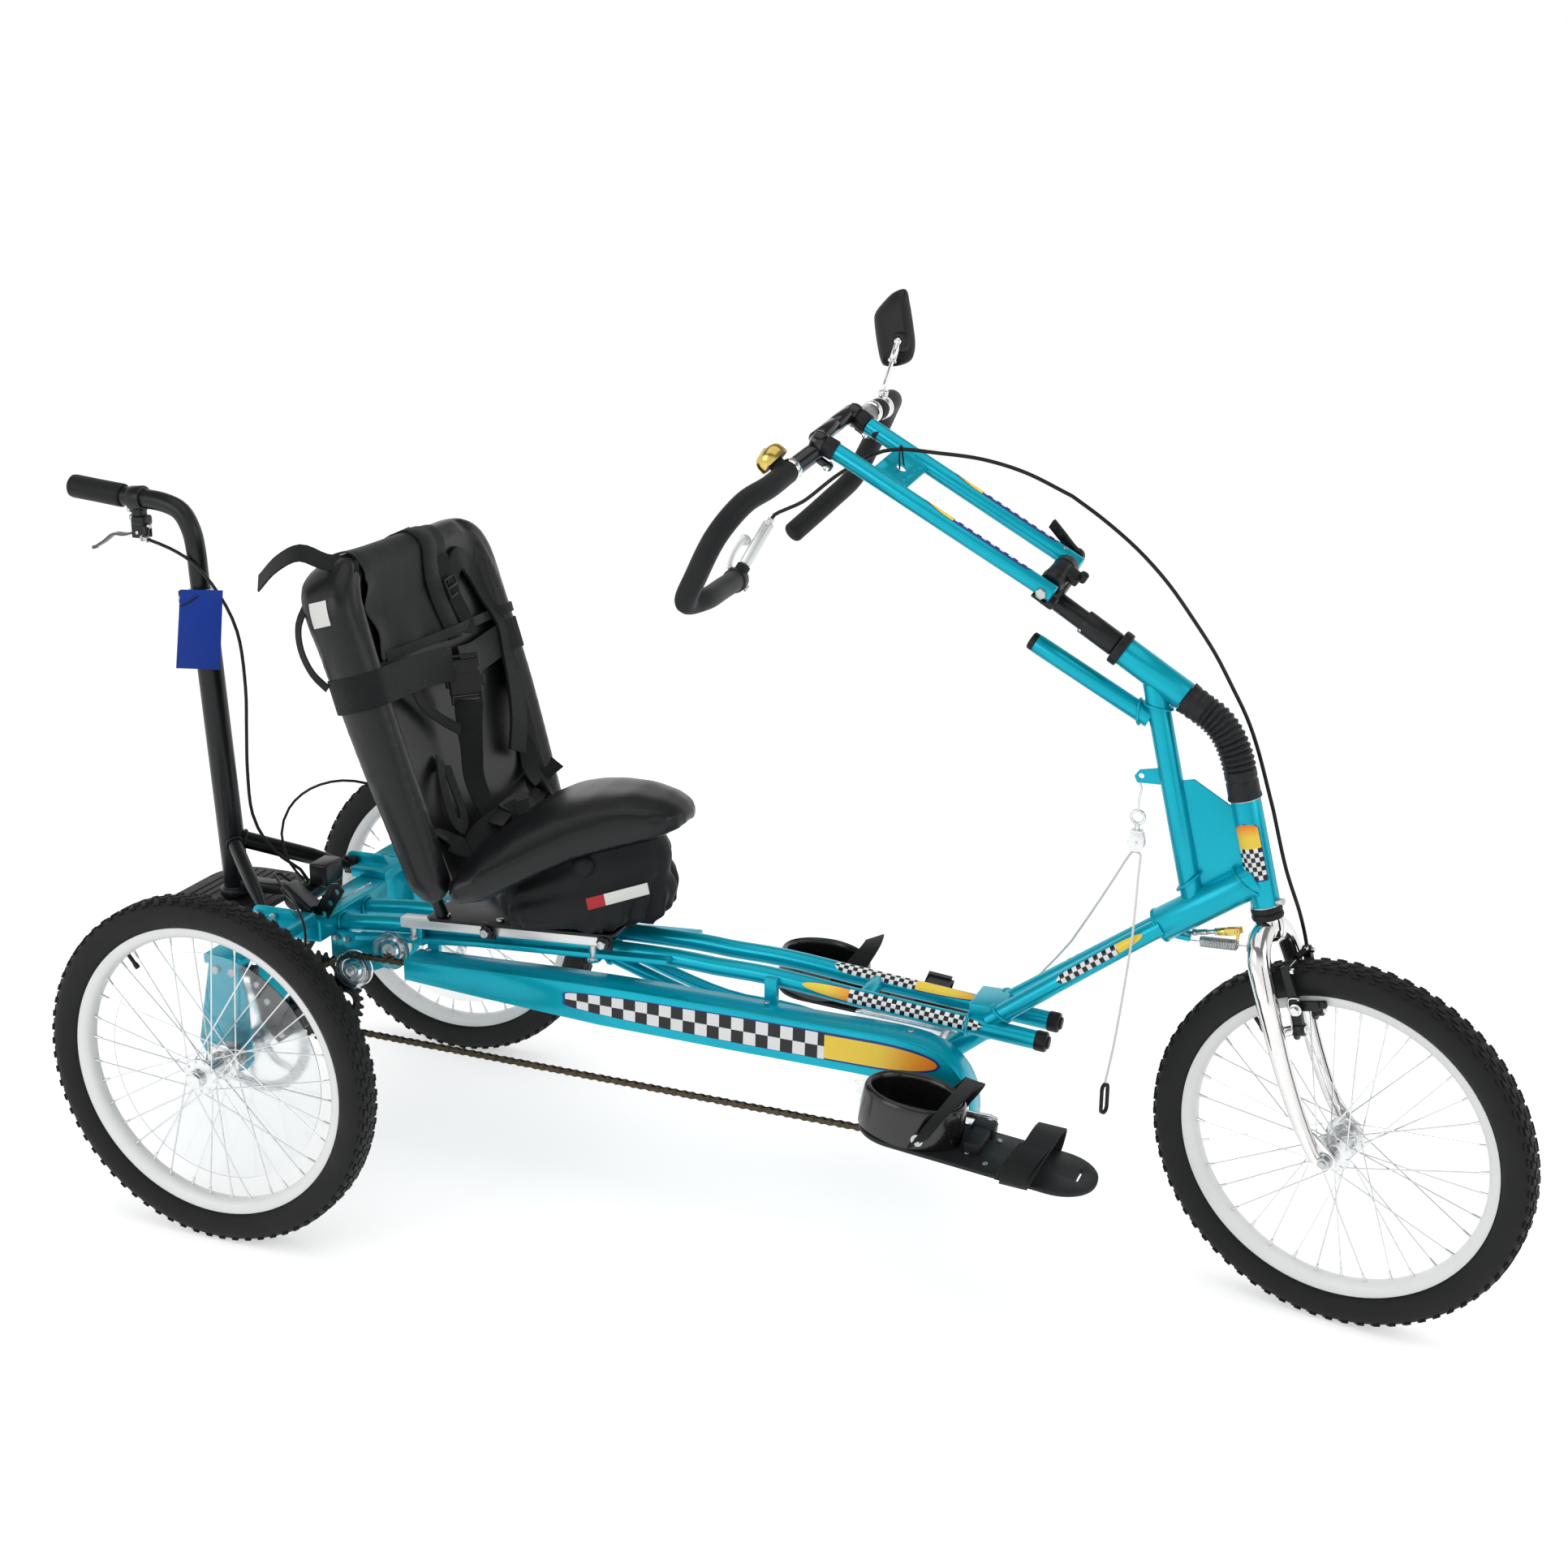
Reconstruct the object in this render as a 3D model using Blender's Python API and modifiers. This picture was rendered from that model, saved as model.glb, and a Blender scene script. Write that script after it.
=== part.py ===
"""Adaptive tricycle: a reclined seat on twin rails, two rear wheels and a steered front wheel.

Units are metres. X points forward, Y to the rider's left and Z up. Every piece is first
shaped in the frame of the empty that carries it, so that a moving piece turns about its joint.
"""
import math

import bmesh
import bpy
from mathutils import Matrix, Vector

# Overall layout
WHEELBASE = 1.4648
HALF_TRACK = 0.344
ORIGIN_TO_REAR_AXLE = 0.6455
WHEEL_RADIUS = 0.250
RUNNING_GAP = 0.0003
CLEARANCE = 0.0005

# Wheels
WHEEL_STEPS = 26
TREAD_WIDTH = 0.022
TYRE_WIDTH = 0.048
BEAD_WIDTH = 0.025
TYRE_HEIGHT = 0.0415
RIM_RADIUS = WHEEL_RADIUS - TYRE_HEIGHT
RIM_DEPTH = 0.016
RIM_WIDTH = 0.029
SPOKE_COUNT = 12
SPOKE_RADIUS = 0.0019
HUB_RADIUS = 0.013
FLANGE_RADIUS = 0.026
FLANGE_OFFSET = 0.0235
FLANGE_THICKNESS = 0.003
REAR_HUB_HALF_LENGTH = 0.036
REAR_AXLE_RADIUS = 0.008
REAR_AXLE_END = 0.040
ROTOR_RADIUS = 0.080
ROTOR_BAND = 0.018
ROTOR_THICKNESS = 0.002
WHEEL_TO_ROTOR = 0.109
ROTOR_FROM_CENTRE = HALF_TRACK - WHEEL_TO_ROTOR

# Rear axle brackets
WHEEL_TO_BRACKET = 0.057
BRACKET_WIDTH = 0.122
BRACKET_OUTER_Y = HALF_TRACK - WHEEL_TO_BRACKET
BRACKET_INNER_Y = BRACKET_OUTER_Y - BRACKET_WIDTH
BRACKET_PLATE = 0.004
BEARING_RADIUS = 0.022
BEARING_LENGTH = 0.016
BRACKET_TOP_Z = 0.392
BRACKET_BEAM_HEIGHT = 0.016
BRACKET_BEAM_LENGTH = 0.060
BEAM_END_Y = 0.095
LUG_Y = 0.1275

# Main frame
RAIL_Y = 0.034
RAIL_RADIUS = 0.0127
RAIL_ROUTE = [
    (0.004, 0.3553), (0.117, 0.367), (0.558, 0.380), (0.613, 0.377),
    (0.696, 0.375), (0.826, 0.362), (1.070, 0.3411),
]
RAIL_CAP_RADIUS = 0.0138
RAIL_CAP_LENGTH = 0.014
SEAT_BAR_Y = 0.054
SEAT_BAR_WIDTH = 0.020
SEAT_BAR_HEIGHT = 0.008
SEAT_BAR_ROUTE = [(0.060, 0.3485), (0.257, 0.367), (0.555, 0.383)]
SPACER_X = (0.165, 0.441)
SPACER_SIZE = 0.012
DIAGONAL_Y = 0.018
DIAGONAL_RADIUS = 0.0085
DIAGONAL_ROUTE = [(0.415, 0.3710), (0.610, 0.313), (0.720, 0.306), (0.893, 0.2665)]
CROSS_TUBE_X = 0.830
CROSS_TUBE_RADIUS = 0.011
GUSSET_BOX = (0.042, 0.036)
GUSSET_BOX_AT = (1.000, 0.3605)
REAR_BEAM_SIZE = (0.052, 0.034)
REAR_BEAM_AT = (-0.004, 0.3630)
DOWN_TUBE_RADIUS = 0.015
DOWN_TUBE_TOP = (0.996, 0.335)
BOOM_TUBE_RADIUS = 0.0125
BOOM_TUBE_REAR_Y = 0.030
BOOM_TUBE_FRONT_Y = 0.0130

# Crank
CRANK_X = 0.907
CRANK_Z = 0.262
CRANK_LENGTH = 0.127
CRANK_REST_DEG = 3.8
CRANK_ARM_Y = 0.108
CRANK_ARM_THICKNESS = 0.012
CRANK_ARM_WIDTH = 0.024
SPINDLE_RADIUS = 0.008
SHELL_RADIUS = 0.021
PEDAL_AXLE_RADIUS = 0.006
PEDAL_AXLE_END = 0.190

# Chain and its sprockets
CHAIN_Y = -0.080
CHAIN_PITCH = 0.0127
CHAINRING_TEETH = 34
COG_TEETH = 20
LARGE_COG_TEETH = 34
LARGE_COG_Y = -0.069
SPROCKET_THICKNESS = 0.002
CHAIN_SLOT = 0.0034
CHAIN_WIDTH = 0.008
CHAIN_HALF_HEIGHT = 0.0043
CHAIN_WEB = 0.0022
TOOTH_RISE = 0.0012
TOOTH_DROP = 0.0030
IDLER_PITCH_RADIUS = 0.0220
IDLER_DISC_RADIUS = 0.028
LOWER_IDLER = (0.066, 0.307)
UPPER_IDLER = (0.123, 0.3405)
UPPER_IDLER_Y = -0.0700
IDLER_HALF_WIDTH = 0.0072
UPPER_IDLER_HALF_WIDTH = 0.0050
IDLER_WALL = 0.0020
IDLER_PIN_RADIUS = 0.004
IDLER_PLATE_Y = -0.051
IDLER_PLATE = [(0.012, 0.352), (0.012, 0.308), (0.052, 0.296), (0.082, 0.296), (0.140, 0.322), (0.140, 0.352)]

# Chain guard
GUARD_NEAR_Y = -0.102
GUARD_FAR_Y = -0.056
GUARD_WALL = 0.002
GUARD_TOP_ROUTE = [
    (0.163, 0.343), (0.471, 0.350), (0.780, 0.3445), (0.905, 0.3415),
    (0.945, 0.334), (0.975, 0.316), (0.994, 0.291), (1.003, 0.255), (1.002, 0.212),
]
GUARD_FACE_LOWER_EDGE = [(0.990, 0.278), (0.850, 0.2840), (0.470, 0.293), (0.163, 0.314)]
GUARD_FACE_STOPS_AT = 7
GUARD_TAB_X = (0.185, 0.705)

# Seat rails and the seat's base
SEAT_RAIL_Y = 0.060
SEAT_RAIL_WIDTH = 0.020
SEAT_RAIL_HEIGHT = 0.015
SEAT_RAIL_REAR = (0.141, 0.3865)
SEAT_RAIL_FRONT = (0.465, 0.4030)
SEAT_BASE_START = 0.045
SEAT_BASE_LENGTH = 0.295
SEAT_BASE_THICKNESS = 0.006
SEAT_BASE_HALF_WIDTH = 0.078
SEAT_KNOB_RADIUS = 0.009

# Seat back: a panel between two side rolls
BACK_FOOT = (0.268, 0.472)
BACK_RECLINE_DEG = 16.7
BACK_HEIGHT = 0.486
BACK_HALF_WIDTH = 0.217
BACK_ROLL_RADIUS = 0.027
BACK_PANEL_RECESS = 0.024
BACK_PANEL_THICKNESS = 0.030
BACK_CORNER = 0.075
BACK_EXTRA_DEPTH = 0.036

# Seat pan: half widths and heights along its length
PAN_STATIONS = [
    (0.288, 0.188, 0.492, 0.018, 0.030),
    (0.300, 0.202, 0.497, 0.026, 0.043),
    (0.328, 0.199, 0.509, 0.030, 0.054),
    (0.362, 0.175, 0.527, 0.032, 0.054),
    (0.400, 0.144, 0.545, 0.032, 0.049),
    (0.440, 0.113, 0.561, 0.031, 0.042),
    (0.490, 0.084, 0.572, 0.029, 0.037),
    (0.530, 0.064, 0.576, 0.023, 0.026),
    (0.555, 0.044, 0.577, 0.016, 0.015),
    (0.567, 0.020, 0.575, 0.008, 0.007),
]

# Seat skirt: hanging cloth with folds
SKIRT_WALL = 0.003
SKIRT_TOP_GAP = 0.0006
SKIRT_HEM_Z = 0.4190
SKIRT_FOLD = 0.006
SKIRT_FOLDS = 7

# Push handle
POST_FOOT = (-0.181, 0.366)
POST_HEAD = (-0.208, 0.828)
POST_RADIUS = 0.019
POST_BORE = 0.0148
POST_RING_RADIUS = 0.0235
POST_RING_HEIGHT = 0.012
PUSH_TUBE_RADIUS = 0.0142
PUSH_TUBE_INSERT = 0.200
PUSH_ROUTE = [(-0.2112, 0.884), (-0.2165, 0.915), (-0.2320, 0.942), (-0.2600, 0.9535), (-0.3240, 0.9585)]
PUSH_END = (-0.414, 0.9675)
PUSH_GRIP_RADIUS = 0.0172
PUSH_HUB_HALF = 0.0060
PUSH_LEVER_PIVOT = (-0.304, 0.908)
PUSH_LEVER_TIP = (-0.388, 0.880)
PLATFORM_CENTRE_X = -0.193
PLATFORM_HALF = (0.080, 0.122)
PLATFORM_CORNER = 0.060
PLATFORM_TOP_Z = 0.3600
PLATFORM_THICKNESS = 0.008

# Steering head
HEAD_FOOT = (1.349, 0.557)
HEAD_TILT = (-0.2488, 0.9686)
HEAD_LENGTH = 0.1414
HEAD_RADIUS = 0.0188
HEAD_BORE = 0.0146
STEER_REST_DEG = -12.5
STEERER_RADIUS = 0.0143
STEERER_NECK_RADIUS = 0.005
AXLE_FORWARD = 0.036
AXLE_DROP = 0.3256
FORK_HALF_WIDTH = 0.052
DROPOUT_INNER = 0.0447
DROPOUT_THICKNESS = 0.005
FRONT_AXLE_RADIUS = 0.0045
FRONT_HUB_HALF_LENGTH = 0.0440
BRAKE_PIVOT = (0.0270, 0.033, -0.154)
BRAKE_PAD_DROP = -0.1262
BRAKE_PAD_INNER = 0.0167

# Steering column
COLUMN_FRONT = (1.232, 0.816)
COLUMN_REAR = (1.0584, 0.9262)
COLUMN_REST_DEG = -17.6
COLUMN_TUBE_RADIUS = 0.019
COLUMN_BORE = 0.0128
COLUMN_TUBE_START = 0.1102
COLUMN_SHAFT_RADIUS = 0.0125
COLUMN_SLEEVE_RADIUS = 0.0155
COLUMN_SLEEVE_END = 0.0486
COLLAR_RADIUS = 0.023
COLLAR_LENGTH = 0.010
JOINT_CENTRE = (1.2924, 0.7777)
JOINT_BALL_RADIUS = 0.0055
TILT_PIVOT = (0.009, 0.033)
CLAMP_RADIUS = 0.015

# Handlebar arms, in the frame of the tilting clamp
ARM_RADIUS = 0.0111
ARM_LOWER_D = 0.0413
ARM_UPPER = (0.314, -0.0203, 0.0435)
INSERT_UPPER = (0.331, -0.0212, 0.0455)
INSERT_RADIUS = 0.0135
ARM_BRIDGE = (0.240, -0.013)
HANDLE_RADIUS = 0.0130
CROSSBAR_RADIUS = 0.0105
CROSSBAR_GAP = 0.0004
RIGHT_HANDLE_ROUTE = [
    (0.336, -0.034, 0.064), (0.340, -0.043, 0.105), (0.340, -0.043, 0.155), (0.347, -0.052, 0.196),
    (0.347, -0.082, 0.240), (0.343, -0.140, 0.255), (0.341, -0.190, 0.249), (0.332, -0.201, 0.210),
    (0.336, -0.226, 0.145), (0.342, -0.256, 0.071),
]
LEFT_HANDLE_ROUTE = [
    (0.336, -0.034, 0.064), (0.336, -0.047, 0.105), (0.332, -0.054, 0.148), (0.337, -0.066, 0.188),
    (0.343, -0.108, 0.222), (0.343, -0.150, 0.232), (0.341, -0.190, 0.228), (0.334, -0.212, 0.200),
    (0.336, -0.230, 0.145), (0.342, -0.256, 0.071),
]

# Cords and cables
CABLE_RADIUS = 0.0025
CORD_RADIUS = 0.0016
FRONT_CABLE_ROUTE = [
    (0.6738, 0.0171, 0.9924), (0.6788, 0.0180, 1.0000), (0.6960, 0.0140, 1.0090), (0.7227, 0.006, 1.0225),
    (0.7778, -0.004, 1.0650), (0.835, -0.008, 1.0965),
    (0.870, -0.008, 1.1005), (0.900, -0.006, 1.0985), (0.961, -0.002, 1.0935), (1.016, 0.002, 1.0800),
    (1.076, 0.006, 1.0540), (1.115, 0.009, 1.0280), (1.160, 0.012, 0.9925), (1.199, 0.015, 0.9530),
    (1.233, 0.018, 0.9090), (1.262, 0.020, 0.8680), (1.286, 0.022, 0.8262), (1.305, 0.022, 0.7920),
    (1.320, 0.022, 0.7565), (1.346, 0.022, 0.676), (1.368, 0.020, 0.600),
    (1.3885, 0.022, 0.545), (1.3965, 0.0305, 0.512), (1.4001, 0.0304, 0.4962),
]
PUSH_CABLE_ROUTE = [
    (-0.2845, -0.0100, 0.8990), (-0.246, -0.014, 0.8900), (-0.204, -0.0185, 0.8720), (-0.162, -0.021, 0.830),
    (-0.136, -0.021, 0.778), (-0.129, -0.020, 0.695), (-0.133, -0.019, 0.630), (-0.137, -0.018, 0.567),
    (-0.134, -0.017, 0.500), (-0.118, -0.014, 0.462), (-0.093, -0.008, 0.434), (-0.068, 0.000, 0.416),
    (-0.0585, 0.004, 0.3988),
]
PULLEY_X = 1.1815
LEVEL_CORD_ROUTE_FAR = [
    (1.1745, 0.004, 0.6030), (1.153, 0.014, 0.563), (1.132, 0.025, 0.524), (1.112, 0.038, 0.488),
    (1.091, 0.052, 0.451), (1.068, 0.068, 0.418), (1.044, 0.083, 0.386), (1.019, 0.100, 0.352),
    (0.992, 0.122, 0.322), (0.964, 0.146, 0.298),
]
LEVEL_CORD_ROUTE_NEAR = [
    (1.1885, -0.004, 0.6030), (1.189, -0.016, 0.575), (1.190, -0.026, 0.545), (1.189, -0.0305, 0.505),
    (1.184, -0.0305, 0.450), (1.178, -0.029, 0.395), (1.171, -0.027, 0.340), (1.163, -0.025, 0.292),
]

# Forms of the boot and the spring
BOOT_RIB_RADIUS = 0.0212
BOOT_VALLEY_RADIUS = 0.0183
BOOT_BORE_RADIUS = 0.0152
BOOT_CUFF = 0.036
BOOT_RIBS = 12
SPRING_START = (1.2700, 0.0100, 0.4930)
SPRING_END = (1.3165, 0.0020, 0.4975)
SPRING_RADIUS = 0.0062
SPRING_LUG_THICKNESS = 0.0022
LIMIT_ROD_START = (1.1960, 0.0312, 0.4850)
LIMIT_ROD_END = (1.3230, -0.0040, 0.5200)
LIMIT_ROD_RADIUS = 0.0032
SPRING_WIRE = 0.0009
SPRING_CURLS = 6
POINTS_PER_CURL = 8

# Colours, roughness and metallic values of the finishes
FINISHES = {
    "teal_paint": ((0.0, 0.36, 0.46, 1.0), 0.25, 0.3),
    "black_paint": ((0.012, 0.012, 0.013, 1.0), 0.35, 0.1),
    "black_plastic": ((0.015, 0.015, 0.016, 1.0), 0.5, 0.0),
    "black_vinyl": ((0.020, 0.018, 0.019, 1.0), 0.35, 0.0),
    "black_webbing": ((0.012, 0.012, 0.013, 1.0), 0.9, 0.0),
    "black_rubber": ((0.022, 0.022, 0.023, 1.0), 0.7, 0.0),
    "foam_grip": ((0.025, 0.025, 0.027, 1.0), 0.85, 0.0),
    "white_rim": ((0.82, 0.83, 0.83, 1.0), 0.3, 0.1),
    "aluminium": ((0.70, 0.71, 0.72, 1.0), 0.3, 1.0),
    "steel": ((0.50, 0.50, 0.51, 1.0), 0.3, 1.0),
    "chrome": ((0.80, 0.80, 0.82, 1.0), 0.08, 1.0),
    "chain_steel": ((0.10, 0.085, 0.07, 1.0), 0.45, 0.9),
    "brass": ((0.70, 0.50, 0.16, 1.0), 0.25, 1.0),
    "clear_plastic": ((0.75, 0.77, 0.78, 1.0), 0.2, 0.0),
    "white_cord": ((0.80, 0.80, 0.78, 1.0), 0.8, 0.0),
    "mirror_glass": ((0.85, 0.85, 0.87, 1.0), 0.03, 1.0),
}


def clear_scene():
    for item in list(bpy.data.objects):
        bpy.data.objects.remove(item, do_unlink=True)


def make_materials():
    materials = {}
    for name, (colour, roughness, metallic) in FINISHES.items():
        material = bpy.data.materials.new(name)
        material.use_nodes = True
        shader = material.node_tree.nodes["Principled BSDF"]
        shader.inputs["Base Color"].default_value = colour
        shader.inputs["Roughness"].default_value = roughness
        shader.inputs["Metallic"].default_value = metallic
        materials[name] = material
    return materials


clear_scene()
PARTS = bpy.data.collections.new("adaptive_tricycle")
bpy.context.scene.collection.children.link(PARTS)
MATERIALS = make_materials()


# Shapes
def new_piece(mesh):
    piece = bpy.data.objects.new(mesh.name, mesh)
    PARTS.objects.link(piece)
    return piece


def from_bmesh(work, matrix=None):
    if matrix is not None:
        bmesh.ops.transform(work, matrix=matrix, verts=work.verts)
    bmesh.ops.recalc_face_normals(work, faces=work.faces)
    mesh = bpy.data.meshes.new("shape")
    work.to_mesh(mesh)
    work.free()
    return new_piece(mesh)


def evaluated_copy(item):
    depsgraph = bpy.context.evaluated_depsgraph_get()
    depsgraph.update()
    return bpy.data.meshes.new_from_object(item.evaluated_get(depsgraph))


def closed_mesh_from(item, matrix=None):
    """Turns a curve or a modified object into a plain mesh with welded seams."""
    mesh = evaluated_copy(item)
    world = item.matrix_world.copy()
    data = item.data
    bpy.data.objects.remove(item, do_unlink=True)
    if isinstance(data, bpy.types.Curve):
        bpy.data.curves.remove(data)
    work = bmesh.new()
    work.from_mesh(mesh)
    bpy.data.meshes.remove(mesh)
    bmesh.ops.transform(work, matrix=world, verts=work.verts)
    bmesh.ops.remove_doubles(work, verts=work.verts, dist=0.000002)
    loose = [edge for edge in work.edges if not edge.link_faces]
    bmesh.ops.delete(work, geom=loose, context="EDGES")
    stray = [vert for vert in work.verts if not vert.link_faces]
    bmesh.ops.delete(work, geom=stray, context="VERTS")
    return from_bmesh(work, matrix)


def axis_matrix(origin, z_axis, x_hint=(1.0, 0.0, 0.0)):
    """A frame at origin whose Z runs along z_axis and whose X leans towards x_hint."""
    z_dir = Vector(z_axis).normalized()
    y_dir = z_dir.cross(Vector(x_hint))
    if y_dir.length < 0.001:
        y_dir = z_dir.cross(Vector((0.0, 1.0, 0.0)))
    y_dir.normalize()
    x_dir = y_dir.cross(z_dir)
    matrix = Matrix((x_dir, y_dir, z_dir)).transposed().to_4x4()
    matrix.translation = Vector(origin)
    return matrix


def at_xz(point, y=0.0):
    return Vector((point[0], y, point[1]))


def box(size, centre, turn=None):
    work = bmesh.new()
    bmesh.ops.create_cube(work, size=1.0)
    bmesh.ops.scale(work, vec=Vector(size), verts=work.verts)
    matrix = Matrix.Translation(Vector(centre))
    if turn is not None:
        matrix = matrix @ turn
    return from_bmesh(work, matrix)


def bar(start, end, width, height, side=(0.0, 1.0, 0.0)):
    """A flat bar from start to end, width measured along side."""
    start, end = Vector(start), Vector(end)
    along = (end - start).normalized()
    across = Vector(side)
    up = along.cross(across).normalized()
    across = up.cross(along)
    turn = Matrix((along, across, up)).transposed().to_4x4()
    return box(((end - start).length, width, height), (start + end) / 2.0, turn)


def rod(start, end, radius, sides=10, end_radius=None):
    start, end = Vector(start), Vector(end)
    work = bmesh.new()
    bmesh.ops.create_cone(
        work, cap_ends=True, segments=sides, radius1=radius,
        radius2=radius if end_radius is None else end_radius, depth=(end - start).length,
    )
    return from_bmesh(work, axis_matrix((start + end) / 2.0, end - start))


def ball(centre, radius, rings=6, segments=10):
    work = bmesh.new()
    bmesh.ops.create_uvsphere(work, u_segments=segments, v_segments=rings, radius=radius)
    return from_bmesh(work, Matrix.Translation(Vector(centre)))


def tube(points, radius, sides=12, radii=None):
    """A tube of round section through points, with flat ends."""
    curve = bpy.data.curves.new("tube", "CURVE")
    curve.dimensions = "3D"
    curve.bevel_depth = radius
    curve.bevel_resolution = max(0, (sides - 4) // 2)
    curve.use_fill_caps = True
    spline = curve.splines.new("POLY")
    spline.points.add(len(points) - 1)
    for index, point in enumerate(points):
        spline.points[index].co = (*point, 1.0)
        if radii is not None:
            spline.points[index].radius = radii[index] / radius
    return closed_mesh_from(new_curve_object(curve))


def new_curve_object(curve):
    item = bpy.data.objects.new("curve", curve)
    PARTS.objects.link(item)
    return item


def plate(outline, thickness, matrix, holes=()):
    """A flat plate from an outline in the matrix's XY plane, centred on it."""
    curve = bpy.data.curves.new("plate", "CURVE")
    curve.dimensions = "2D"
    curve.fill_mode = "BOTH"
    curve.extrude = thickness / 2.0
    for loop in [outline, *holes]:
        spline = curve.splines.new("POLY")
        spline.points.add(len(loop) - 1)
        for index, point in enumerate(loop):
            spline.points[index].co = (point[0], point[1], 0.0, 1.0)
        spline.use_cyclic_u = True
    return closed_mesh_from(new_curve_object(curve), matrix)


def upright_plate(outline, thickness, y, holes=()):
    """A plate in the XZ plane at the height of y, from (x, z) points."""
    matrix = Matrix(((1, 0, 0, 0), (0, 0, -1, y), (0, 1, 0, 0), (0, 0, 0, 1)))
    return plate(outline, thickness, matrix, holes)


def turned(profile, matrix, steps, closed=True, turn=0.0):
    """Spins a profile of (radius, height) points about the matrix's Z axis."""
    mesh = bpy.data.meshes.new("profile")
    count = len(profile)
    edges = [(index, index + 1) for index in range(count - 1)]
    if closed:
        edges.append((count - 1, 0))
    mesh.from_pydata([(radius, 0.0, height) for radius, height in profile], edges, [])
    piece = new_piece(mesh)
    screw = piece.modifiers.new("turn", "SCREW")
    screw.axis = "Z"
    screw.angle = math.tau
    screw.screw_offset = 0.0
    screw.steps = steps
    screw.render_steps = steps
    screw.use_merge_vertices = True
    screw.merge_threshold = 0.00001
    return closed_mesh_from(piece, matrix @ Matrix.Rotation(turn, 4, "Z"))


def circle(radius, count, centre=(0.0, 0.0), start=0.0):
    return [
        (
            centre[0] + radius * math.cos(start + math.tau * index / count),
            centre[1] + radius * math.sin(start + math.tau * index / count),
        )
        for index in range(count)
    ]


def outside(radius, sides):
    """The corner radius of a polygon whose flats stay outside radius."""
    return radius / math.cos(math.pi / sides)


def rounded_rectangle(half_x, half_y, corner, steps=4):
    points = []
    for quarter, (sign_x, sign_y) in enumerate([(1, 1), (-1, 1), (-1, -1), (1, -1)]):
        for step in range(steps + 1):
            angle = math.pi / 2.0 * (quarter + step / steps)
            points.append((
                sign_x * (half_x - corner) + corner * math.cos(angle),
                sign_y * (half_y - corner) + corner * math.sin(angle),
            ))
    return points


def smooth_route(points, spacing):
    """Points about spacing apart on a smooth curve through the given ones."""
    knots = [Vector(point) for point in points]
    knots = [2.0 * knots[0] - knots[1], *knots, 2.0 * knots[-1] - knots[-2]]
    route = []
    for index in range(1, len(knots) - 2):
        before, start, end, after = knots[index - 1:index + 3]
        steps = max(1, round((end - start).length / spacing))
        for step in range(steps):
            route.append(spline_point(before, start, end, after, step / steps))
    route.append(knots[-2])
    return route


def spline_point(before, start, end, after, share):
    """A point on the centripetal spline between start and end."""
    knot_0 = 0.0
    knot_1 = knot_0 + math.sqrt((start - before).length)
    knot_2 = knot_1 + math.sqrt((end - start).length)
    knot_3 = knot_2 + math.sqrt((after - end).length)
    at = knot_1 + (knot_2 - knot_1) * share
    first = before.lerp(start, (at - knot_0) / (knot_1 - knot_0))
    second = start.lerp(end, (at - knot_1) / (knot_2 - knot_1))
    third = end.lerp(after, (at - knot_2) / (knot_3 - knot_2))
    near = first.lerp(second, (at - knot_0) / (knot_2 - knot_0))
    far = second.lerp(third, (at - knot_1) / (knot_3 - knot_1))
    return near.lerp(far, (at - knot_1) / (knot_2 - knot_1))


def loft(sections, closed_ends=True):
    """Skins a row of closed sections with equal point counts."""
    work = bmesh.new()
    rings = [[work.verts.new(point) for point in section] for section in sections]
    count = len(rings[0])
    for ring, following in zip(rings, rings[1:]):
        for index in range(count):
            after = (index + 1) % count
            work.faces.new((ring[index], ring[after], following[after], following[index]))
    if closed_ends:
        work.faces.new(rings[0])
        work.faces.new(rings[-1])
    return from_bmesh(work)


def boolean(target, tool, operation):
    modifier = target.modifiers.new(operation.lower(), "BOOLEAN")
    modifier.operation = operation
    modifier.object = tool
    modifier.solver = "EXACT"


def joined(pieces, cutters=()):
    """Welds pieces into one solid and then takes the cutters away from it."""
    base = pieces[0]
    tools = list(pieces[1:]) + list(cutters)
    for piece in pieces[1:]:
        boolean(base, piece, "UNION")
    for cutter in cutters:
        boolean(base, cutter, "DIFFERENCE")
    solid = closed_mesh_from(base)
    for tool in tools:
        bpy.data.objects.remove(tool, do_unlink=True)
    return solid


def finish(piece, name, material, carrier, smooth_deg=35.0):
    """Names a piece, gives it its material and hangs it on its carrier."""
    piece.name = name
    piece.data.name = name
    piece.data.materials.clear()
    piece.data.materials.append(MATERIALS[material])
    piece.data.shade_smooth()
    piece.data.set_sharp_from_angle(angle=math.radians(smooth_deg))
    piece.parent = carrier
    return piece


def carrier(name, matrix, parent=None):
    """An empty that carries pieces; its origin lies on its joint's axis."""
    item = bpy.data.objects.new(name, None)
    item.empty_display_size = 0.05
    PARTS.objects.link(item)
    item.parent = parent
    item.matrix_local = matrix
    return item


def both_sides():
    return (("right", -1.0), ("left", 1.0))


# Frames of reference
def frame_from_axes(origin, x_axis, y_axis, z_axis):
    matrix = Matrix((Vector(x_axis), Vector(y_axis), Vector(z_axis))).transposed().to_4x4()
    matrix.translation = Vector(origin)
    return matrix


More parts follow.
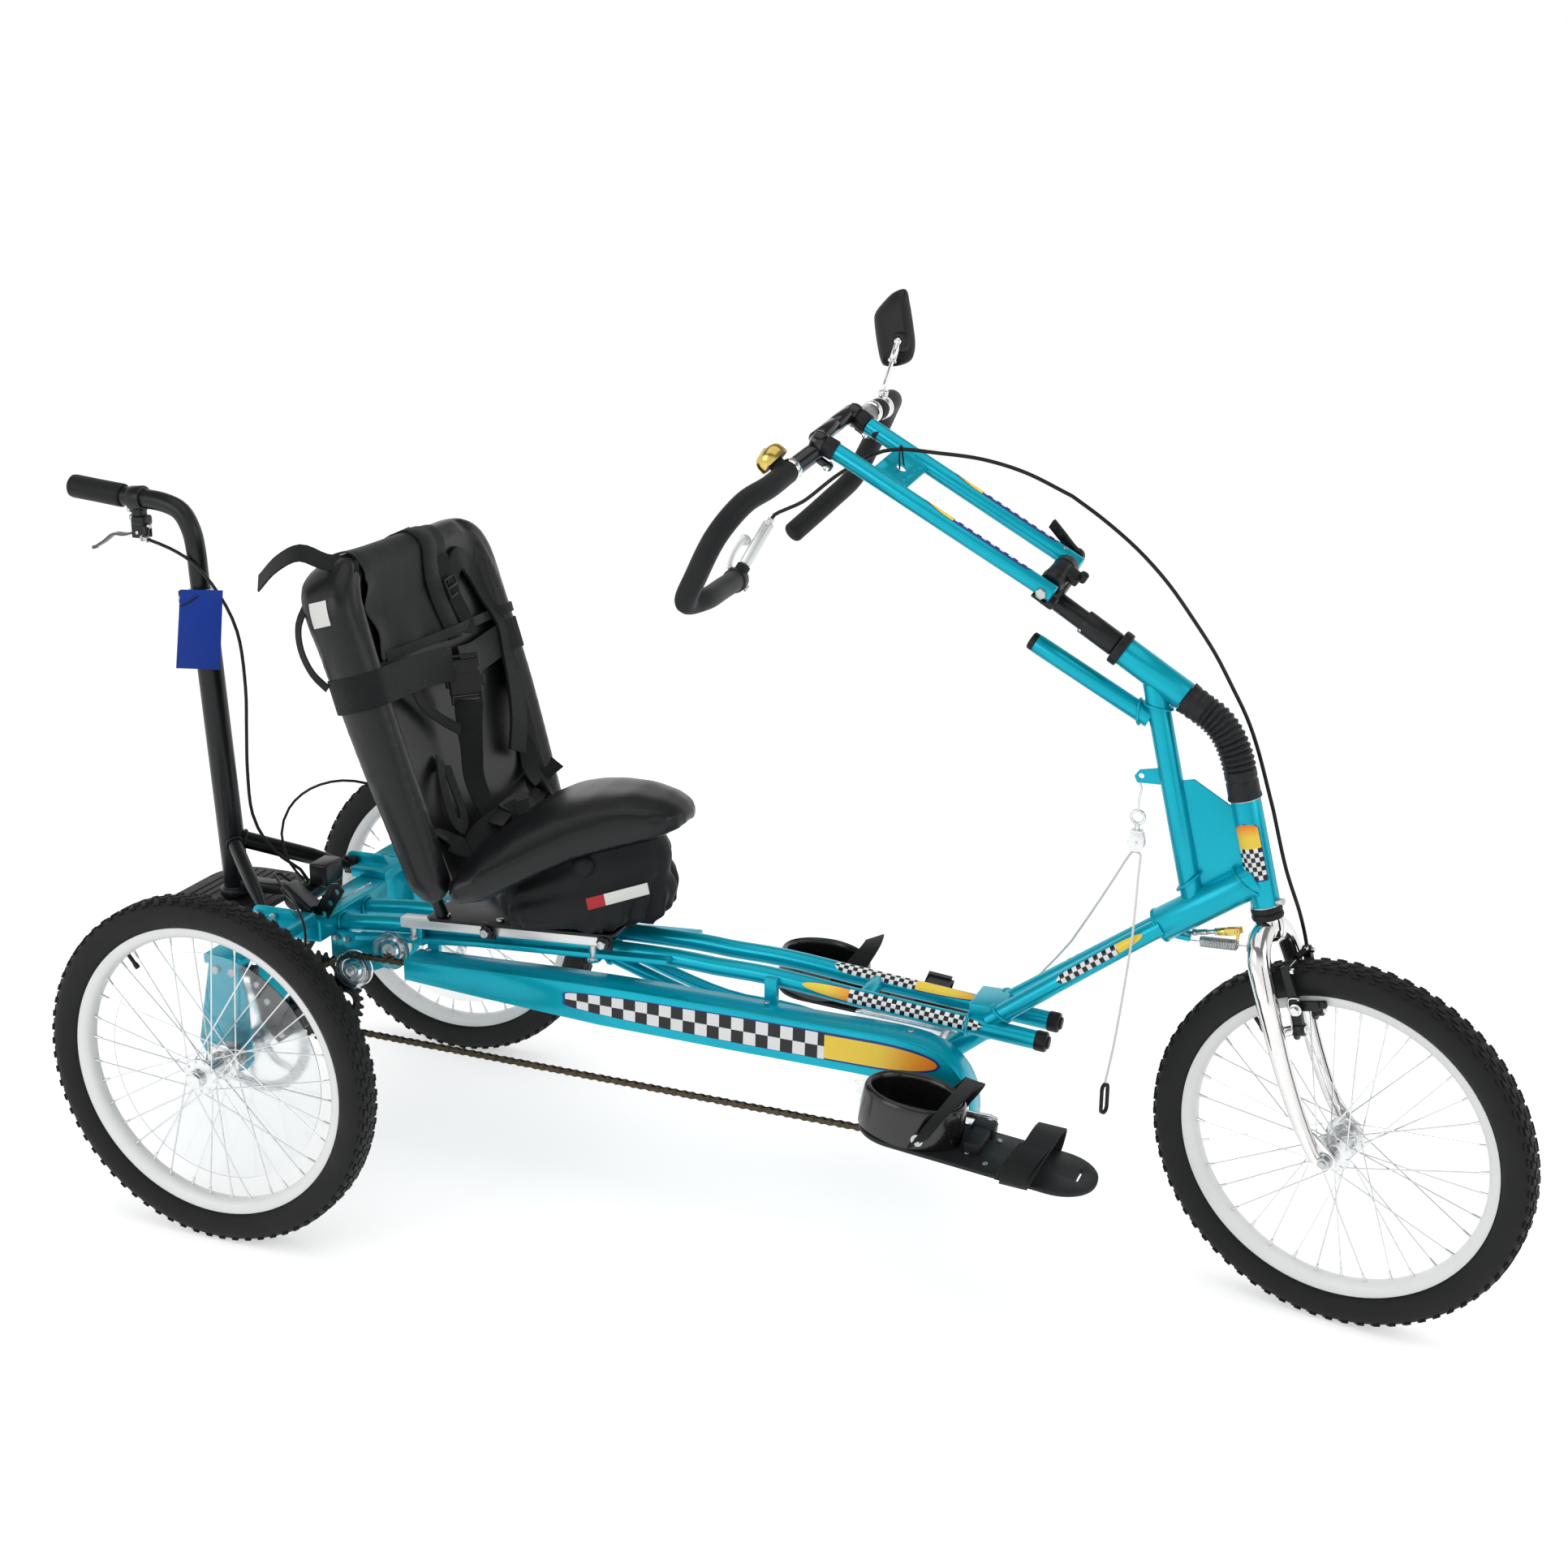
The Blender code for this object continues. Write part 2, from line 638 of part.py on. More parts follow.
HEAD_UP = Vector((HEAD_TILT[0], 0.0, HEAD_TILT[1])).normalized()
HEAD_FORWARD = Vector((HEAD_UP.z, 0.0, -HEAD_UP.x))
COLUMN_BACK = (at_xz(COLUMN_REAR) - at_xz(COLUMN_FRONT)).normalized()
COLUMN_UP = Vector((0.0, 1.0, 0.0)).cross(COLUMN_BACK)
TRIKE = carrier("trike_origin", Matrix.Translation((-ORIGIN_TO_REAR_AXLE, 0.0, 0.0)))
STRAIGHT_HEAD = frame_from_axes(at_xz(HEAD_FOOT), HEAD_FORWARD, (0.0, 1.0, 0.0), HEAD_UP)
STEERED_HEAD = STRAIGHT_HEAD @ Matrix.Rotation(math.radians(STEER_REST_DEG), 4, "Z")
STEERING = carrier("steering_axis", STEERED_HEAD, TRIKE)
STRAIGHT_COLUMN = frame_from_axes(at_xz(COLUMN_REAR), COLUMN_BACK, COLUMN_UP, (0.0, 1.0, 0.0))
TURNED_COLUMN = STRAIGHT_COLUMN @ Matrix.Rotation(math.radians(COLUMN_REST_DEG), 4, "X")
COLUMN = carrier("column_axis", TURNED_COLUMN, TRIKE)
ARMS = carrier("arm_tilt_axis", Matrix.Translation((*TILT_PIVOT, 0.0)), COLUMN)


# Wheels
def wheel_turn():
    """Turns a round profile by half a step so that a flat facet faces down."""
    return math.pi / WHEEL_STEPS


def make_tyre(name, hub):
    bead = RIM_RADIUS + RUNNING_GAP
    half_bead = BEAD_WIDTH / 2.0
    half_tyre = TYRE_WIDTH / 2.0
    half_tread = TREAD_WIDTH / 2.0
    wall = WHEEL_RADIUS - bead
    side = [
        (bead, half_bead),
        (bead + wall * 0.50, half_tyre),
        (WHEEL_RADIUS, half_tread),
    ]
    profile = side + [(radius, -height) for radius, height in reversed(side)]
    profile = [(outside(radius, WHEEL_STEPS), height) for radius, height in profile]
    tyre = turned(profile, hub_frame(), WHEEL_STEPS, turn=wheel_turn())
    return finish(tyre, name, "black_rubber", hub)


def hub_frame():
    """Z along the axle towards the rider's left, X straight up."""
    return Matrix(((0, 1, 0, 0), (0, 0, 1, 0), (1, 0, 0, 0), (0, 0, 0, 1)))


def rim_ring():
    half = RIM_WIDTH / 2.0
    inner = RIM_RADIUS - RIM_DEPTH
    profile = [
        (RIM_RADIUS, -half), (RIM_RADIUS, half), (inner, half * 0.62), (inner, -half * 0.62),
    ]
    profile = [(outside(radius, WHEEL_STEPS), height) for radius, height in profile]
    return turned(profile, hub_frame(), WHEEL_STEPS, turn=wheel_turn())


def hub_shell(bore, reach_right, reach_left, sides=9):
    flange_out = FLANGE_OFFSET + FLANGE_THICKNESS
    outer = [
        (HUB_RADIUS, -reach_right), (HUB_RADIUS, -flange_out), (FLANGE_RADIUS, -flange_out),
        (FLANGE_RADIUS, -FLANGE_OFFSET), (HUB_RADIUS, -FLANGE_OFFSET), (HUB_RADIUS, FLANGE_OFFSET),
        (FLANGE_RADIUS, FLANGE_OFFSET), (FLANGE_RADIUS, flange_out), (HUB_RADIUS, flange_out),
        (HUB_RADIUS, reach_left),
    ]
    inner = outside(bore, sides)
    profile = outer + [(inner, reach_left), (inner, -reach_right)]
    return turned(profile, hub_frame(), sides)


def spokes():
    """Spokes that leave the two flanges by turns and cross to the rim."""
    pieces = []
    reach = RIM_RADIUS - RIM_DEPTH + 0.004
    for index in range(SPOKE_COUNT):
        side = 1.0 if index % 2 else -1.0
        lean = math.radians(16.0) * (1.0 if (index // 2) % 2 else -1.0)
        at_rim = math.tau * (index + 0.5) / SPOKE_COUNT
        at_hub = at_rim - lean
        hub_radius = FLANGE_RADIUS - 0.005
        start = (hub_radius * math.sin(at_hub), side * (FLANGE_OFFSET + 0.0015), hub_radius * math.cos(at_hub))
        end = (reach * math.sin(at_rim), side * 0.003, reach * math.cos(at_rim))
        pieces.append(rod(start, end, SPOKE_RADIUS, sides=3))
    return pieces


def make_wheel(name, hub, bore, reach_right, reach_left, extras=()):
    wheel = joined([rim_ring(), hub_shell(bore, reach_right, reach_left), *spokes(), *extras])
    return finish(wheel, name, "white_rim", hub)


def rotor_disc(y):
    """A brake disc: an outer band on four arms."""
    outline = circle(ROTOR_RADIUS, 20)
    windows = []
    inner = ROTOR_RADIUS - ROTOR_BAND
    for index in range(4):
        start = math.tau * (index + 0.12) / 4
        end = math.tau * (index + 0.88) / 4
        outer_arc = arc_points(inner, start, end, 3)
        inner_arc = arc_points(0.026, end, start, 2)
        windows.append(outer_arc + inner_arc)
    return upright_plate(outline, ROTOR_THICKNESS, y, windows)


def arc_points(radius, start, end, steps):
    return [
        (
            radius * math.cos(start + (end - start) * step / steps),
            radius * math.sin(start + (end - start) * step / steps),
        )
        for step in range(steps + 1)
    ]


def make_rear_wheels():
    axle_bore = REAR_AXLE_RADIUS + RUNNING_GAP
    right = carrier("right_hub", Matrix.Translation((0.0, -HALF_TRACK, WHEEL_RADIUS)), TRIKE)
    left = carrier("left_hub", Matrix.Translation((0.0, HALF_TRACK, WHEEL_RADIUS)), TRIKE)
    make_tyre("right_tyre", right)
    make_wheel("right_wheel", right, axle_bore, REAR_HUB_HALF_LENGTH, REAR_HUB_HALF_LENGTH)
    to_disc = HALF_TRACK - ROTOR_FROM_CENTRE
    to_cog_end = HALF_TRACK - 0.050
    shaft = rod((0.0, -REAR_AXLE_END, 0.0), (0.0, to_cog_end, 0.0), REAR_AXLE_RADIUS)
    boss = rod((0.0, to_disc - 0.008, 0.0), (0.0, to_disc + 0.008, 0.0), 0.016)
    nut = rod((0.0, -REAR_AXLE_END - 0.004, 0.0), (0.0, -REAR_HUB_HALF_LENGTH - CLEARANCE, 0.0), 0.012, 6)
    finish(joined([shaft, boss, rotor_disc(to_disc), nut]), "right_axle", "steel", right)
    make_tyre("left_tyre", left)
    inner_end = HALF_TRACK - BRACKET_INNER_Y + 0.014
    extras = [
        rod((0.0, -inner_end, 0.0), (0.0, REAR_AXLE_END + 0.004, 0.0), REAR_AXLE_RADIUS),
        rod((0.0, -to_disc - 0.008, 0.0), (0.0, -to_disc + 0.008, 0.0), 0.016),
        rotor_disc(-to_disc),
    ]
    make_wheel("left_wheel", left, REAR_AXLE_RADIUS * 0.5, REAR_HUB_HALF_LENGTH, REAR_HUB_HALF_LENGTH, extras)


# Rear axle brackets
def make_axle_bracket(name, side):
    """Two plates and a beam that hold the axle's two bearings."""
    outer_y = side * BRACKET_OUTER_Y
    inner_y = side * BRACKET_INNER_Y
    beam_top = BRACKET_TOP_Z
    beam_bottom = beam_top - BRACKET_BEAM_HEIGHT
    outline = [
        (-0.030, beam_top), (0.012, beam_top), (0.026, 0.330), (0.030, 0.244),
        (0.006, 0.226), (-0.040, 0.232), (-0.056, 0.262),
    ]
    beam_end = side * (BEAM_END_Y + RUNNING_GAP)
    beam = box(
        (BRACKET_BEAM_LENGTH, abs(outer_y - beam_end), beam_top - beam_bottom),
        (-0.012, (outer_y + beam_end) / 2.0, (beam_top + beam_bottom) / 2.0),
    )
    lug = upright_plate(
        [(-0.068, 0.372), (-0.068, 0.396), (-0.058, 0.406), (-0.004, 0.406), (0.012, 0.385), (-0.038, 0.381)],
        BRACKET_PLATE, side * LUG_Y,
    )
    pieces = [
        beam, lug,
        upright_plate(outline, BRACKET_PLATE, outer_y),
        upright_plate(outline, BRACKET_PLATE, inner_y),
    ]
    cutters = []
    for plate_y in (outer_y, inner_y):
        start = (0.0, plate_y - BEARING_LENGTH / 2.0, WHEEL_RADIUS)
        end = (0.0, plate_y + BEARING_LENGTH / 2.0, WHEEL_RADIUS)
        pieces.append(rod(start, end, BEARING_RADIUS))
    bore = outside(REAR_AXLE_RADIUS + RUNNING_GAP, 12)
    for plate_y in (outer_y, inner_y):
        cutters.append(rod((0.0, plate_y - 0.02, WHEEL_RADIUS), (0.0, plate_y + 0.02, WHEEL_RADIUS), bore))
    return finish(joined(pieces, cutters), name, "teal_paint", TRIKE)


def make_caliper(name, side):
    """A brake caliper that straddles the disc, on its own carrying plate."""
    disc_y = side * ROTOR_FROM_CENTRE
    plate_y = side * (BRACKET_OUTER_Y - 0.013)
    carrier_plate = upright_plate(
        [(0.016, 0.3755), (0.052, 0.352), (0.086, 0.318), (0.092, 0.292), (0.062, 0.270), (0.036, 0.300)],
        0.004, plate_y,
    )
    body = box((0.034, 0.046, 0.040), (0.072, (disc_y + plate_y) / 2.0 - side * 0.004, 0.304))
    slot = box((0.120, ROTOR_THICKNESS + 0.002, 0.120), (0.030, disc_y, 0.254))
    reach = box((0.030, 0.024, 0.012), (0.014, plate_y - side * 0.002, 0.3815 - 0.0123))
    return finish(joined([carrier_plate, body, reach], [slot]), name, "black_paint", TRIKE)


# Main frame
def rail_pieces(side):
    y = side * RAIL_Y
    route = [at_xz(point, y) for point in RAIL_ROUTE]
    front = route[-1]
    along = (route[-1] - route[-2]).normalized()
    pieces = [tube(route, RAIL_RADIUS, 8)]
    cap_end = front + along * RAIL_CAP_LENGTH
    pieces.append(rod(front - along * 0.006, cap_end, RAIL_CAP_RADIUS, 8))
    pieces.append(rod(cap_end - along * 0.001, cap_end + along * 0.005, RAIL_CAP_RADIUS, 8, RAIL_CAP_RADIUS * 0.5))
    bar_y = side * SEAT_BAR_Y
    bar_route = [at_xz(point, bar_y) for point in SEAT_BAR_ROUTE]
    across = Vector((0.0, SEAT_BAR_WIDTH / 2.0, 0.0))
    pieces.append(strap(bar_route, [across] * len(bar_route), SEAT_BAR_HEIGHT))
    for x in SPACER_X:
        top = seat_rail_height(x) - SEAT_RAIL_HEIGHT / 2.0 - RUNNING_GAP - 0.0004
        centre_y = side * (SEAT_RAIL_Y - 0.004)
        pieces.append(box((SPACER_SIZE, SPACER_SIZE, 0.028), (x, centre_y, top - 0.014)))
    diagonal = [at_xz(point, side * DIAGONAL_Y) for point in DIAGONAL_ROUTE]
    pieces.append(tube(diagonal, DIAGONAL_RADIUS, 8))
    return pieces


def seat_rail_height(x):
    """Height of the seat rail's centre line at x."""
    share = (x - SEAT_RAIL_REAR[0]) / (SEAT_RAIL_FRONT[0] - SEAT_RAIL_REAR[0])
    return SEAT_RAIL_REAR[1] + share * (SEAT_RAIL_FRONT[1] - SEAT_RAIL_REAR[1])


SLEEVE_REAR = (1.2183, 0.5115)
SLEEVE_RADIUS = 0.0225
SLEEVE_FRONT = (1.338, 0.5930)
BOOM_TUBE_REAR = (1.004, 0.3560)
SLEEVE_ALONG = (at_xz(SLEEVE_FRONT) - at_xz(SLEEVE_REAR)).normalized()


def make_main_frame():
    pieces = []
    for _, side in both_sides():
        pieces += rail_pieces(side)
    joint_gap = SLEEVE_ALONG * RUNNING_GAP
    for _, side in both_sides():
        rear = at_xz(BOOM_TUBE_REAR, side * BOOM_TUBE_REAR_Y)
        front = at_xz(SLEEVE_REAR, side * BOOM_TUBE_FRONT_Y) - joint_gap
        straight = front - SLEEVE_ALONG * 0.012
        pieces.append(tube([rear, straight, front], BOOM_TUBE_RADIUS, 8))
    beam = box(
        (REAR_BEAM_SIZE[0], 2.0 * BEAM_END_Y, REAR_BEAM_SIZE[1]),
        (REAR_BEAM_AT[0], 0.0, REAR_BEAM_AT[1]),
    )
    gusset = box((GUSSET_BOX[0], 2.0 * RAIL_Y, GUSSET_BOX[1]), (GUSSET_BOX_AT[0], 0.0, GUSSET_BOX_AT[1]))
    cross_z = 0.3617
    cross = rod((CROSS_TUBE_X, -RAIL_Y, cross_z), (CROSS_TUBE_X, RAIL_Y, cross_z), CROSS_TUBE_RADIUS, 8)
    shell = rod((CRANK_X, -RAIL_Y, CRANK_Z), (CRANK_X, RAIL_Y, CRANK_Z), SHELL_RADIUS, 12)
    down = rod(at_xz(DOWN_TUBE_TOP), (CRANK_X + 0.010, 0.0, CRANK_Z + 0.008), DOWN_TUBE_RADIUS, 10)
    idler_plate = upright_plate(IDLER_PLATE, 0.003, IDLER_PLATE_Y)
    plate_foot = box((0.016, 0.016, 0.008), (0.030, IDLER_PLATE_Y + 0.008, 0.3475))
    pins = []
    lower_end = CHAIN_Y - IDLER_HALF_WIDTH - 0.0018
    upper_end = UPPER_IDLER_Y - UPPER_IDLER_HALF_WIDTH - 0.0005
    for centre, reach in ((LOWER_IDLER, lower_end), (UPPER_IDLER, upper_end)):
        pins.append(rod(at_xz(centre, IDLER_PLATE_Y), at_xz(centre, reach), IDLER_PIN_RADIUS, 8))
    pieces += [beam, gusset, cross, shell, down, idler_plate, plate_foot, *pins]
    bore_radius = outside(SPINDLE_RADIUS + RUNNING_GAP, 12)
    bore = rod((CRANK_X, -0.05, CRANK_Z), (CRANK_X, 0.05, CRANK_Z), bore_radius)
    return finish(joined(pieces, [bore]), "main_frame", "teal_paint", TRIKE)


MAST_FOOT = (1.2530, 0.5710)
MAST_HEAD = (1.1920, 0.8300)
MAST_RADIUS = 0.0145
SPUR_FOOT = (1.1900, 0.7830)
SPUR_END = (1.0400, 0.8660)
SPUR_RADIUS = 0.011
GUSSET_OUTLINE = [
    (1.2280, 0.7060), (1.2497, 0.7107), (1.2990, 0.6805), (1.3290, 0.6700),
    (1.3270, 0.6050), (1.2690, 0.5700), (1.2480, 0.6000),
]
CORD_TAB_BOTTOM = 0.6985
CORD_TAB = [(1.222, 0.699), (1.178, 0.6985), (1.174, 0.707), (1.180, 0.7155), (1.216, 0.722)]


def make_front_boom():
    """The sleeve, mast, spur, gusset, head tube and column tube, welded together."""
    head_bottom = at_xz(HEAD_FOOT)
    head_top = head_bottom + HEAD_UP * HEAD_LENGTH
    column_rear = at_xz(COLUMN_REAR) - COLUMN_BACK * COLUMN_TUBE_START
    column_front = at_xz(COLUMN_FRONT)
    spur_end = at_xz(SPUR_END)
    spur_along = (spur_end - at_xz(SPUR_FOOT)).normalized()
    pieces = [
        rod(at_xz(SLEEVE_REAR), at_xz(SLEEVE_FRONT), SLEEVE_RADIUS, 10),
        rod(at_xz(MAST_FOOT), at_xz(MAST_HEAD), MAST_RADIUS, 10),
        rod(at_xz(SPUR_FOOT), spur_end, SPUR_RADIUS, 10),
        rod(spur_end - spur_along * 0.004, spur_end + spur_along * 0.009, SPUR_RADIUS * 1.1, 10, SPUR_RADIUS * 0.6),
        upright_plate(GUSSET_OUTLINE, 0.005, 0.0),
        upright_plate(CORD_TAB, 0.004, 0.0, [circle(0.0035, 8, (1.183, 0.7075))]),
        rod(head_bottom, head_top, HEAD_RADIUS, 12),
        rod(column_rear, column_front, COLUMN_TUBE_RADIUS, 10),
        rod(column_rear + COLUMN_BACK * COLLAR_LENGTH, column_rear - COLUMN_BACK * 0.002, COLLAR_RADIUS, 12),
    ]
    head_bore = rod(
        head_bottom - HEAD_UP * 0.02, head_top + HEAD_UP * 0.02, outside(HEAD_BORE, 12), 12)
    column_bore = rod(
        column_rear + COLUMN_BACK * 0.03, column_front - COLUMN_BACK * 0.02, outside(COLUMN_BORE, 12), 12)
    return finish(joined(pieces, [head_bore, column_bore]), "front_boom", "teal_paint", TRIKE)


# Chain drive
def pitch_radius(teeth):
    return CHAIN_PITCH / (2.0 * math.sin(math.pi / teeth))


def toothed_outline(teeth, radius):
    points = []
    for index in range(teeth):
        tip = math.tau * index / teeth
        root = math.tau * (index + 0.5) / teeth
        points.append(((radius + TOOTH_RISE) * math.cos(tip), (radius + TOOTH_RISE) * math.sin(tip)))
        points.append(((radius - TOOTH_DROP) * math.cos(root), (radius - TOOTH_DROP) * math.sin(root)))
    return points


def tangent_angle(first, second):
    """Direction, seen from the rider's right, of the left-hand tangent from one wheel to the next."""
    dx = second[0] - first[0]
    dz = second[1] - first[1]
    distance = math.hypot(dx, dz)
    return math.atan2(dz, dx) + math.acos((first[2] - second[2]) / distance)


def chain_path():
    """The chain's pitch line round the chainring, the cog and the lower idler."""
    wheels = [
        (0.0, WHEEL_RADIUS, pitch_radius(COG_TEETH)),
        (*LOWER_IDLER, IDLER_PITCH_RADIUS),
        (CRANK_X, CRANK_Z, pitch_radius(CHAINRING_TEETH)),
    ]
    leaving = [tangent_angle(wheels[index], wheels[(index + 1) % 3]) for index in range(3)]
    path = []
    for index, (centre_x, centre_z, radius) in enumerate(wheels):
        start = leaving[index - 1]
        end = leaving[index]
        while end > start:
            end -= math.tau
        steps = max(2, math.ceil((start - end) / math.radians(20.0)))
        for step in range(steps + 1):
            angle = start + (end - start) * step / steps
            path.append((centre_x + radius * math.cos(angle), centre_z + radius * math.sin(angle)))
    return path


def make_chain():
    """A closed band whose inner side is slotted for the sprockets' teeth."""
    path = chain_path()
    half_width = CHAIN_WIDTH / 2.0
    half_slot = CHAIN_SLOT / 2.0
    web = CHAIN_HALF_HEIGHT - CHAIN_WEB
    section = [
        (-half_width, CHAIN_HALF_HEIGHT), (half_width, CHAIN_HALF_HEIGHT), (half_width, -CHAIN_HALF_HEIGHT),
        (half_slot, -CHAIN_HALF_HEIGHT), (half_slot, web), (-half_slot, web),
        (-half_slot, -CHAIN_HALF_HEIGHT), (-half_width, -CHAIN_HALF_HEIGHT),
    ]
    rings = []
    count = len(path)
    for index in range(count):
        before = Vector(path[index - 1])
        here = Vector(path[index])
        after = Vector(path[(index + 1) % count])
        first = (here - before).normalized()
        second = (after - here).normalized()
        normal = Vector((-(first.y + second.y), first.x + second.x)).normalized()
        stretch = 1.0 / max(0.5, normal.dot(Vector((-first.y, first.x))))
        rings.append([
            (here.x + normal.x * rise * stretch, CHAIN_Y + y, here.y + normal.y * rise * stretch)
            for y, rise in section
        ])
    band = loft(rings + [rings[0]], closed_ends=False)
    work = bmesh.new()
    work.from_mesh(band.data)
    bpy.data.objects.remove(band, do_unlink=True)
    bmesh.ops.remove_doubles(work, verts=work.verts, dist=0.000002)
    return finish(from_bmesh(work), "chain", "chain_steel", TRIKE)


def make_rear_sprockets():
    hub = carrier("cog_axis", Matrix.Translation((0.0, 0.0, WHEEL_RADIUS)), TRIKE)
    bore = circle(outside(REAR_AXLE_RADIUS + RUNNING_GAP, 10), 10)
    small = upright_plate(toothed_outline(COG_TEETH, pitch_radius(COG_TEETH)), SPROCKET_THICKNESS, CHAIN_Y, [bore])
    large_outline = circle(pitch_radius(LARGE_COG_TEETH) + TOOTH_RISE / 2.0, LARGE_COG_TEETH)
    large = upright_plate(large_outline, SPROCKET_THICKNESS, LARGE_COG_Y, [bore])
    inner = outside(REAR_AXLE_RADIUS + RUNNING_GAP, 10)
    sleeve = turned(
        [(0.018, CHAIN_Y - 0.006), (0.018, LARGE_COG_Y + 0.007), (inner, LARGE_COG_Y + 0.007), (inner, CHAIN_Y - 0.006)],
        hub_frame(), 10)
    return finish(joined([small, large, sleeve]), "rear_sprockets", "black_paint", hub)


def make_idler(name, centre, y, half_width):
    hub = carrier(name + "_axis", Matrix.Translation(at_xz(centre, y)), TRIKE)
    bore = outside(IDLER_PIN_RADIUS + RUNNING_GAP, 12)
    slot_radius = IDLER_PITCH_RADIUS - 0.0050
    slot_half = half_width - IDLER_WALL
    profile = [
        (IDLER_DISC_RADIUS, -half_width), (IDLER_DISC_RADIUS, -slot_half), (slot_radius, -slot_half),
        (slot_radius, slot_half), (IDLER_DISC_RADIUS, slot_half), (IDLER_DISC_RADIUS, half_width),
        (bore, half_width), (bore, -half_width),
    ]
    return finish(turned(profile, hub_frame(), 14), name, "clear_plastic", hub)


def make_chain_guard():
    top = GUARD_TOP_ROUTE
    face = top[:GUARD_FACE_STOPS_AT] + GUARD_FACE_LOWER_EDGE
    wrap_outer = top[GUARD_FACE_STOPS_AT - 1:]
    wrap_inner = [(x - 0.012, z) for x, z in reversed(wrap_outer)]
    pieces = [upright_plate(face, GUARD_WALL, GUARD_NEAR_Y), upright_plate(face, GUARD_WALL, GUARD_FAR_Y)]
    pieces.append(upright_plate(wrap_outer + wrap_inner, GUARD_WALL, GUARD_FAR_Y))
    rim = [(x, z) for x, z in top]
    rim_inner = offset_inwards(rim, GUARD_WALL)
    width = abs(GUARD_NEAR_Y - GUARD_FAR_Y) + GUARD_WALL
    pieces.append(upright_plate(rim + rim_inner, width, (GUARD_NEAR_Y + GUARD_FAR_Y) / 2.0))
    for x in GUARD_TAB_X:
        lift = 0.3551 if x < 0.5 else 0.3800
        centre_y = (GUARD_FAR_Y - 0.001 - RAIL_Y - RAIL_RADIUS - RUNNING_GAP) / 2.0
        width_y = abs(GUARD_FAR_Y - 0.001 + RAIL_Y + RAIL_RADIUS + RUNNING_GAP)
        pieces.append(box((0.018, width_y, lift - 0.3405), (x, centre_y - 0.0002, (lift + 0.3405) / 2.0)))
    return finish(joined(pieces), "chain_guard", "teal_paint", TRIKE)


def offset_inwards(points, distance):
    """The points moved to the lower or rear side of the line, in reverse order."""
    moved = []
    for index, (x, z) in enumerate(points):
        before = Vector(points[max(0, index - 1)])
        after = Vector(points[min(len(points) - 1, index + 1)])
        along = (after - before).normalized()
        moved.append((x + along.y * distance, z - along.x * distance))
    return list(reversed(moved))


# Crank and footplates
def crank_arm(side):
    """One crank arm, shaped along X from the spindle."""
    half = CRANK_ARM_WIDTH / 2.0
    end_half = half * 0.75
    outline = arc_points(half, math.pi / 2.0, math.pi * 1.5, 4)
    tip = [(CRANK_LENGTH + x, z) for x, z in arc_points(end_half, -math.pi / 2.0, math.pi / 2.0, 4)]
    y = side * (CRANK_ARM_Y + CRANK_ARM_THICKNESS / 2.0)
    piece = upright_plate(outline + tip, CRANK_ARM_THICKNESS, y)
    if side > 0.0:
        piece.data.transform(Matrix.Rotation(math.pi, 4, "Y"))
    return piece


def pedal_offset(side):
    """Where a pedal's axle lies from the spindle, before the crank's rest angle."""
    return Vector((-side * CRANK_LENGTH, 0.0, 0.0))


def make_crankset():
    rest = Matrix.Translation((CRANK_X, 0.0, CRANK_Z)) @ Matrix.Rotation(math.radians(CRANK_REST_DEG), 4, "Y")
    crank = carrier("crank_axis", rest, TRIKE)
    reach = CRANK_ARM_Y + CRANK_ARM_THICKNESS * 0.6
    pieces = [rod((0.0, -reach, 0.0), (0.0, reach, 0.0), SPINDLE_RADIUS)]
    ring_radius = pitch_radius(CHAINRING_TEETH)
    windows = [circle(0.014, 8, (0.042 * math.cos(a), 0.042 * math.sin(a))) for a in window_angles(5)]
    pieces.append(upright_plate(toothed_outline(CHAINRING_TEETH, ring_radius), SPROCKET_THICKNESS, CHAIN_Y, windows))
    pieces.append(rod((0.0, CHAIN_Y - 0.004, 0.0), (0.0, CHAIN_Y + 0.008, 0.0), 0.020))
    for _, side in both_sides():
        pieces.append(crank_arm(side))
        at_pedal = pedal_offset(side)
        start = at_pedal + Vector((0.0, side * (CRANK_ARM_Y + 0.003), 0.0))
        end = at_pedal + Vector((0.0, side * PEDAL_AXLE_END, 0.0))
        pieces.append(rod(start, end, PEDAL_AXLE_RADIUS, 10))
    finish(joined(pieces), "crankset", "steel", crank)
    return crank


def window_angles(count):
    return [math.tau * (index + 0.5) / count for index in range(count)]


FOOTPLATE_LENGTH_BACK = 0.152
FOOTPLATE_LENGTH_FRONT = 0.161
FOOTPLATE_HALF_WIDTH = 0.055
FOOTPLATE_CENTRE_Y = 0.187
FOOTPLATE_THICKNESS = 0.005
FOOTPLATE_DROP = 0.0055
FOOT_PITCH_DEG = {"right": 7.0, "left": 4.0}
HEEL_CENTRE_X = -0.086
HEEL_HALF = (0.068, 0.054)
HEEL_WALL = 0.010
HEEL_HEIGHT = 0.056
PEDAL_BLOCK = (0.030, 0.024, 0.022)
TOE_STRAP_X = 0.085


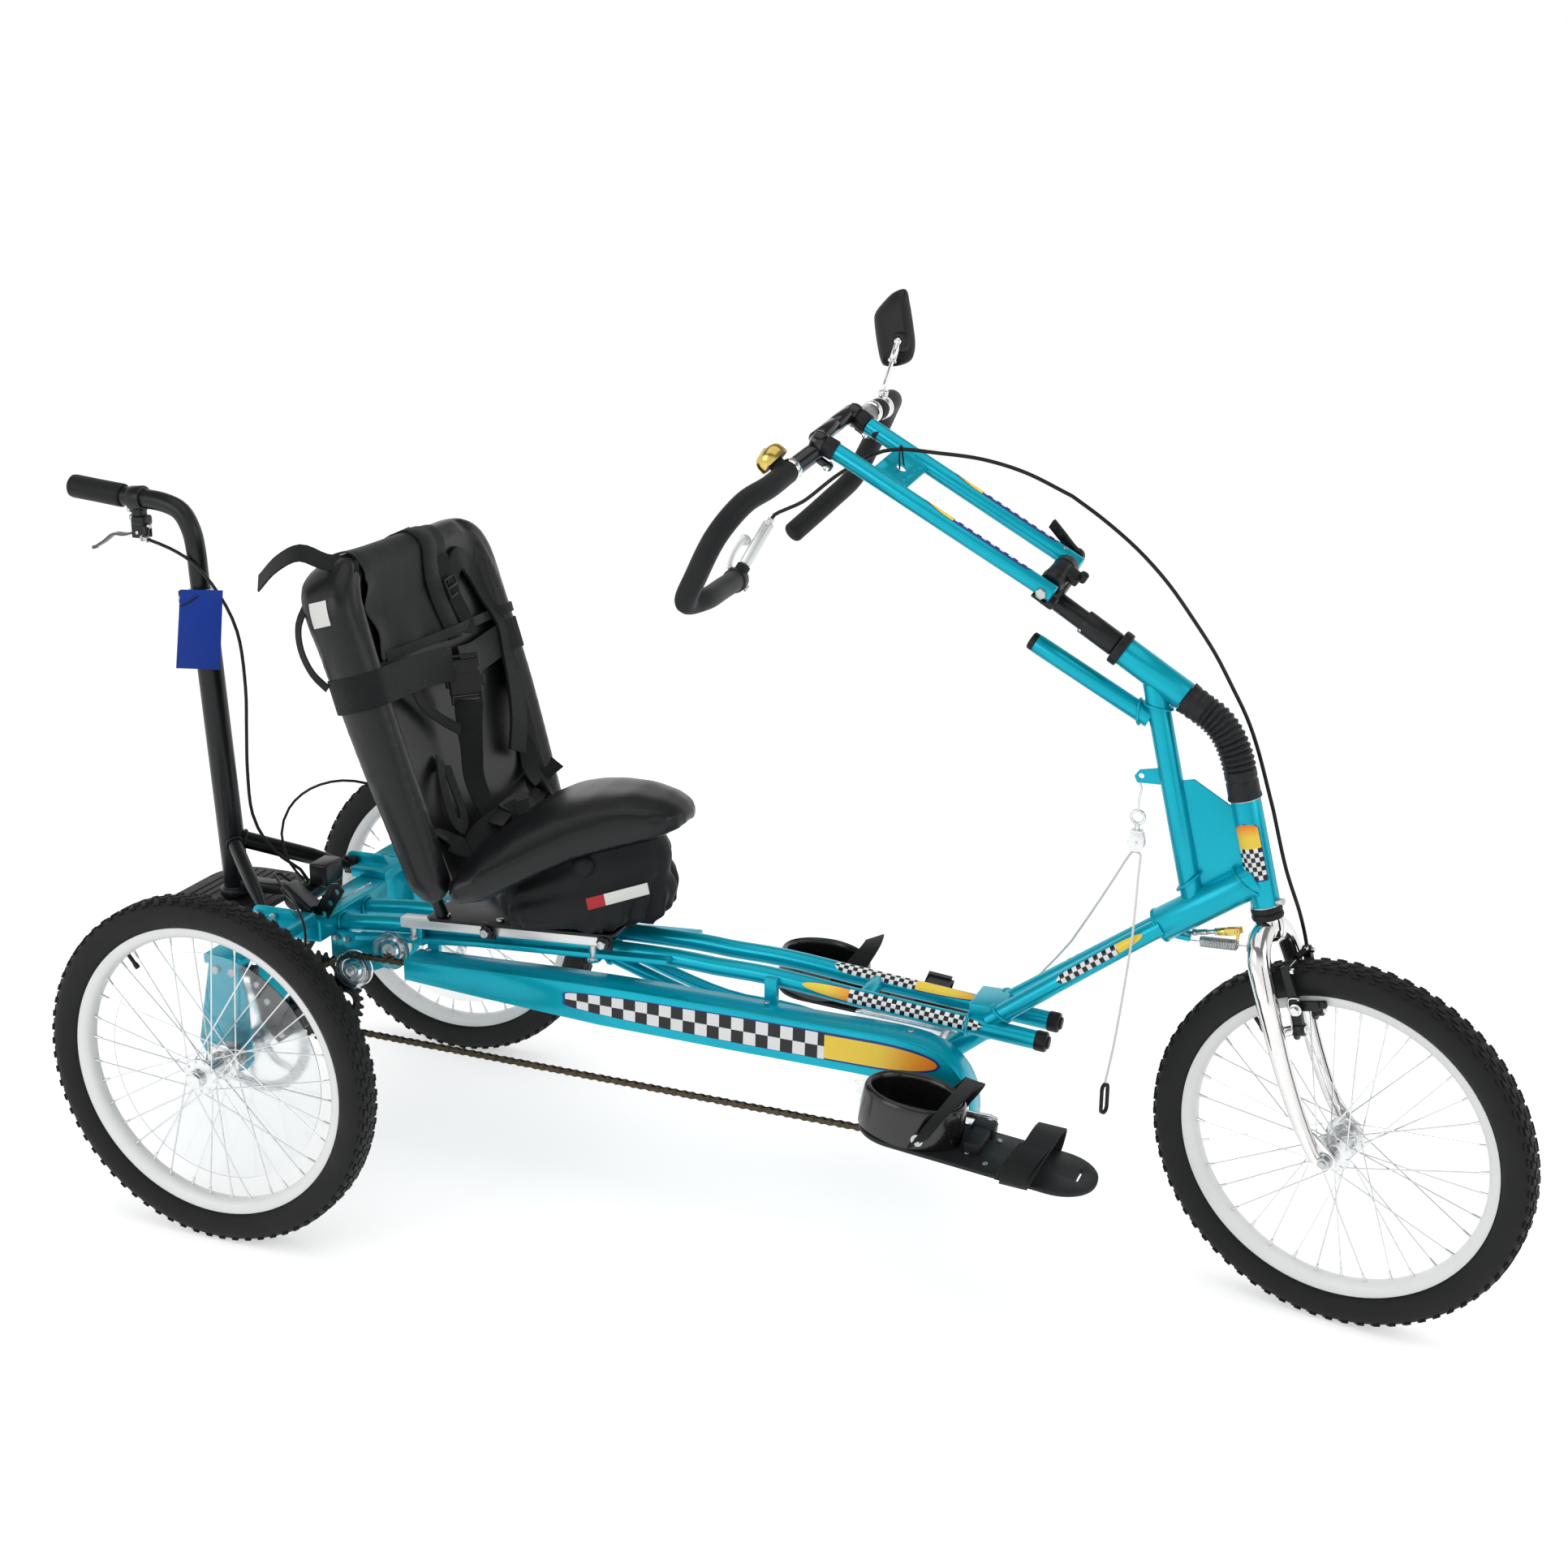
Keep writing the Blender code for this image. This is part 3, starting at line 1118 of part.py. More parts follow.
def make_footplate(label, side, crank):
    hinge = crank.matrix_local @ Matrix.Translation(pedal_offset(side))
    place = Matrix.Translation(hinge.translation) @ Matrix.Rotation(math.radians(FOOT_PITCH_DEG[label]), 4, "Y")
    foot = carrier(label + "_pedal_axis", place, TRIKE)
    corner = FOOTPLATE_HALF_WIDTH * 0.96
    half_length = (FOOTPLATE_LENGTH_BACK + FOOTPLATE_LENGTH_FRONT) / 2.0
    middle_x = (FOOTPLATE_LENGTH_FRONT - FOOTPLATE_LENGTH_BACK) / 2.0
    outline = rounded_rectangle(half_length, FOOTPLATE_HALF_WIDTH, corner, 6)
    centre_y = side * FOOTPLATE_CENTRE_Y
    sole = plate(outline, FOOTPLATE_THICKNESS, Matrix.Translation((middle_x, centre_y, -FOOTPLATE_DROP)))
    block_y = side * (FOOTPLATE_CENTRE_Y - FOOTPLATE_HALF_WIDTH + PEDAL_BLOCK[1] / 2.0 - 0.001)
    block = box(PEDAL_BLOCK, (0.0, block_y, 0.0))
    tunnel = box((PEDAL_BLOCK[0] * 0.8, 0.060, 0.020), (0.0, side * (FOOTPLATE_CENTRE_Y - 0.012), 0.0))
    tunnel_end = rod(
        (TOE_STRAP_X, centre_y - 0.050, -0.004), (TOE_STRAP_X, centre_y - 0.050, 0.001), 0.004, 8)
    bore_radius = outside(PEDAL_AXLE_RADIUS + RUNNING_GAP, 10)
    bore = rod((0.0, side * 0.10, 0.0), (0.0, side * (PEDAL_AXLE_END + 0.002), 0.0), bore_radius, 10)
    pieces = [sole, block, tunnel, tunnel_end]
    finish(joined(pieces, [bore]), label + "_footplate", "black_plastic", foot)
    outer = [(HEEL_CENTRE_X + HEEL_HALF[0] * x, HEEL_HALF[1] * y) for x, y in circle(1.0, 24)]
    inner = [
        (HEEL_CENTRE_X + (HEEL_HALF[0] - HEEL_WALL) * x, (HEEL_HALF[1] - HEEL_WALL) * y)
        for x, y in circle(1.0, 18)
    ]
    base = FOOTPLATE_THICKNESS / 2.0 - FOOTPLATE_DROP + RUNNING_GAP
    cup = plate(outer, HEEL_HEIGHT, Matrix.Translation((0.0, centre_y, base + HEEL_HEIGHT / 2.0)), [inner])
    finish(cup, label + "_heel_cup", "black_vinyl", foot)


# Seat
def back_frame():
    tilt = math.radians(BACK_RECLINE_DEG)
    up = Vector((-math.sin(tilt), 0.0, math.cos(tilt)))
    forward = Vector((math.cos(tilt), 0.0, math.sin(tilt)))
    return frame_from_axes(at_xz(BACK_FOOT), forward, (0.0, 1.0, 0.0), up)


def back_half_width(height):
    """Half width of the back, drawn in at its foot and round at its top corners."""
    waist = 0.94 + 0.06 * math.sin(math.pi * min(1.0, height / BACK_HEIGHT * 0.8))
    width = BACK_HALF_WIDTH * waist
    from_top = BACK_HEIGHT - height
    if from_top < BACK_CORNER:
        drop = BACK_CORNER - from_top
        width -= BACK_CORNER - math.sqrt(max(0.0, BACK_CORNER ** 2 - drop ** 2))
    if height < 0.03:
        width -= 0.5 * (0.03 - height)
    return width


def back_section(height, swell):
    """The back's outline at a height: rolls at the sides, a recessed panel between."""
    width = back_half_width(height)
    roll = BACK_ROLL_RADIUS * swell
    panel = (BACK_ROLL_RADIUS - BACK_PANEL_RECESS) * swell
    deep = BACK_EXTRA_DEPTH * height / BACK_HEIGHT * swell
    rear = (BACK_ROLL_RADIUS - BACK_PANEL_RECESS - BACK_PANEL_THICKNESS) * swell - deep
    half = [
        (0.0, panel - 0.004), (0.45 * (width - 2.0 * roll), panel - 0.003), (width - 2.35 * roll, panel),
        (width - 1.75 * roll, 0.72 * roll), (width - roll, roll), (width - 0.30 * roll, 0.72 * roll),
        (width, 0.0), (width - 0.25 * roll, -0.70 * roll - 0.8 * deep), (width - roll, -roll - deep),
        (0.5 * width, rear), (0.0, rear - 0.003),
    ]
    left = [(forward, side) for side, forward in half]
    right = [(forward, -side) for side, forward in reversed(half[1:-1])]
    return [(forward, side, height) for forward, side in left + right]


BACK_ROWS = [0.0, 0.016, 0.062, 0.206, 0.370, 0.535, 0.700, 0.844, 0.918, 0.963, 0.988, 1.0]
BACK_SWELLS = [0.50, 0.80, 1.0, 1.04, 1.05, 1.04, 1.02, 1.0, 0.97, 0.86, 0.66, 0.40]


def make_seat_back(seat):
    back = loft([back_section(row * BACK_HEIGHT, swell) for row, swell in zip(BACK_ROWS, BACK_SWELLS)])
    back.data.transform(back_frame())
    return finish(back, "seat_back", "black_vinyl", seat, 60.0)


def pan_section(station):
    x, width, middle, half_edge, crest = station
    flat = middle - half_edge
    half = [
        (0.0, middle + crest), (0.40 * width, middle + crest * 0.97), (0.72 * width, middle + crest * 0.72),
        (0.92 * width, middle + half_edge * 0.62), (width, middle + half_edge * 0.05),
        (0.955 * width, middle - half_edge * 0.72), (0.82 * width, flat), (0.0, flat + 0.002),
    ]
    left = [(x, y, z) for y, z in half]
    right = [(x, -y, z) for y, z in reversed(half[1:-1])]
    return left + right


def make_seat_pan(seat):
    pan = loft([pan_section(station) for station in PAN_STATIONS])
    return finish(pan, "seat_pan", "black_vinyl", seat, 60.0)


SKIRT_LEVELS = [
    (0.0, 0.312, 0.518, 0.120, 0.056),
    (0.30, 0.300, 0.530, 0.132, 0.066),
    (0.62, 0.300, 0.536, 0.138, 0.072),
    (0.85, 0.304, 0.528, 0.134, 0.070),
    (1.0, 0.310, 0.505, 0.128, 0.062),
]
SKIRT_COLUMNS = 28


def skirt_top(x):
    """Height of the skirt's upper edge, just under the pan."""
    for (x0, _, middle0, half0, _), (x1, _, middle1, half1, _) in zip(PAN_STATIONS, PAN_STATIONS[1:]):
        if x <= x1:
            share = max(0.0, (x - x0) / (x1 - x0))
            return middle0 - half0 + share * ((middle1 - half1) - (middle0 - half0)) - SKIRT_TOP_GAP
    return PAN_STATIONS[-1][2] - 0.012


def skirt_ring(level, inset):
    fall, rear, front, rear_width, front_width = level
    points = []
    for index in range(SKIRT_COLUMNS):
        angle = math.tau * index / SKIRT_COLUMNS
        along = (1.0 + math.cos(angle)) / 2.0
        width = rear_width + (front_width - rear_width) * along
        fold = SKIRT_FOLD * fall * math.cos(SKIRT_FOLDS * angle)
        reach = 1.0 + (fold - inset) / max(0.05, width)
        half_length = (front - rear) / 2.0
        x = (rear + front) / 2.0 + half_length * super_cos(angle) * reach
        y = width * super_sin(angle) * reach
        top = skirt_top(x)
        points.append((x, y, top + (SKIRT_HEM_Z - top) * fall))
    return points


def super_cos(angle):
    value = math.cos(angle)
    return math.copysign(abs(value) ** 0.75, value)


def super_sin(angle):
    value = math.sin(angle)
    return math.copysign(abs(value) ** 0.75, value)


def make_seat_skirt(seat):
    outer = [skirt_ring(level, 0.0) for level in SKIRT_LEVELS]
    inner = [skirt_ring(level, SKIRT_WALL) for level in reversed(SKIRT_LEVELS)]
    band = loft(outer + inner + [outer[0]], closed_ends=False)
    work = bmesh.new()
    work.from_mesh(band.data)
    bpy.data.objects.remove(band, do_unlink=True)
    bmesh.ops.remove_doubles(work, verts=work.verts, dist=0.000002)
    return finish(from_bmesh(work), "seat_skirt", "black_vinyl", seat, 60.0)


def along_seat_rail(share_x, lift=0.0, y=0.0):
    """A point over the seat rails, share_x metres ahead of their rear end."""
    slope = rail_slope()
    x = SEAT_RAIL_REAR[0] + share_x
    return Vector((x - lift * math.sin(slope), y, seat_rail_height(x) + lift * math.cos(slope)))


def rail_slope():
    rise = SEAT_RAIL_FRONT[1] - SEAT_RAIL_REAR[1]
    return math.atan2(rise, SEAT_RAIL_FRONT[0] - SEAT_RAIL_REAR[0])


def make_seat_rails():
    for label, side in both_sides():
        y = side * SEAT_RAIL_Y
        rail = bar(at_xz(SEAT_RAIL_REAR, y), at_xz(SEAT_RAIL_FRONT, y), SEAT_RAIL_WIDTH, SEAT_RAIL_HEIGHT)
        finish(rail, "seat_rail_" + label, "aluminium", TRIKE)


SEAT_LEG_X = (0.345, 0.425)
BACK_POST_Y = 0.110
BACK_POST_RADIUS = 0.009
BACK_POST_LOW = 0.070
BACK_POST_HIGH = 0.390


def make_seat_frame(seat):
    """The base plate on the rails, the pan's two supports and the back's two posts."""
    lift = SEAT_RAIL_HEIGHT / 2.0 + RUNNING_GAP + SEAT_BASE_THICKNESS / 2.0
    start = along_seat_rail(SEAT_BASE_START, lift)
    end = along_seat_rail(SEAT_BASE_START + SEAT_BASE_LENGTH, lift)
    pieces = [bar(start, end, 2.0 * SEAT_BASE_HALF_WIDTH, SEAT_BASE_THICKNESS)]
    for x in SEAT_LEG_X:
        foot = Vector((x, 0.0, seat_rail_height(x) + lift))
        head = Vector((x, 0.0, pan_underside(x) - 0.0028))
        pieces.append(bar(foot, head, 0.060, 0.012))
    shelf_start = Vector((SEAT_LEG_X[0] - 0.010, 0.0, pan_underside(SEAT_LEG_X[0] - 0.010) - 0.0028))
    shelf_end = Vector((SEAT_LEG_X[1] + 0.010, 0.0, pan_underside(SEAT_LEG_X[1] + 0.010) - 0.0028))
    pieces.append(bar(shelf_start, shelf_end, 0.120, 0.005))
    frame = back_frame()
    for _, side in both_sides():
        low = frame @ Vector((post_behind(BACK_POST_LOW), side * BACK_POST_Y, BACK_POST_LOW))
        high = frame @ Vector((post_behind(BACK_POST_HIGH), side * BACK_POST_Y, BACK_POST_HIGH))
        base_x = low.x + 0.006
        base = Vector((base_x, side * 0.066, seat_rail_height(base_x) + lift + 0.004))
        pieces.append(tube([base, low, high], BACK_POST_RADIUS, 8))
    bridge_height = BACK_POST_HIGH - 0.015
    bridge_at = post_behind(bridge_height) - 0.0020
    bridge_ends = [frame @ Vector((bridge_at, side * BACK_POST_Y, bridge_height)) for _, side in both_sides()]
    pieces.append(rod(*bridge_ends, 0.006, 8))
    tab_y = SEAT_RAIL_Y + SEAT_RAIL_WIDTH / 2.0 + CLEARANCE + 0.003
    for _, side in both_sides():
        for distance in (SEAT_BASE_START + 0.100, SEAT_BASE_START + SEAT_BASE_LENGTH - 0.014):
            top = along_seat_rail(distance, lift)
            centre = Vector((top.x, side * tab_y, top.z - 0.010))
            pieces.append(box((0.022, 0.006, 0.022), centre))
            knob_start = centre + Vector((0.0, side * 0.002, -0.001))
            knob_end = centre + Vector((0.0, side * 0.016, -0.001))
            pieces.append(rod(knob_start, knob_end, SEAT_KNOB_RADIUS, 8))
    return finish(joined(pieces), "seat_frame", "black_paint", seat)


def rear_of_back(height):
    """How far the back's rear face stands, measured forward from its plane."""
    deep = BACK_EXTRA_DEPTH * height / BACK_HEIGHT
    recessed = BACK_ROLL_RADIUS - BACK_PANEL_RECESS - BACK_PANEL_THICKNESS
    return (recessed - deep) * back_swell(height / BACK_HEIGHT)


def post_behind(height):
    """Where a post's axis runs so that it all but touches the back's rear face."""
    lean = math.cos(math.atan(BACK_EXTRA_DEPTH / BACK_HEIGHT))
    return rear_of_back(height) - (BACK_POST_RADIUS + 4.0 * CLEARANCE) / lean


def pan_underside(x):
    return skirt_top(x) + SKIRT_TOP_GAP


def back_front_line(height):
    """The back's front surface at a height, as (side, forward) from mid-roll to mid-roll."""
    share = height / BACK_HEIGHT
    section = back_section(height, back_swell(share))
    left = [(side, forward) for forward, side, _ in section[:8]]
    return [(-side, forward) for side, forward in reversed(left[1:])] + left


def back_swell(share):
    for (at0, swell0), (at1, swell1) in zip(zip(BACK_ROWS, BACK_SWELLS), zip(BACK_ROWS[1:], BACK_SWELLS[1:])):
        if share <= at1:
            return swell0 + (share - at0) / (at1 - at0) * (swell1 - swell0)
    return BACK_SWELLS[-1]


def front_of_back(side, height):
    """How far the back's front face stands forward at a place on it."""
    line = back_front_line(height)
    for (side0, rise0), (side1, rise1) in zip(line, line[1:]):
        if side0 <= side <= side1:
            return rise0 + (side - side0) / (side1 - side0) * (rise1 - rise0)
    return 0.0


def belt_points(path, offset):
    """Points on the front of the back, from (side, height) pairs."""
    frame = back_frame()
    return [frame @ Vector((front_of_back(side, height) + offset, side, height)) for side, height in path]


def lifted_line(line, offset):
    """A line of (side, forward) points moved outwards by offset."""
    lifted = []
    for index, here in enumerate(line):
        before = Vector(line[max(0, index - 1)])
        after = Vector(line[min(len(line) - 1, index + 1)])
        first = (Vector(here) - before).normalized() if index else (after - Vector(here)).normalized()
        second = (after - Vector(here)).normalized() if index < len(line) - 1 else first
        normal = Vector((-(first.y + second.y), first.x + second.x)).normalized()
        stretch = 1.0 / max(0.4, normal.dot(Vector((-first.y, first.x))))
        lifted.append(Vector(here) + normal * offset * stretch)
    return lifted


def strap(points, across, thickness):
    """A flat webbing strap through points; across holds its half width vector at each."""
    rings = []
    count = len(points)
    for index in range(count):
        before = points[max(0, index - 1)]
        after = points[min(count - 1, index + 1)]
        along = (after - before).normalized()
        half = across[index]
        normal = along.cross(half).normalized() * (thickness / 2.0)
        here = points[index]
        rings.append([here - half - normal, here + half - normal, here + half + normal, here - half + normal])
    return loft(rings)


CHEST_BELT_HEIGHT = 0.303
CHEST_BELT_HALF = 0.024
STRAP_THICKNESS = 0.003
STRAP_OFFSET = 0.0023
SHOULDER_STRAP_SIDE = 0.045
SHOULDER_STRAP_HALF = 0.019


def make_harness(seat):
    frame = back_frame()
    up = frame.to_3x3() @ Vector((0.0, 0.0, CHEST_BELT_HALF))
    line = lifted_line(back_front_line(CHEST_BELT_HEIGHT), STRAP_OFFSET)
    points = [frame @ Vector((forward, side, CHEST_BELT_HEIGHT)) for side, forward in line]
    belt = strap(points, [up] * len(points), STRAP_THICKNESS)
    finish(belt, "chest_belt", "black_webbing", seat)
    pieces = []
    heights = [row * BACK_HEIGHT for row in (0.963, 0.918, 0.844, 0.760, 0.692)]
    for _, side in both_sides():
        across = frame.to_3x3() @ Vector((0.0, SHOULDER_STRAP_HALF, 0.0))
        path = [(side * SHOULDER_STRAP_SIDE, height) for height in heights]
        points = belt_points(path, STRAP_OFFSET)
        pieces.append(strap(points, [across] * len(points), STRAP_THICKNESS))
    cross = belt_points([(-SHOULDER_STRAP_SIDE, 0.344), (SHOULDER_STRAP_SIDE, 0.344)], STRAP_OFFSET + 0.001)
    up_short = frame.to_3x3() @ Vector((0.0, 0.0, 0.012))
    pieces.append(strap(cross, [up_short] * 2, STRAP_THICKNESS))
    finish(joined(pieces), "shoulder_straps", "black_webbing", seat)
    buckle_at = frame @ Vector((front_of_back(0.0, CHEST_BELT_HEIGHT) + STRAP_OFFSET + 0.0088, 0.0, 0.272))
    turn = frame.to_3x3().to_4x4()
    buckle = box((0.013, 0.044, 0.066), buckle_at, turn)
    finish(buckle, "harness_buckle", "black_plastic", seat)


def make_seat():
    seat = carrier("seat_slide", Matrix.Identity(4), TRIKE)
    make_seat_frame(seat)
    make_seat_back(seat)
    make_seat_pan(seat)
    make_seat_skirt(seat)
    make_harness(seat)


# Rear platform and push handle
def make_rear_platform():
    outline = rounded_rectangle(*PLATFORM_HALF, PLATFORM_CORNER, 5)
    matrix = Matrix.Translation((PLATFORM_CENTRE_X, 0.0, PLATFORM_TOP_Z - PLATFORM_THICKNESS / 2.0))
    top = plate(outline, PLATFORM_THICKNESS, matrix)
    return finish(top, "rear_platform", "black_plastic", TRIKE)


def post_axis():
    return (at_xz(POST_HEAD) - at_xz(POST_FOOT)).normalized()


SOCKET_X = -0.058
SOCKET_Z = 0.382
BRACE_RADIUS = 0.0110
BRACE_END = (-0.0560, 0.3860)
BRACE_TAB = (0.0200, 0.0100, 0.0260)


def make_push_post():
    """The lower post with its two braces, forward arm and cross socket."""
    foot = at_xz(POST_FOOT)
    head = at_xz(POST_HEAD)
    up = post_axis()
    brace_top = foot.lerp(head, 0.190)
    pieces = [
        rod(foot, head, POST_RADIUS, 10),
        rod(foot - up * 0.0042, foot + up * POST_RING_HEIGHT, POST_RING_RADIUS, 10),
        rod((SOCKET_X, -0.040, SOCKET_Z), (SOCKET_X, 0.040, SOCKET_Z), 0.016, 12),
        bar((POST_FOOT[0], 0.0, SOCKET_Z), (SOCKET_X, 0.0, SOCKET_Z), 0.024, 0.016),
    ]
    foot_end_y = LUG_Y - BRACKET_PLATE / 2.0 - RUNNING_GAP
    for _, side in both_sides():
        end = Vector((*BRACE_END, side * (foot_end_y - BRACE_RADIUS))).xzy
        pieces.append(rod(brace_top, end, BRACE_RADIUS, 8))
        pieces.append(box(BRACE_TAB, (end.x, side * (foot_end_y - BRACE_TAB[1] / 2.0), end.z)))
    bore_start = head - up * (PUSH_TUBE_INSERT + 0.045)
    bore = rod(bore_start, head + up * 0.02, outside(POST_BORE, 12), 12)
    return finish(joined(pieces, [bore]), "push_handle_post", "black_paint", TRIKE)


def make_push_handle():
    slide = carrier("push_slide", Matrix.Identity(4), TRIKE)
    up = post_axis()
    low = at_xz(POST_HEAD) - up * PUSH_TUBE_INSERT
    knee = at_xz(POST_HEAD) + up * 0.030
    bend = smooth_route([knee, *[at_xz(point) for point in PUSH_ROUTE]], 0.026)
    clamp_at = at_xz(PUSH_ROUTE[-1]).lerp(at_xz(PUSH_ROUTE[-2]), 0.30)
    pivot = at_xz(PUSH_LEVER_PIVOT)
    pieces = [
        tube([low, *bend, at_xz(PUSH_END)], PUSH_TUBE_RADIUS, 10),
        rod(clamp_at + Vector((-0.011, 0.0, 0.0)), clamp_at + Vector((0.011, 0.0, 0.001)), 0.0185, 12),
        bar(clamp_at + Vector((0.0, 0.0, -0.014)), pivot + Vector((0.0, 0.0, 0.0090)), 0.019, 0.018),
    ]
    for _, side in both_sides():
        cheek = Vector((0.0, side * (PUSH_HUB_HALF + CLEARANCE + 0.0015), 0.0))
        pieces.append(bar(pivot + cheek + Vector((0.0, 0.0, 0.014)), pivot + cheek - Vector((0.0, 0.0, 0.005)), 0.003, 0.014))
    cable_start = Vector(PUSH_CABLE_ROUTE[0])
    cable_along = (Vector(PUSH_CABLE_ROUTE[1]) - cable_start).normalized()
    socket_start = cable_start - cable_along * 0.0090
    pieces.append(rod(pivot + Vector((0.0085, -0.0040, 0.016)), socket_start, 0.0036, 6))
    pieces.append(rod(socket_start - cable_along * 0.002, cable_start - cable_along * RUNNING_GAP, 0.0042, 8))
    finish(joined(pieces), "push_handle_tube", "black_paint", slide)
    grip_start = at_xz(PUSH_ROUTE[-1]).lerp(at_xz(PUSH_END), 0.06)
    grip_end = at_xz(PUSH_END) + (at_xz(PUSH_END) - at_xz(PUSH_ROUTE[-1])).normalized() * 0.006
    along = (grip_end - grip_start).normalized()
    bore_end = at_xz(PUSH_END) + along * RUNNING_GAP
    sleeve = rod(grip_start, grip_end, PUSH_GRIP_RADIUS, 14)
    bore = rod(grip_start - along * 0.02, bore_end, outside(PUSH_TUBE_RADIUS + RUNNING_GAP, 12), 12)
    finish(joined([sleeve], [bore]), "push_grip", "foam_grip", slide)
    lever_axis = carrier("push_lever_axis", Matrix.Translation(pivot), slide)
    tip = at_xz(PUSH_LEVER_TIP) - pivot
    knee_at = Vector((-0.046, 0.0, -0.006))
    lever = joined([
        rod((0.0, -PUSH_HUB_HALF, 0.0), (0.0, PUSH_HUB_HALF, 0.0), 0.0060, 10),
        bar((0.0, 0.0, 0.0), knee_at, 0.0110, 0.007),
        bar(knee_at.lerp(Vector((0.0, 0.0, 0.0)), 0.06), tip, 0.0105, 0.006),
    ])
    finish(lever, "push_brake_lever", "aluminium", lever_axis)


# Steering
def make_fork():
    pieces = [
        rod((0.0, 0.0, -0.030), (0.0, 0.0, HEAD_LENGTH + 0.006), STEERER_RADIUS, 12),
        rod((0.0, 0.0, -0.0160), (0.0, 0.0, -RUNNING_GAP), 0.020, 12),
        rod((0.0, 0.0, HEAD_LENGTH), (0.0, 0.0, steering_joint_height() - 0.0075), STEERER_NECK_RADIUS, 10),
    ]
    cutters = []
    for _, side in both_sides():
        leg = [
            (-0.003, side * 0.006, -0.026), (-0.004, side * 0.026, -0.033), (-0.003, side * 0.043, -0.050),
            (0.0, side * FORK_HALF_WIDTH, -0.091), (0.002, side * FORK_HALF_WIDTH, -0.150),
            (0.006, side * FORK_HALF_WIDTH, -0.214), (0.014, side * FORK_HALF_WIDTH, -0.275),
            (0.024, side * FORK_HALF_WIDTH, -0.318),
        ]
        pieces.append(tube(leg, 0.0145, 8, [0.0145, 0.0145, 0.0145, 0.0140, 0.0125, 0.0108, 0.0096, 0.0088]))
        inner = side * DROPOUT_INNER
        outer = side * (DROPOUT_INNER + DROPOUT_THICKNESS)
        outline = [
            (0.013, -0.290), (0.026, -0.286), (0.046, -AXLE_DROP + 0.006), (0.048, -AXLE_DROP - 0.004),
            (0.040, -AXLE_DROP - 0.012), (0.030, -AXLE_DROP - 0.010), (0.016, -0.318),
        ]
        hole = circle(outside(FRONT_AXLE_RADIUS + RUNNING_GAP, 10), 10, (AXLE_FORWARD, -AXLE_DROP))
        pieces.append(upright_plate(outline, DROPOUT_THICKNESS, (inner + outer) / 2.0, [hole]))
        boss_end = (BRAKE_PIVOT[0] - 0.0080, side * (BRAKE_PIVOT[1] + 0.004), BRAKE_PIVOT[2])
        pieces.append(rod((0.002, side * 0.049, BRAKE_PIVOT[2]), boss_end, 0.0065, 8))
    return finish(joined(pieces, cutters), "fork", "chrome", STEERING)


def steering_joint_height():
    """How far the column's joint lies above the foot of the head tube."""
    return (at_xz(JOINT_CENTRE) - at_xz(HEAD_FOOT)).dot(HEAD_UP)


def make_front_axle():
    centre = (AXLE_FORWARD, -AXLE_DROP)
    outer = DROPOUT_INNER + DROPOUT_THICKNESS + CLEARANCE
    pieces = [rod(at_xz(centre, -outer - 0.012), at_xz(centre, outer + 0.012), FRONT_AXLE_RADIUS, 10)]
    for _, side in both_sides():
        pieces.append(rod(at_xz(centre, side * outer), at_xz(centre, side * (outer + 0.008)), 0.0095, 6))
    return finish(joined(pieces), "front_axle", "steel", STEERING)


def make_front_wheel():
    lean = math.atan2(HEAD_UP.x, HEAD_UP.z)
    place = Matrix.Translation((AXLE_FORWARD, 0.0, -AXLE_DROP)) @ Matrix.Rotation(-lean, 4, "Y")
    hub = carrier("front_hub", place, STEERING)
    make_tyre("front_tyre", hub)
    bore = FRONT_AXLE_RADIUS + RUNNING_GAP
    make_wheel("front_wheel", hub, bore, FRONT_HUB_HALF_LENGTH, FRONT_HUB_HALF_LENGTH)


def make_brake_arm(label, side):
    """A V-brake arm with its pad, hung on the fork's boss."""
    forward, spread, height = BRAKE_PIVOT
    pivot = Vector((forward, side * spread, height))
    arm_axis = carrier("brake_pivot_" + label, Matrix.Translation(pivot), STEERING)
    top = Vector((0.0, side * 0.004, 0.082))
    pad_z = BRAKE_PAD_DROP - height
    pad_x = AXLE_FORWARD + 0.003 - forward
    pad_face = side * (BRAKE_PAD_INNER - spread)
    pad_back = pad_face + side * 0.010
    pieces = [
        rod((-0.0050, 0.0, 0.0), (0.0065, 0.0, 0.0), 0.0085, 10),
        bar((0.0, 0.0, 0.0), top, 0.011, 0.010, (1.0, 0.0, 0.0)),
        box((0.050, 0.010, 0.010), (pad_x, (pad_face + pad_back) / 2.0, pad_z)),
        rod((0.003, pad_back - side * 0.002, pad_z), (0.003, side * 0.006, pad_z), 0.0035, 8),
    ]
    return finish(joined(pieces), "brake_arm_" + label, "black_paint", arm_axis)


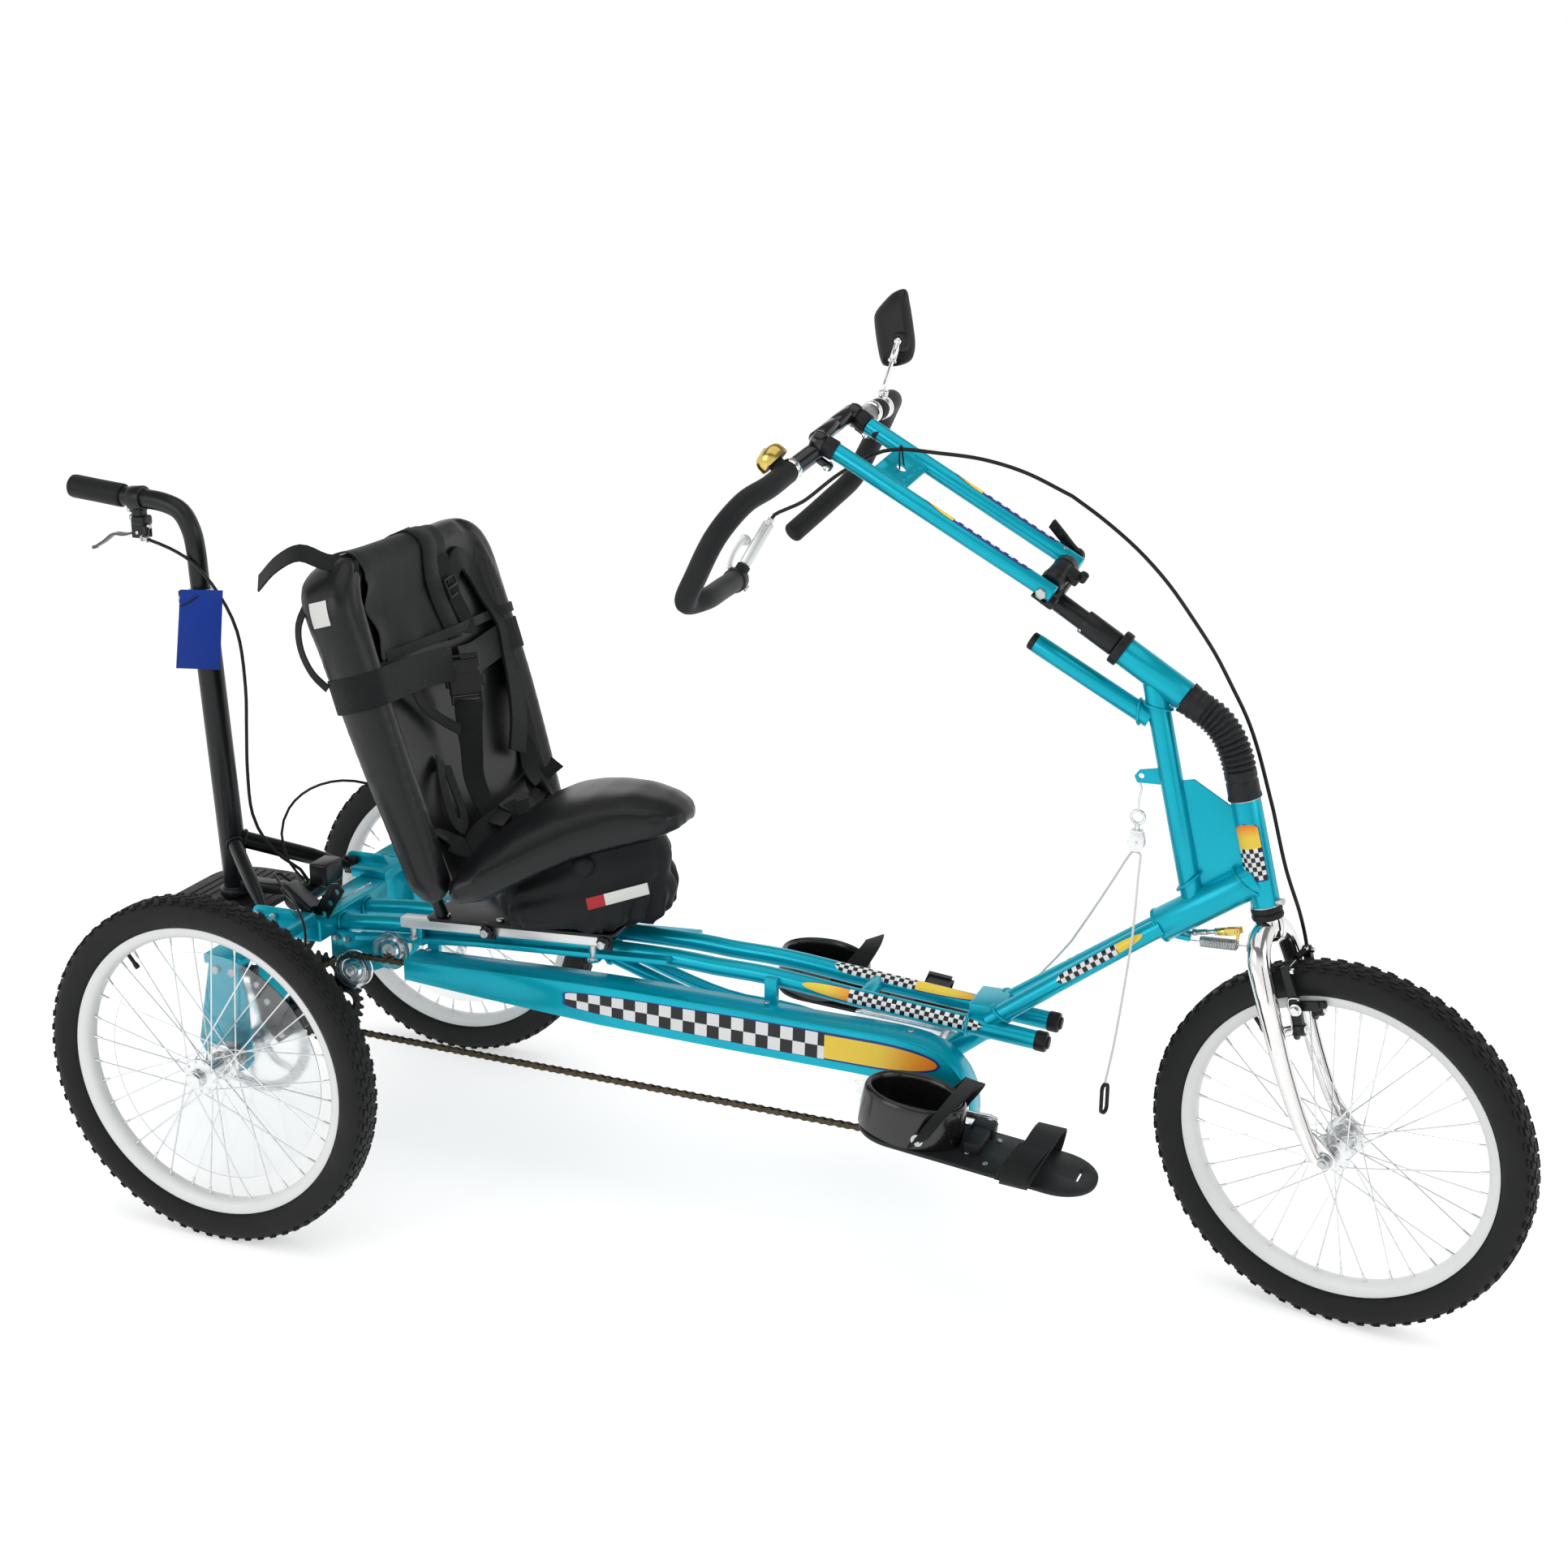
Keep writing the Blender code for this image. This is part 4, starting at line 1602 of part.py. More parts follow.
def make_steering_column():
    """The shaft through the column tube, with the ball of its joint and the clamp for the arms."""
    shaft_front = -(at_xz(COLUMN_REAR) - at_xz(COLUMN_FRONT)).length
    joint_at = -(at_xz(COLUMN_REAR) - at_xz(JOINT_CENTRE)).length
    collar_rear = -COLUMN_TUBE_START + COLLAR_LENGTH + CLEARANCE
    pivot = Vector((*TILT_PIVOT, 0.0))
    half_clamp = ARM_LOWER_D - ARM_RADIUS - CLEARANCE
    pieces = [
        rod((shaft_front - 0.002, 0.0, 0.0), (0.012, 0.0, 0.0), COLUMN_SHAFT_RADIUS),
        rod((collar_rear, 0.0, 0.0), (-COLUMN_SLEEVE_END, 0.0, 0.0), COLUMN_SLEEVE_RADIUS),
        rod((joint_at, 0.0, 0.0), (shaft_front, 0.0, 0.0), STEERER_NECK_RADIUS, 10),
        ball((joint_at, 0.0, 0.0), JOINT_BALL_RADIUS),
        bar((-0.004, 0.004, 0.0), (pivot.x, pivot.y - 0.006, 0.0), 0.030, 0.030, (0.0, 0.0, 1.0)),
        rod(pivot - Vector((0.0, 0.0, half_clamp)), pivot + Vector((0.0, 0.0, half_clamp)), CLAMP_RADIUS),
    ]
    return finish(joined(pieces), "steering_column", "black_paint", COLUMN)


def make_handlebar_arms():
    pieces = []
    for _, side in both_sides():
        lower = Vector((0.0, 0.0, side * ARM_LOWER_D))
        upper = Vector((ARM_UPPER[0], ARM_UPPER[1], side * ARM_UPPER[2]))
        insert = Vector((INSERT_UPPER[0], INSERT_UPPER[1], side * INSERT_UPPER[2]))
        along = (upper - lower).normalized()
        pieces.append(rod(lower - along * 0.012, upper, ARM_RADIUS))
        pieces.append(rod(upper - along * 0.003, insert, INSERT_RADIUS))
    bridge_s, bridge_h = ARM_BRIDGE
    bridge_half = ARM_LOWER_D + 0.002
    hole = circle(0.008, 8)
    matrix = frame_from_axes((bridge_s, bridge_h, 0.0), (1, 0, 0), (0, 0, -1), (0, 1, 0))
    outline = [(-0.024, -bridge_half), (0.024, -bridge_half), (0.024, bridge_half), (-0.024, bridge_half)]
    pieces.append(plate(outline, 0.004, matrix, [hole]))
    finish(joined(pieces), "handlebar_arms", "teal_paint", ARMS)


def handle_route(side):
    route = LEFT_HANDLE_ROUTE if side > 0.0 else RIGHT_HANDLE_ROUTE
    return [Vector((back, up, side * out)) for back, up, out in smooth_route(route, 0.028)]


def make_handles():
    for label, side in both_sides():
        route = handle_route(side)
        end = Vector((INSERT_UPPER[0], INSERT_UPPER[1], side * INSERT_UPPER[2]))
        arm_along = (end - Vector((ARM_UPPER[0], ARM_UPPER[1], side * ARM_UPPER[2]))).normalized()
        face = end + arm_along * RUNNING_GAP
        inner_end = route[0]
        outward = (route[1] - route[0]).normalized()
        neck = rod(face - arm_along * 0.002, face + arm_along * 0.010, 0.0125, 8)
        block_centre = face + arm_along * 0.006
        reach_end = inner_end - outward * RUNNING_GAP
        knee = inner_end - outward * 0.012
        collar = rod(knee - outward * 0.001, reach_end, 0.0110, 8)
        link = rod(block_centre, knee, 0.0105, 8)
        cross_start = face + arm_along * (CROSSBAR_RADIUS + 0.0012)
        middle = Vector((cross_start.x, cross_start.y, side * CROSSBAR_GAP / 2.0))
        crossbar = rod(cross_start, middle, CROSSBAR_RADIUS, 10)
        clamp = joined(
            [neck, link, collar, ball(block_centre, 0.0140, 5, 8), crossbar], [half_space(face, arm_along)])
        finish(clamp, "handle_clamp_" + label, "chrome", ARMS)
        handle = tube(route, HANDLE_RADIUS, 10)
        if side < 0.0:
            handle = joined([handle, lever_perch(route)])
        finish(handle, label + "_handle", "foam_grip", ARMS)


def half_space(point, normal):
    """A block that fills the side of a plane away from normal, next to point."""
    turn = axis_matrix(point - normal * 0.05, normal)
    work = bmesh.new()
    bmesh.ops.create_cube(work, size=0.1)
    return from_bmesh(work, turn)


LEVER_BODY_TOP = (0.3510, -0.1830, -0.0300)
LEVER_BODY_RADIUS = 0.0090
LEVER_HUB_RADIUS = 0.0060
LEVER_LENGTH = 0.040


def lever_body_ends(route):
    """The brake lever's housing runs from the handle's free end to where its cable leaves."""
    end = route[-1]
    along = (route[-1] - route[-2]).normalized()
    return end - along * 0.016, Vector(LEVER_BODY_TOP)


def lever_perch(route):
    """The clamp and housing that hold the brake lever at the right handle's free end."""
    end = route[-1]
    along = (route[-1] - route[-2]).normalized()
    ring = rod(end - along * 0.028, end - along * 0.008, HANDLE_RADIUS + 0.0035, 12)
    start, top = lever_body_ends(route)
    return joined([ring, rod(start, top, LEVER_BODY_RADIUS, 8)])


def make_brake_lever():
    start, top = lever_body_ends(handle_route(-1.0))
    along = (start - top).normalized()
    outward = Vector((1.0, 0.0, 0.0))
    outward = (outward - along * outward.dot(along)).normalized()
    pin = outward.cross(along)
    pivot = top.lerp(start, 0.42) + outward * (LEVER_BODY_RADIUS + CLEARANCE + LEVER_HUB_RADIUS + 0.0002)
    turn = Matrix((along, pin, outward)).transposed().to_4x4()
    lever_axis = carrier("brake_lever_axis", Matrix.Translation(pivot) @ turn, ARMS)
    blade = joined([
        rod((0.0, -0.0060, 0.0), (0.0, 0.0060, 0.0), LEVER_HUB_RADIUS, 10),
        box((LEVER_LENGTH, 0.0110, 0.0045), (LEVER_LENGTH / 2.0, 0.0, 0.0032)),
    ])
    finish(blade, "brake_lever", "aluminium", lever_axis)


QUICK_RELEASE_D = 0.0580


def make_quick_release():
    """The cam lever that locks the arms' tilt, on the left arm's outer side."""
    lever = joined([
        rod((0.0, 0.0, ARM_LOWER_D + ARM_RADIUS + CLEARANCE), (0.0, 0.0, QUICK_RELEASE_D + 0.004), 0.009, 10),
        bar((-0.004, 0.0, QUICK_RELEASE_D), (0.050, 0.012, QUICK_RELEASE_D + 0.006), 0.007, 0.012, (0.0, 0.0, 1.0)),
    ])
    return finish(lever, "quick_release_lever", "black_paint", ARMS)


BELL_BASE = (0.3529, -0.0436, 0.1082)
BELL_TOP = (0.3842, -0.0374, 0.1078)
BELL_RADIUS = 0.0215
MIRROR_BASE = (0.3340, -0.0420, 0.1440)
MIRROR_BALL = (0.3666, 0.0139, 0.1883)
MIRROR_BALL_RADIUS = 0.0062


def make_bell():
    base = Vector((BELL_BASE[0], BELL_BASE[1], -BELL_BASE[2]))
    top = Vector((BELL_TOP[0], BELL_TOP[1], -BELL_TOP[2]))
    axis = (top - base).normalized()
    profile = [
        (0.0, 0.0), (0.010, 0.0), (0.010, 0.006), (BELL_RADIUS, 0.007), (BELL_RADIUS, 0.012),
        (BELL_RADIUS * 0.82, 0.021), (BELL_RADIUS * 0.45, 0.026), (0.0, 0.0275),
    ]
    bell = turned(profile, axis_matrix(base + axis * 0.0004, axis), 14, closed=False)
    return finish(bell, "bell", "brass", ARMS)


def make_mirror():
    route = handle_route(1.0)
    base = Vector(MIRROR_BASE)
    seat = min(route, key=lambda point: (point - base).length)
    place = route.index(seat)
    along = (route[place + 1] - route[place - 1]).normalized()
    reach = Vector(MIRROR_BALL) - seat
    away = (reach - along * reach.dot(along)).normalized()
    start = seat + away * (HANDLE_RADIUS + CLEARANCE)
    ball_at = Vector(MIRROR_BALL)
    stem = joined([
        rod(start, start + away * 0.010, 0.0075, 8),
        rod(start + away * 0.006, ball_at, 0.0032, 8),
        ball(ball_at, MIRROR_BALL_RADIUS),
    ])
    finish(stem, "mirror_stem", "chrome", ARMS)


MIRROR_OUTLINE = [
    (0.003, 0.069), (-0.013, 0.065), (-0.026, 0.053), (-0.038, 0.037), (-0.038, 0.023),
    (-0.031, -0.006), (-0.024, -0.026), (-0.017, -0.032), (0.000, -0.031), (0.016, -0.025),
    (0.022, -0.016), (0.023, 0.000), (0.018, 0.023), (0.010, 0.052),
]
MIRROR_FACING = (0.127, 0.980, -0.150)


def make_mirror_head():
    """The mirror head: a domed shell whose back is carried by the stem's ball."""
    ball_at = Vector(MIRROR_BALL)
    head_axis = carrier("mirror_axis", Matrix.Translation(ball_at), ARMS)
    column = TURNED_COLUMN.to_3x3().inverted()
    facing = (column @ Vector(MIRROR_FACING)).normalized()
    across = facing.cross(column @ Vector((0.0, 0.0, 1.0))).normalized()
    up = across.cross(facing)
    rings = []
    for scale, depth in ((0.55, 0.0), (0.86, 0.004), (1.0, 0.012), (0.97, 0.017)):
        here = facing * (MIRROR_BALL_RADIUS + RUNNING_GAP + depth)
        rings.append([here + across * (x - 0.009) * scale + up * (0.012 + (z - 0.012) * scale) for x, z in MIRROR_OUTLINE])
    finish(loft(rings), "mirror_head", "black_plastic", head_axis)


# Boot and spring
def boot_route():
    """The boot's centre line: a straight cuff at each end and a bend between."""
    start = at_xz(COLUMN_FRONT) - COLUMN_BACK * RUNNING_GAP
    end = at_xz(HEAD_FOOT) + HEAD_UP * (HEAD_LENGTH + RUNNING_GAP)
    bend_start = start - COLUMN_BACK * BOOT_CUFF
    bend_end = end + HEAD_UP * BOOT_CUFF
    corner = at_xz(JOINT_CENTRE)
    cuff_steps = 4
    bend_steps = 2 * BOOT_RIBS - 2 * cuff_steps
    route = [start.lerp(bend_start, step / cuff_steps) for step in range(cuff_steps)]
    for step in range(bend_steps):
        share = step / bend_steps
        route.append(bend_start.lerp(corner, share).lerp(corner.lerp(bend_end, share), share))
    route += [bend_end.lerp(end, step / cuff_steps) for step in range(cuff_steps + 1)]
    return route


def make_steering_boot():
    route = boot_route()
    radii = []
    for index in range(len(route)):
        radii.append(BOOT_RIB_RADIUS if index % 2 else BOOT_VALLEY_RADIUS)
    radii[0] = BOOT_RIB_RADIUS
    radii[-1] = BOOT_RIB_RADIUS
    outer = tube(route, BOOT_RIB_RADIUS, 10, radii)
    before = route[0] + COLUMN_BACK * 0.01
    after = route[-1] - HEAD_UP * 0.01
    inner_route = [before, *route[4:-4:3], after]
    bore = tube(inner_route, outside(BOOT_BORE_RADIUS, 8), 8)
    return finish(joined([outer], [bore]), "steering_boot", "black_rubber", TRIKE, 60.0)


def spring_points():
    start = Vector(SPRING_START)
    end = Vector(SPRING_END)
    frame = axis_matrix(start, end - start)
    length = (end - start).length
    points = []
    total = SPRING_CURLS * POINTS_PER_CURL
    for index in range(total + 1):
        angle = math.tau * index / POINTS_PER_CURL
        place = Vector((SPRING_RADIUS * math.cos(angle), SPRING_RADIUS * math.sin(angle), length * index / total))
        points.append(frame @ place)
    return points


def make_centering_spring():
    points = spring_points()
    least = min(
        (points[first] - points[second]).length
        for first in range(len(points))
        for second in range(first + POINTS_PER_CURL - 1, min(len(points), first + POINTS_PER_CURL + 2))
    )
    print("centering spring: least gap between curls %.2f mm" % ((least - 2.0 * SPRING_WIRE) * 1000.0))
    return finish(tube(points, SPRING_WIRE, 5), "centering_spring", "steel", TRIKE)


def make_limit_rod():
    """The steering limit rod under the boom, with its clevis and two lugs that hold the spring."""
    start = Vector(LIMIT_ROD_START)
    end = Vector(LIMIT_ROD_END)
    along = (end - start).normalized()
    pieces = [
        rod(start, end, LIMIT_ROD_RADIUS, 8),
        rod(end - along * 0.030, end, 0.0060, 8),
        box((0.010, 0.008, 0.010), start),
    ]
    spring_along = (Vector(SPRING_END) - Vector(SPRING_START)).normalized()
    lug_from_end = SPRING_WIRE + RUNNING_GAP + SPRING_LUG_THICKNESS / 2.0
    for spring_end, direction in ((SPRING_START, -1.0), (SPRING_END, 1.0)):
        foot = Vector(spring_end) + spring_along * direction * lug_from_end
        share = (foot.x - start.x) / (end.x - start.x)
        on_rod = start.lerp(end, share)
        upward = on_rod - foot
        upward = upward - spring_along * upward.dot(spring_along)
        low = foot - upward.normalized() * (SPRING_RADIUS + 2.0 * SPRING_WIRE)
        side = spring_along.cross(upward).normalized()
        pieces.append(bar(low, foot + upward, 2.0 * SPRING_RADIUS, SPRING_LUG_THICKNESS, side))
    return finish(joined(pieces), "steering_limit_rod", "brass", TRIKE)


# Level cord and cables
def make_pulley_and_cords():
    block_centre = Vector((PULLEY_X, 0.0, 0.6230))
    hook = [
        block_centre + Vector((0.0, 0.0, 0.012)), Vector((PULLEY_X, 0.0, CORD_TAB_BOTTOM - RUNNING_GAP)),
    ]
    pieces = [
        box((0.024, 0.012, 0.030), block_centre),
        rod(hook[0], hook[1], 0.0022, 8),
        rod(block_centre + Vector((0.0, 0.0, 0.030)), block_centre + Vector((0.0, 0.0, 0.044)), 0.0060, 8),
    ]
    finish(joined(pieces), "cord_pulley", "steel", TRIKE)
    gap = Vector((0.0, 0.0, -0.0013))
    over = [Vector(point) for point in reversed(LEVEL_CORD_ROUTE_FAR)]
    under = [Vector((1.1778, 0.001, 0.6070)), Vector((1.1850, -0.001, 0.6070))]
    cord = smooth_route(over + [point + gap for point in under] + [Vector(p) for p in LEVEL_CORD_ROUTE_NEAR], 0.045)
    finish(tube(cord, CORD_RADIUS, 8), "level_cord", "white_cord", TRIKE)
    end = Vector(LEVEL_CORD_ROUTE_NEAR[-1])
    hook_top = end - Vector((0.0, 0.0, 0.0003))
    hook_outline = rounded_rectangle(0.0085, 0.022, 0.0080, 3)
    hook_hole = rounded_rectangle(0.0052, 0.0185, 0.0050, 2)
    matrix = frame_from_axes(hook_top - Vector((0.0, 0.0, 0.0225)), (0.35, 0.937, 0), (0, 0, 1), (0.937, -0.35, 0))
    finish(plate(hook_outline, 0.004, matrix, [hook_hole]), "snap_hook", "black_paint", TRIKE)


def make_cables():
    front = smooth_route(FRONT_CABLE_ROUTE, 0.040)
    finish(tube(front, CABLE_RADIUS, 8), "front_brake_cable", "black_plastic", TRIKE)
    push = smooth_route(PUSH_CABLE_ROUTE, 0.035)
    finish(tube(push, CABLE_RADIUS, 8), "push_brake_cable", "black_plastic", TRIKE)


make_rear_wheels()
for bracket_label, bracket_side in both_sides():
    make_axle_bracket("axle_bracket_" + bracket_label, bracket_side)
    make_caliper("brake_caliper_" + bracket_label, bracket_side)
make_main_frame()
make_front_boom()
make_chain()
make_rear_sprockets()
make_idler("idler_lower", LOWER_IDLER, CHAIN_Y, IDLER_HALF_WIDTH)
make_idler("idler_upper", UPPER_IDLER, UPPER_IDLER_Y, UPPER_IDLER_HALF_WIDTH)
make_chain_guard()
CRANK = make_crankset()
for foot_label, foot_side in both_sides():
    make_footplate(foot_label, foot_side, CRANK)
make_seat_rails()
make_seat()
make_rear_platform()
make_push_post()
make_push_handle()
make_fork()
make_front_axle()
make_front_wheel()
for arm_label, arm_side in both_sides():
    make_brake_arm(arm_label, arm_side)
make_steering_column()
make_handlebar_arms()
make_handles()
make_brake_lever()
make_quick_release()
make_bell()
make_mirror()
make_mirror_head()
make_steering_boot()
make_centering_spring()
make_limit_rod()
make_pulley_and_cords()
make_cables()
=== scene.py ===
"""The adaptive tricycle dressed for its picture: a reclined seat on teal rails, two rear wheels and one in front.

Units are metres in the tricycle's own frame: X forward, Y to the rider's left, Z up, the floor at Z = 0.
"""
import math

import bpy
from mathutils import Matrix, Vector


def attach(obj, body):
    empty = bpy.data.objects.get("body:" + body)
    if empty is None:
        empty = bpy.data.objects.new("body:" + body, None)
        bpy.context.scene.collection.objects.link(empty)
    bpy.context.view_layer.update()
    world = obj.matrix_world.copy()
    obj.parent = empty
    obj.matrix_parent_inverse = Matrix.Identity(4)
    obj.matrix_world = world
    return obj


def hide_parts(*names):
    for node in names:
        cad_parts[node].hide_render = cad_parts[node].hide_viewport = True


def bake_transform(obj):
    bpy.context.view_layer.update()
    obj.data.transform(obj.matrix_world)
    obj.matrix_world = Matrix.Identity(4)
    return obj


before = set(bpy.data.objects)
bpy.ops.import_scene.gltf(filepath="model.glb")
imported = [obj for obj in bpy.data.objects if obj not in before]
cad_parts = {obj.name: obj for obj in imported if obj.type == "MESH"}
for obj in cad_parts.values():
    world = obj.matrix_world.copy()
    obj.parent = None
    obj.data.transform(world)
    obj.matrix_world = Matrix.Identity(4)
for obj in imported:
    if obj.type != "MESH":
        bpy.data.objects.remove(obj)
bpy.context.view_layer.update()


# The studio: a seamless pale floor under one wide softbox overhead and two smaller ones at
# the sides, with the camera at a standing person's height on the tricycle's right.
def deselect():
    """Leaves nothing selected, so that the next operator acts on its own piece alone."""
    bpy.ops.object.select_all(action="DESELECT")


def colour(code):
    """A hex sRGB colour as the linear values that a shader takes."""
    steps = [int(code[place:place + 2], 16) / 255.0 for place in (1, 3, 5)]
    return (*[step / 12.92 if step <= 0.04045 else ((step + 0.055) / 1.055) ** 2.4 for step in steps], 1.0)


def add(tree, kind, settings=None, links=None):
    """Adds a node, sets its options and sockets by name or number, and links sockets to it."""
    node = tree.nodes.new(kind)
    for key, value in (settings or {}).items():
        if isinstance(key, str) and hasattr(node, key):
            setattr(node, key, value)
        else:
            node.inputs[key].default_value = value
    for key, source in (links or {}).items():
        tree.links.new(source, node.inputs[key])
    return node


def seen_directly(tree):
    """One for what the eye meets itself, in a mirror or through glass, and nought for other light."""
    rays = add(tree, "ShaderNodeLightPath")
    seen = add(tree, "ShaderNodeMath", {"operation": "MAXIMUM"}, {
        0: rays.outputs["Is Camera Ray"], 1: rays.outputs["Is Glossy Ray"]})
    return add(tree, "ShaderNodeMath", {"operation": "MAXIMUM"}, {
        0: seen.outputs[0], 1: rays.outputs["Is Transmission Ray"]}).outputs[0]


camera_turn, camera_height, camera_roll = math.radians(20.74), math.radians(17.45), math.radians(0.37)
backwards = Vector((
    math.sin(camera_turn) * math.cos(camera_height),
    -math.cos(camera_turn) * math.cos(camera_height),
    math.sin(camera_height),
))
rightwards = Vector((math.cos(camera_turn), math.sin(camera_turn), 0.0))
upwards = backwards.cross(rightwards)
camera_axes = Matrix((rightwards, upwards, backwards)).transposed() @ Matrix.Rotation(camera_roll, 3, "Z")
deselect()
bpy.ops.object.camera_add(location=(1.0589, -2.6487, 1.5302), rotation=camera_axes.to_euler())
camera = bpy.context.object
camera.name = "standing_view"
camera.data.lens = 50.78
camera.data.sensor_width = 36.0
bpy.context.scene.camera = camera
bpy.context.scene.view_settings.view_transform = "Standard"

for lamp_name, lamp_at, lamp_size, lamp_power in (
    ("overhead_softbox", (0.1, -0.3, 3.3), 3.0, 24.0),
    ("front_softbox", (-1.9, -3.3, 2.3), 2.2, 25.0),
    ("side_softbox", (3.3, -0.6, 2.0), 1.6, 11.0),
):
    deselect()
    towards = Vector((0.1, 0.0, 0.5)) - Vector(lamp_at)
    bpy.ops.object.light_add(
        type="AREA", location=lamp_at, rotation=towards.to_track_quat("-Z", "Y").to_euler())
    lamp = bpy.context.object
    lamp.name = lamp_name
    lamp.data.shape = "SQUARE"
    lamp.data.size = lamp_size
    lamp.data.energy = lamp_power

air = bpy.data.worlds.new("studio_air")
bpy.context.scene.world = air
air.use_nodes = True
tree = air.node_tree
tree.nodes.clear()
seen = seen_directly(tree)
looking = add(tree, "ShaderNodeTexCoord")
looking_up = add(tree, "ShaderNodeSeparateXYZ", {}, {0: looking.outputs["Generated"]})
# The ceiling above the softbox is a darker grey, which gives chrome and paint their contrast
ceiling = add(tree, "ShaderNodeMapRange", {
    "interpolation_type": "SMOOTHSTEP", "From Min": 0.34, "From Max": 0.66, "To Min": 1.0, "To Max": 0.22,
}, {"Value": looking_up.outputs["Z"]})
ambient = add(tree, "ShaderNodeBackground", {"Color": (1.0, 1.0, 1.0, 1.0), "Strength": 0.62})
backdrop = add(tree, "ShaderNodeBackground", {"Color": (1.0, 1.0, 1.0, 1.0)}, {"Strength": ceiling.outputs[0]})
air_mix = add(tree, "ShaderNodeMixShader", {}, {0: seen, 1: ambient.outputs[0], 2: backdrop.outputs[0]})
add(tree, "ShaderNodeOutputWorld", {}, {0: air_mix.outputs[0]})

deselect()
bpy.ops.mesh.primitive_plane_add(size=40.0, location=(0.0, 0.0, 0.0))
floor = bpy.context.object
floor.name = "seamless_floor"
paper = bpy.data.materials.new("seamless_paper")
paper.use_nodes = True
tree = paper.node_tree
tree.nodes.clear()
# Matt background paper: it takes the shadow, and what the eye sees of it is lifted to white
seen = seen_directly(tree)
lift = add(tree, "ShaderNodeMath", {"operation": "MULTIPLY", 1: 0.5}, {0: seen})
place = add(tree, "ShaderNodeTexCoord")
fibre = add(tree, "ShaderNodeTexNoise", {"Scale": 60.0, "Detail": 3.0}, {"Vector": place.outputs["Object"]})
shade = add(tree, "ShaderNodeMix", {"data_type": "RGBA", 6: colour("#ebebeb"), 7: colour("#f0f0f0")}, {
    0: fibre.outputs[0]})
matt = add(tree, "ShaderNodeBsdfDiffuse", {}, {0: shade.outputs[2]})
glow = add(tree, "ShaderNodeEmission", {}, {1: lift.outputs[0]})
both = add(tree, "ShaderNodeAddShader", {}, {0: matt.outputs[0], 1: glow.outputs[0]})
add(tree, "ShaderNodeOutputMaterial", {}, {0: both.outputs[0]})
floor.data.materials.append(paper)
# Two black cards on the right, seen only in reflections, put dark bands in the chrome and the paint
velvet = bpy.data.materials.new("black_velvet_card")
velvet.use_nodes = True
tree = velvet.node_tree
tree.nodes.clear()
place = add(tree, "ShaderNodeTexCoord")
pile = add(tree, "ShaderNodeTexNoise", {"Scale": 300.0}, {"Vector": place.outputs["Object"]})
shade = add(tree, "ShaderNodeMix", {"data_type": "RGBA", 6: colour("#050505"), 7: colour("#0d0d0d")}, {
    0: pile.outputs[0]})
matt = add(tree, "ShaderNodeBsdfDiffuse", {}, {0: shade.outputs[2]})
add(tree, "ShaderNodeOutputMaterial", {}, {0: matt.outputs[0]})
for card_name, card_at, card_size in (
    ("black_card_ahead", (2.05, 0.1, 0.52), (0.45, 1.0)), ("black_card_near", (1.75, -1.75, 0.6), (0.3, 1.1)),
):
    deselect()
    towards = Vector((0.75, 0.0, 0.45)) - Vector(card_at)
    towards.z = 0.0
    bpy.ops.mesh.primitive_plane_add(
        size=1.0, location=card_at, rotation=towards.to_track_quat("Z", "Y").to_euler())
    card = bpy.context.object
    card.name = card_name
    card.scale = (card_size[0], card_size[1], 1.0)
    bpy.ops.object.transform_apply(location=False, rotation=False, scale=True)
    card.data.materials.append(velvet)
    card.visible_camera = False
    card.visible_shadow = False
    card.visible_diffuse = False


# The brake cables: steel wire in a black plastic housing, 5 mm across. The front one bows from
# the hand lever over the handlebar arms to the fork; the other falls from the push handle's lever.
AXLE_TO_ORIGIN = 0.6455


def from_axle(x, y, z):
    """A point measured forward from the rear axle."""
    return Vector((x - AXLE_TO_ORIGIN, y, z))


def smooth_route(points, spacing):
    """Points about spacing apart on a smooth curve through the given ones."""
    knots = [Vector(point) for point in points]
    knots = [2.0 * knots[0] - knots[1], *knots, 2.0 * knots[-1] - knots[-2]]
    route = []
    for place_on in range(1, len(knots) - 2):
        before, start, end, after = knots[place_on - 1:place_on + 3]
        times = [0.0]
        for first, second in ((before, start), (start, end), (end, after)):
            times.append(times[-1] + math.sqrt((second - first).length))
        steps = max(1, round((end - start).length / spacing))
        for step in range(steps):
            at = times[1] + (times[2] - times[1]) * step / steps
            one = before.lerp(start, at / times[1])
            two = start.lerp(end, (at - times[1]) / (times[2] - times[1]))
            three = end.lerp(after, (at - times[2]) / (times[3] - times[2]))
            near = one.lerp(two, at / times[2])
            far = two.lerp(three, (at - times[1]) / (times[3] - times[1]))
            route.append(near.lerp(far, (at - times[1]) / (times[2] - times[1])))
    route.append(knots[-2])
    return route


def route_on(put, points, spacing):
    """A smooth route through points that a function puts in place."""
    return smooth_route([put(*point) for point in points], spacing)


def merge(piece, inside_out=False):
    """Closes the seams of a piece and turns its faces outwards."""
    deselect()
    piece.select_set(True)
    bpy.context.view_layer.objects.active = piece
    bpy.ops.object.mode_set(mode="EDIT")
    bpy.ops.mesh.select_all(action="SELECT")
    bpy.ops.mesh.remove_doubles(threshold=0.00001)
    bpy.ops.mesh.normals_make_consistent(inside=inside_out)
    bpy.ops.object.mode_set(mode="OBJECT")
    return piece


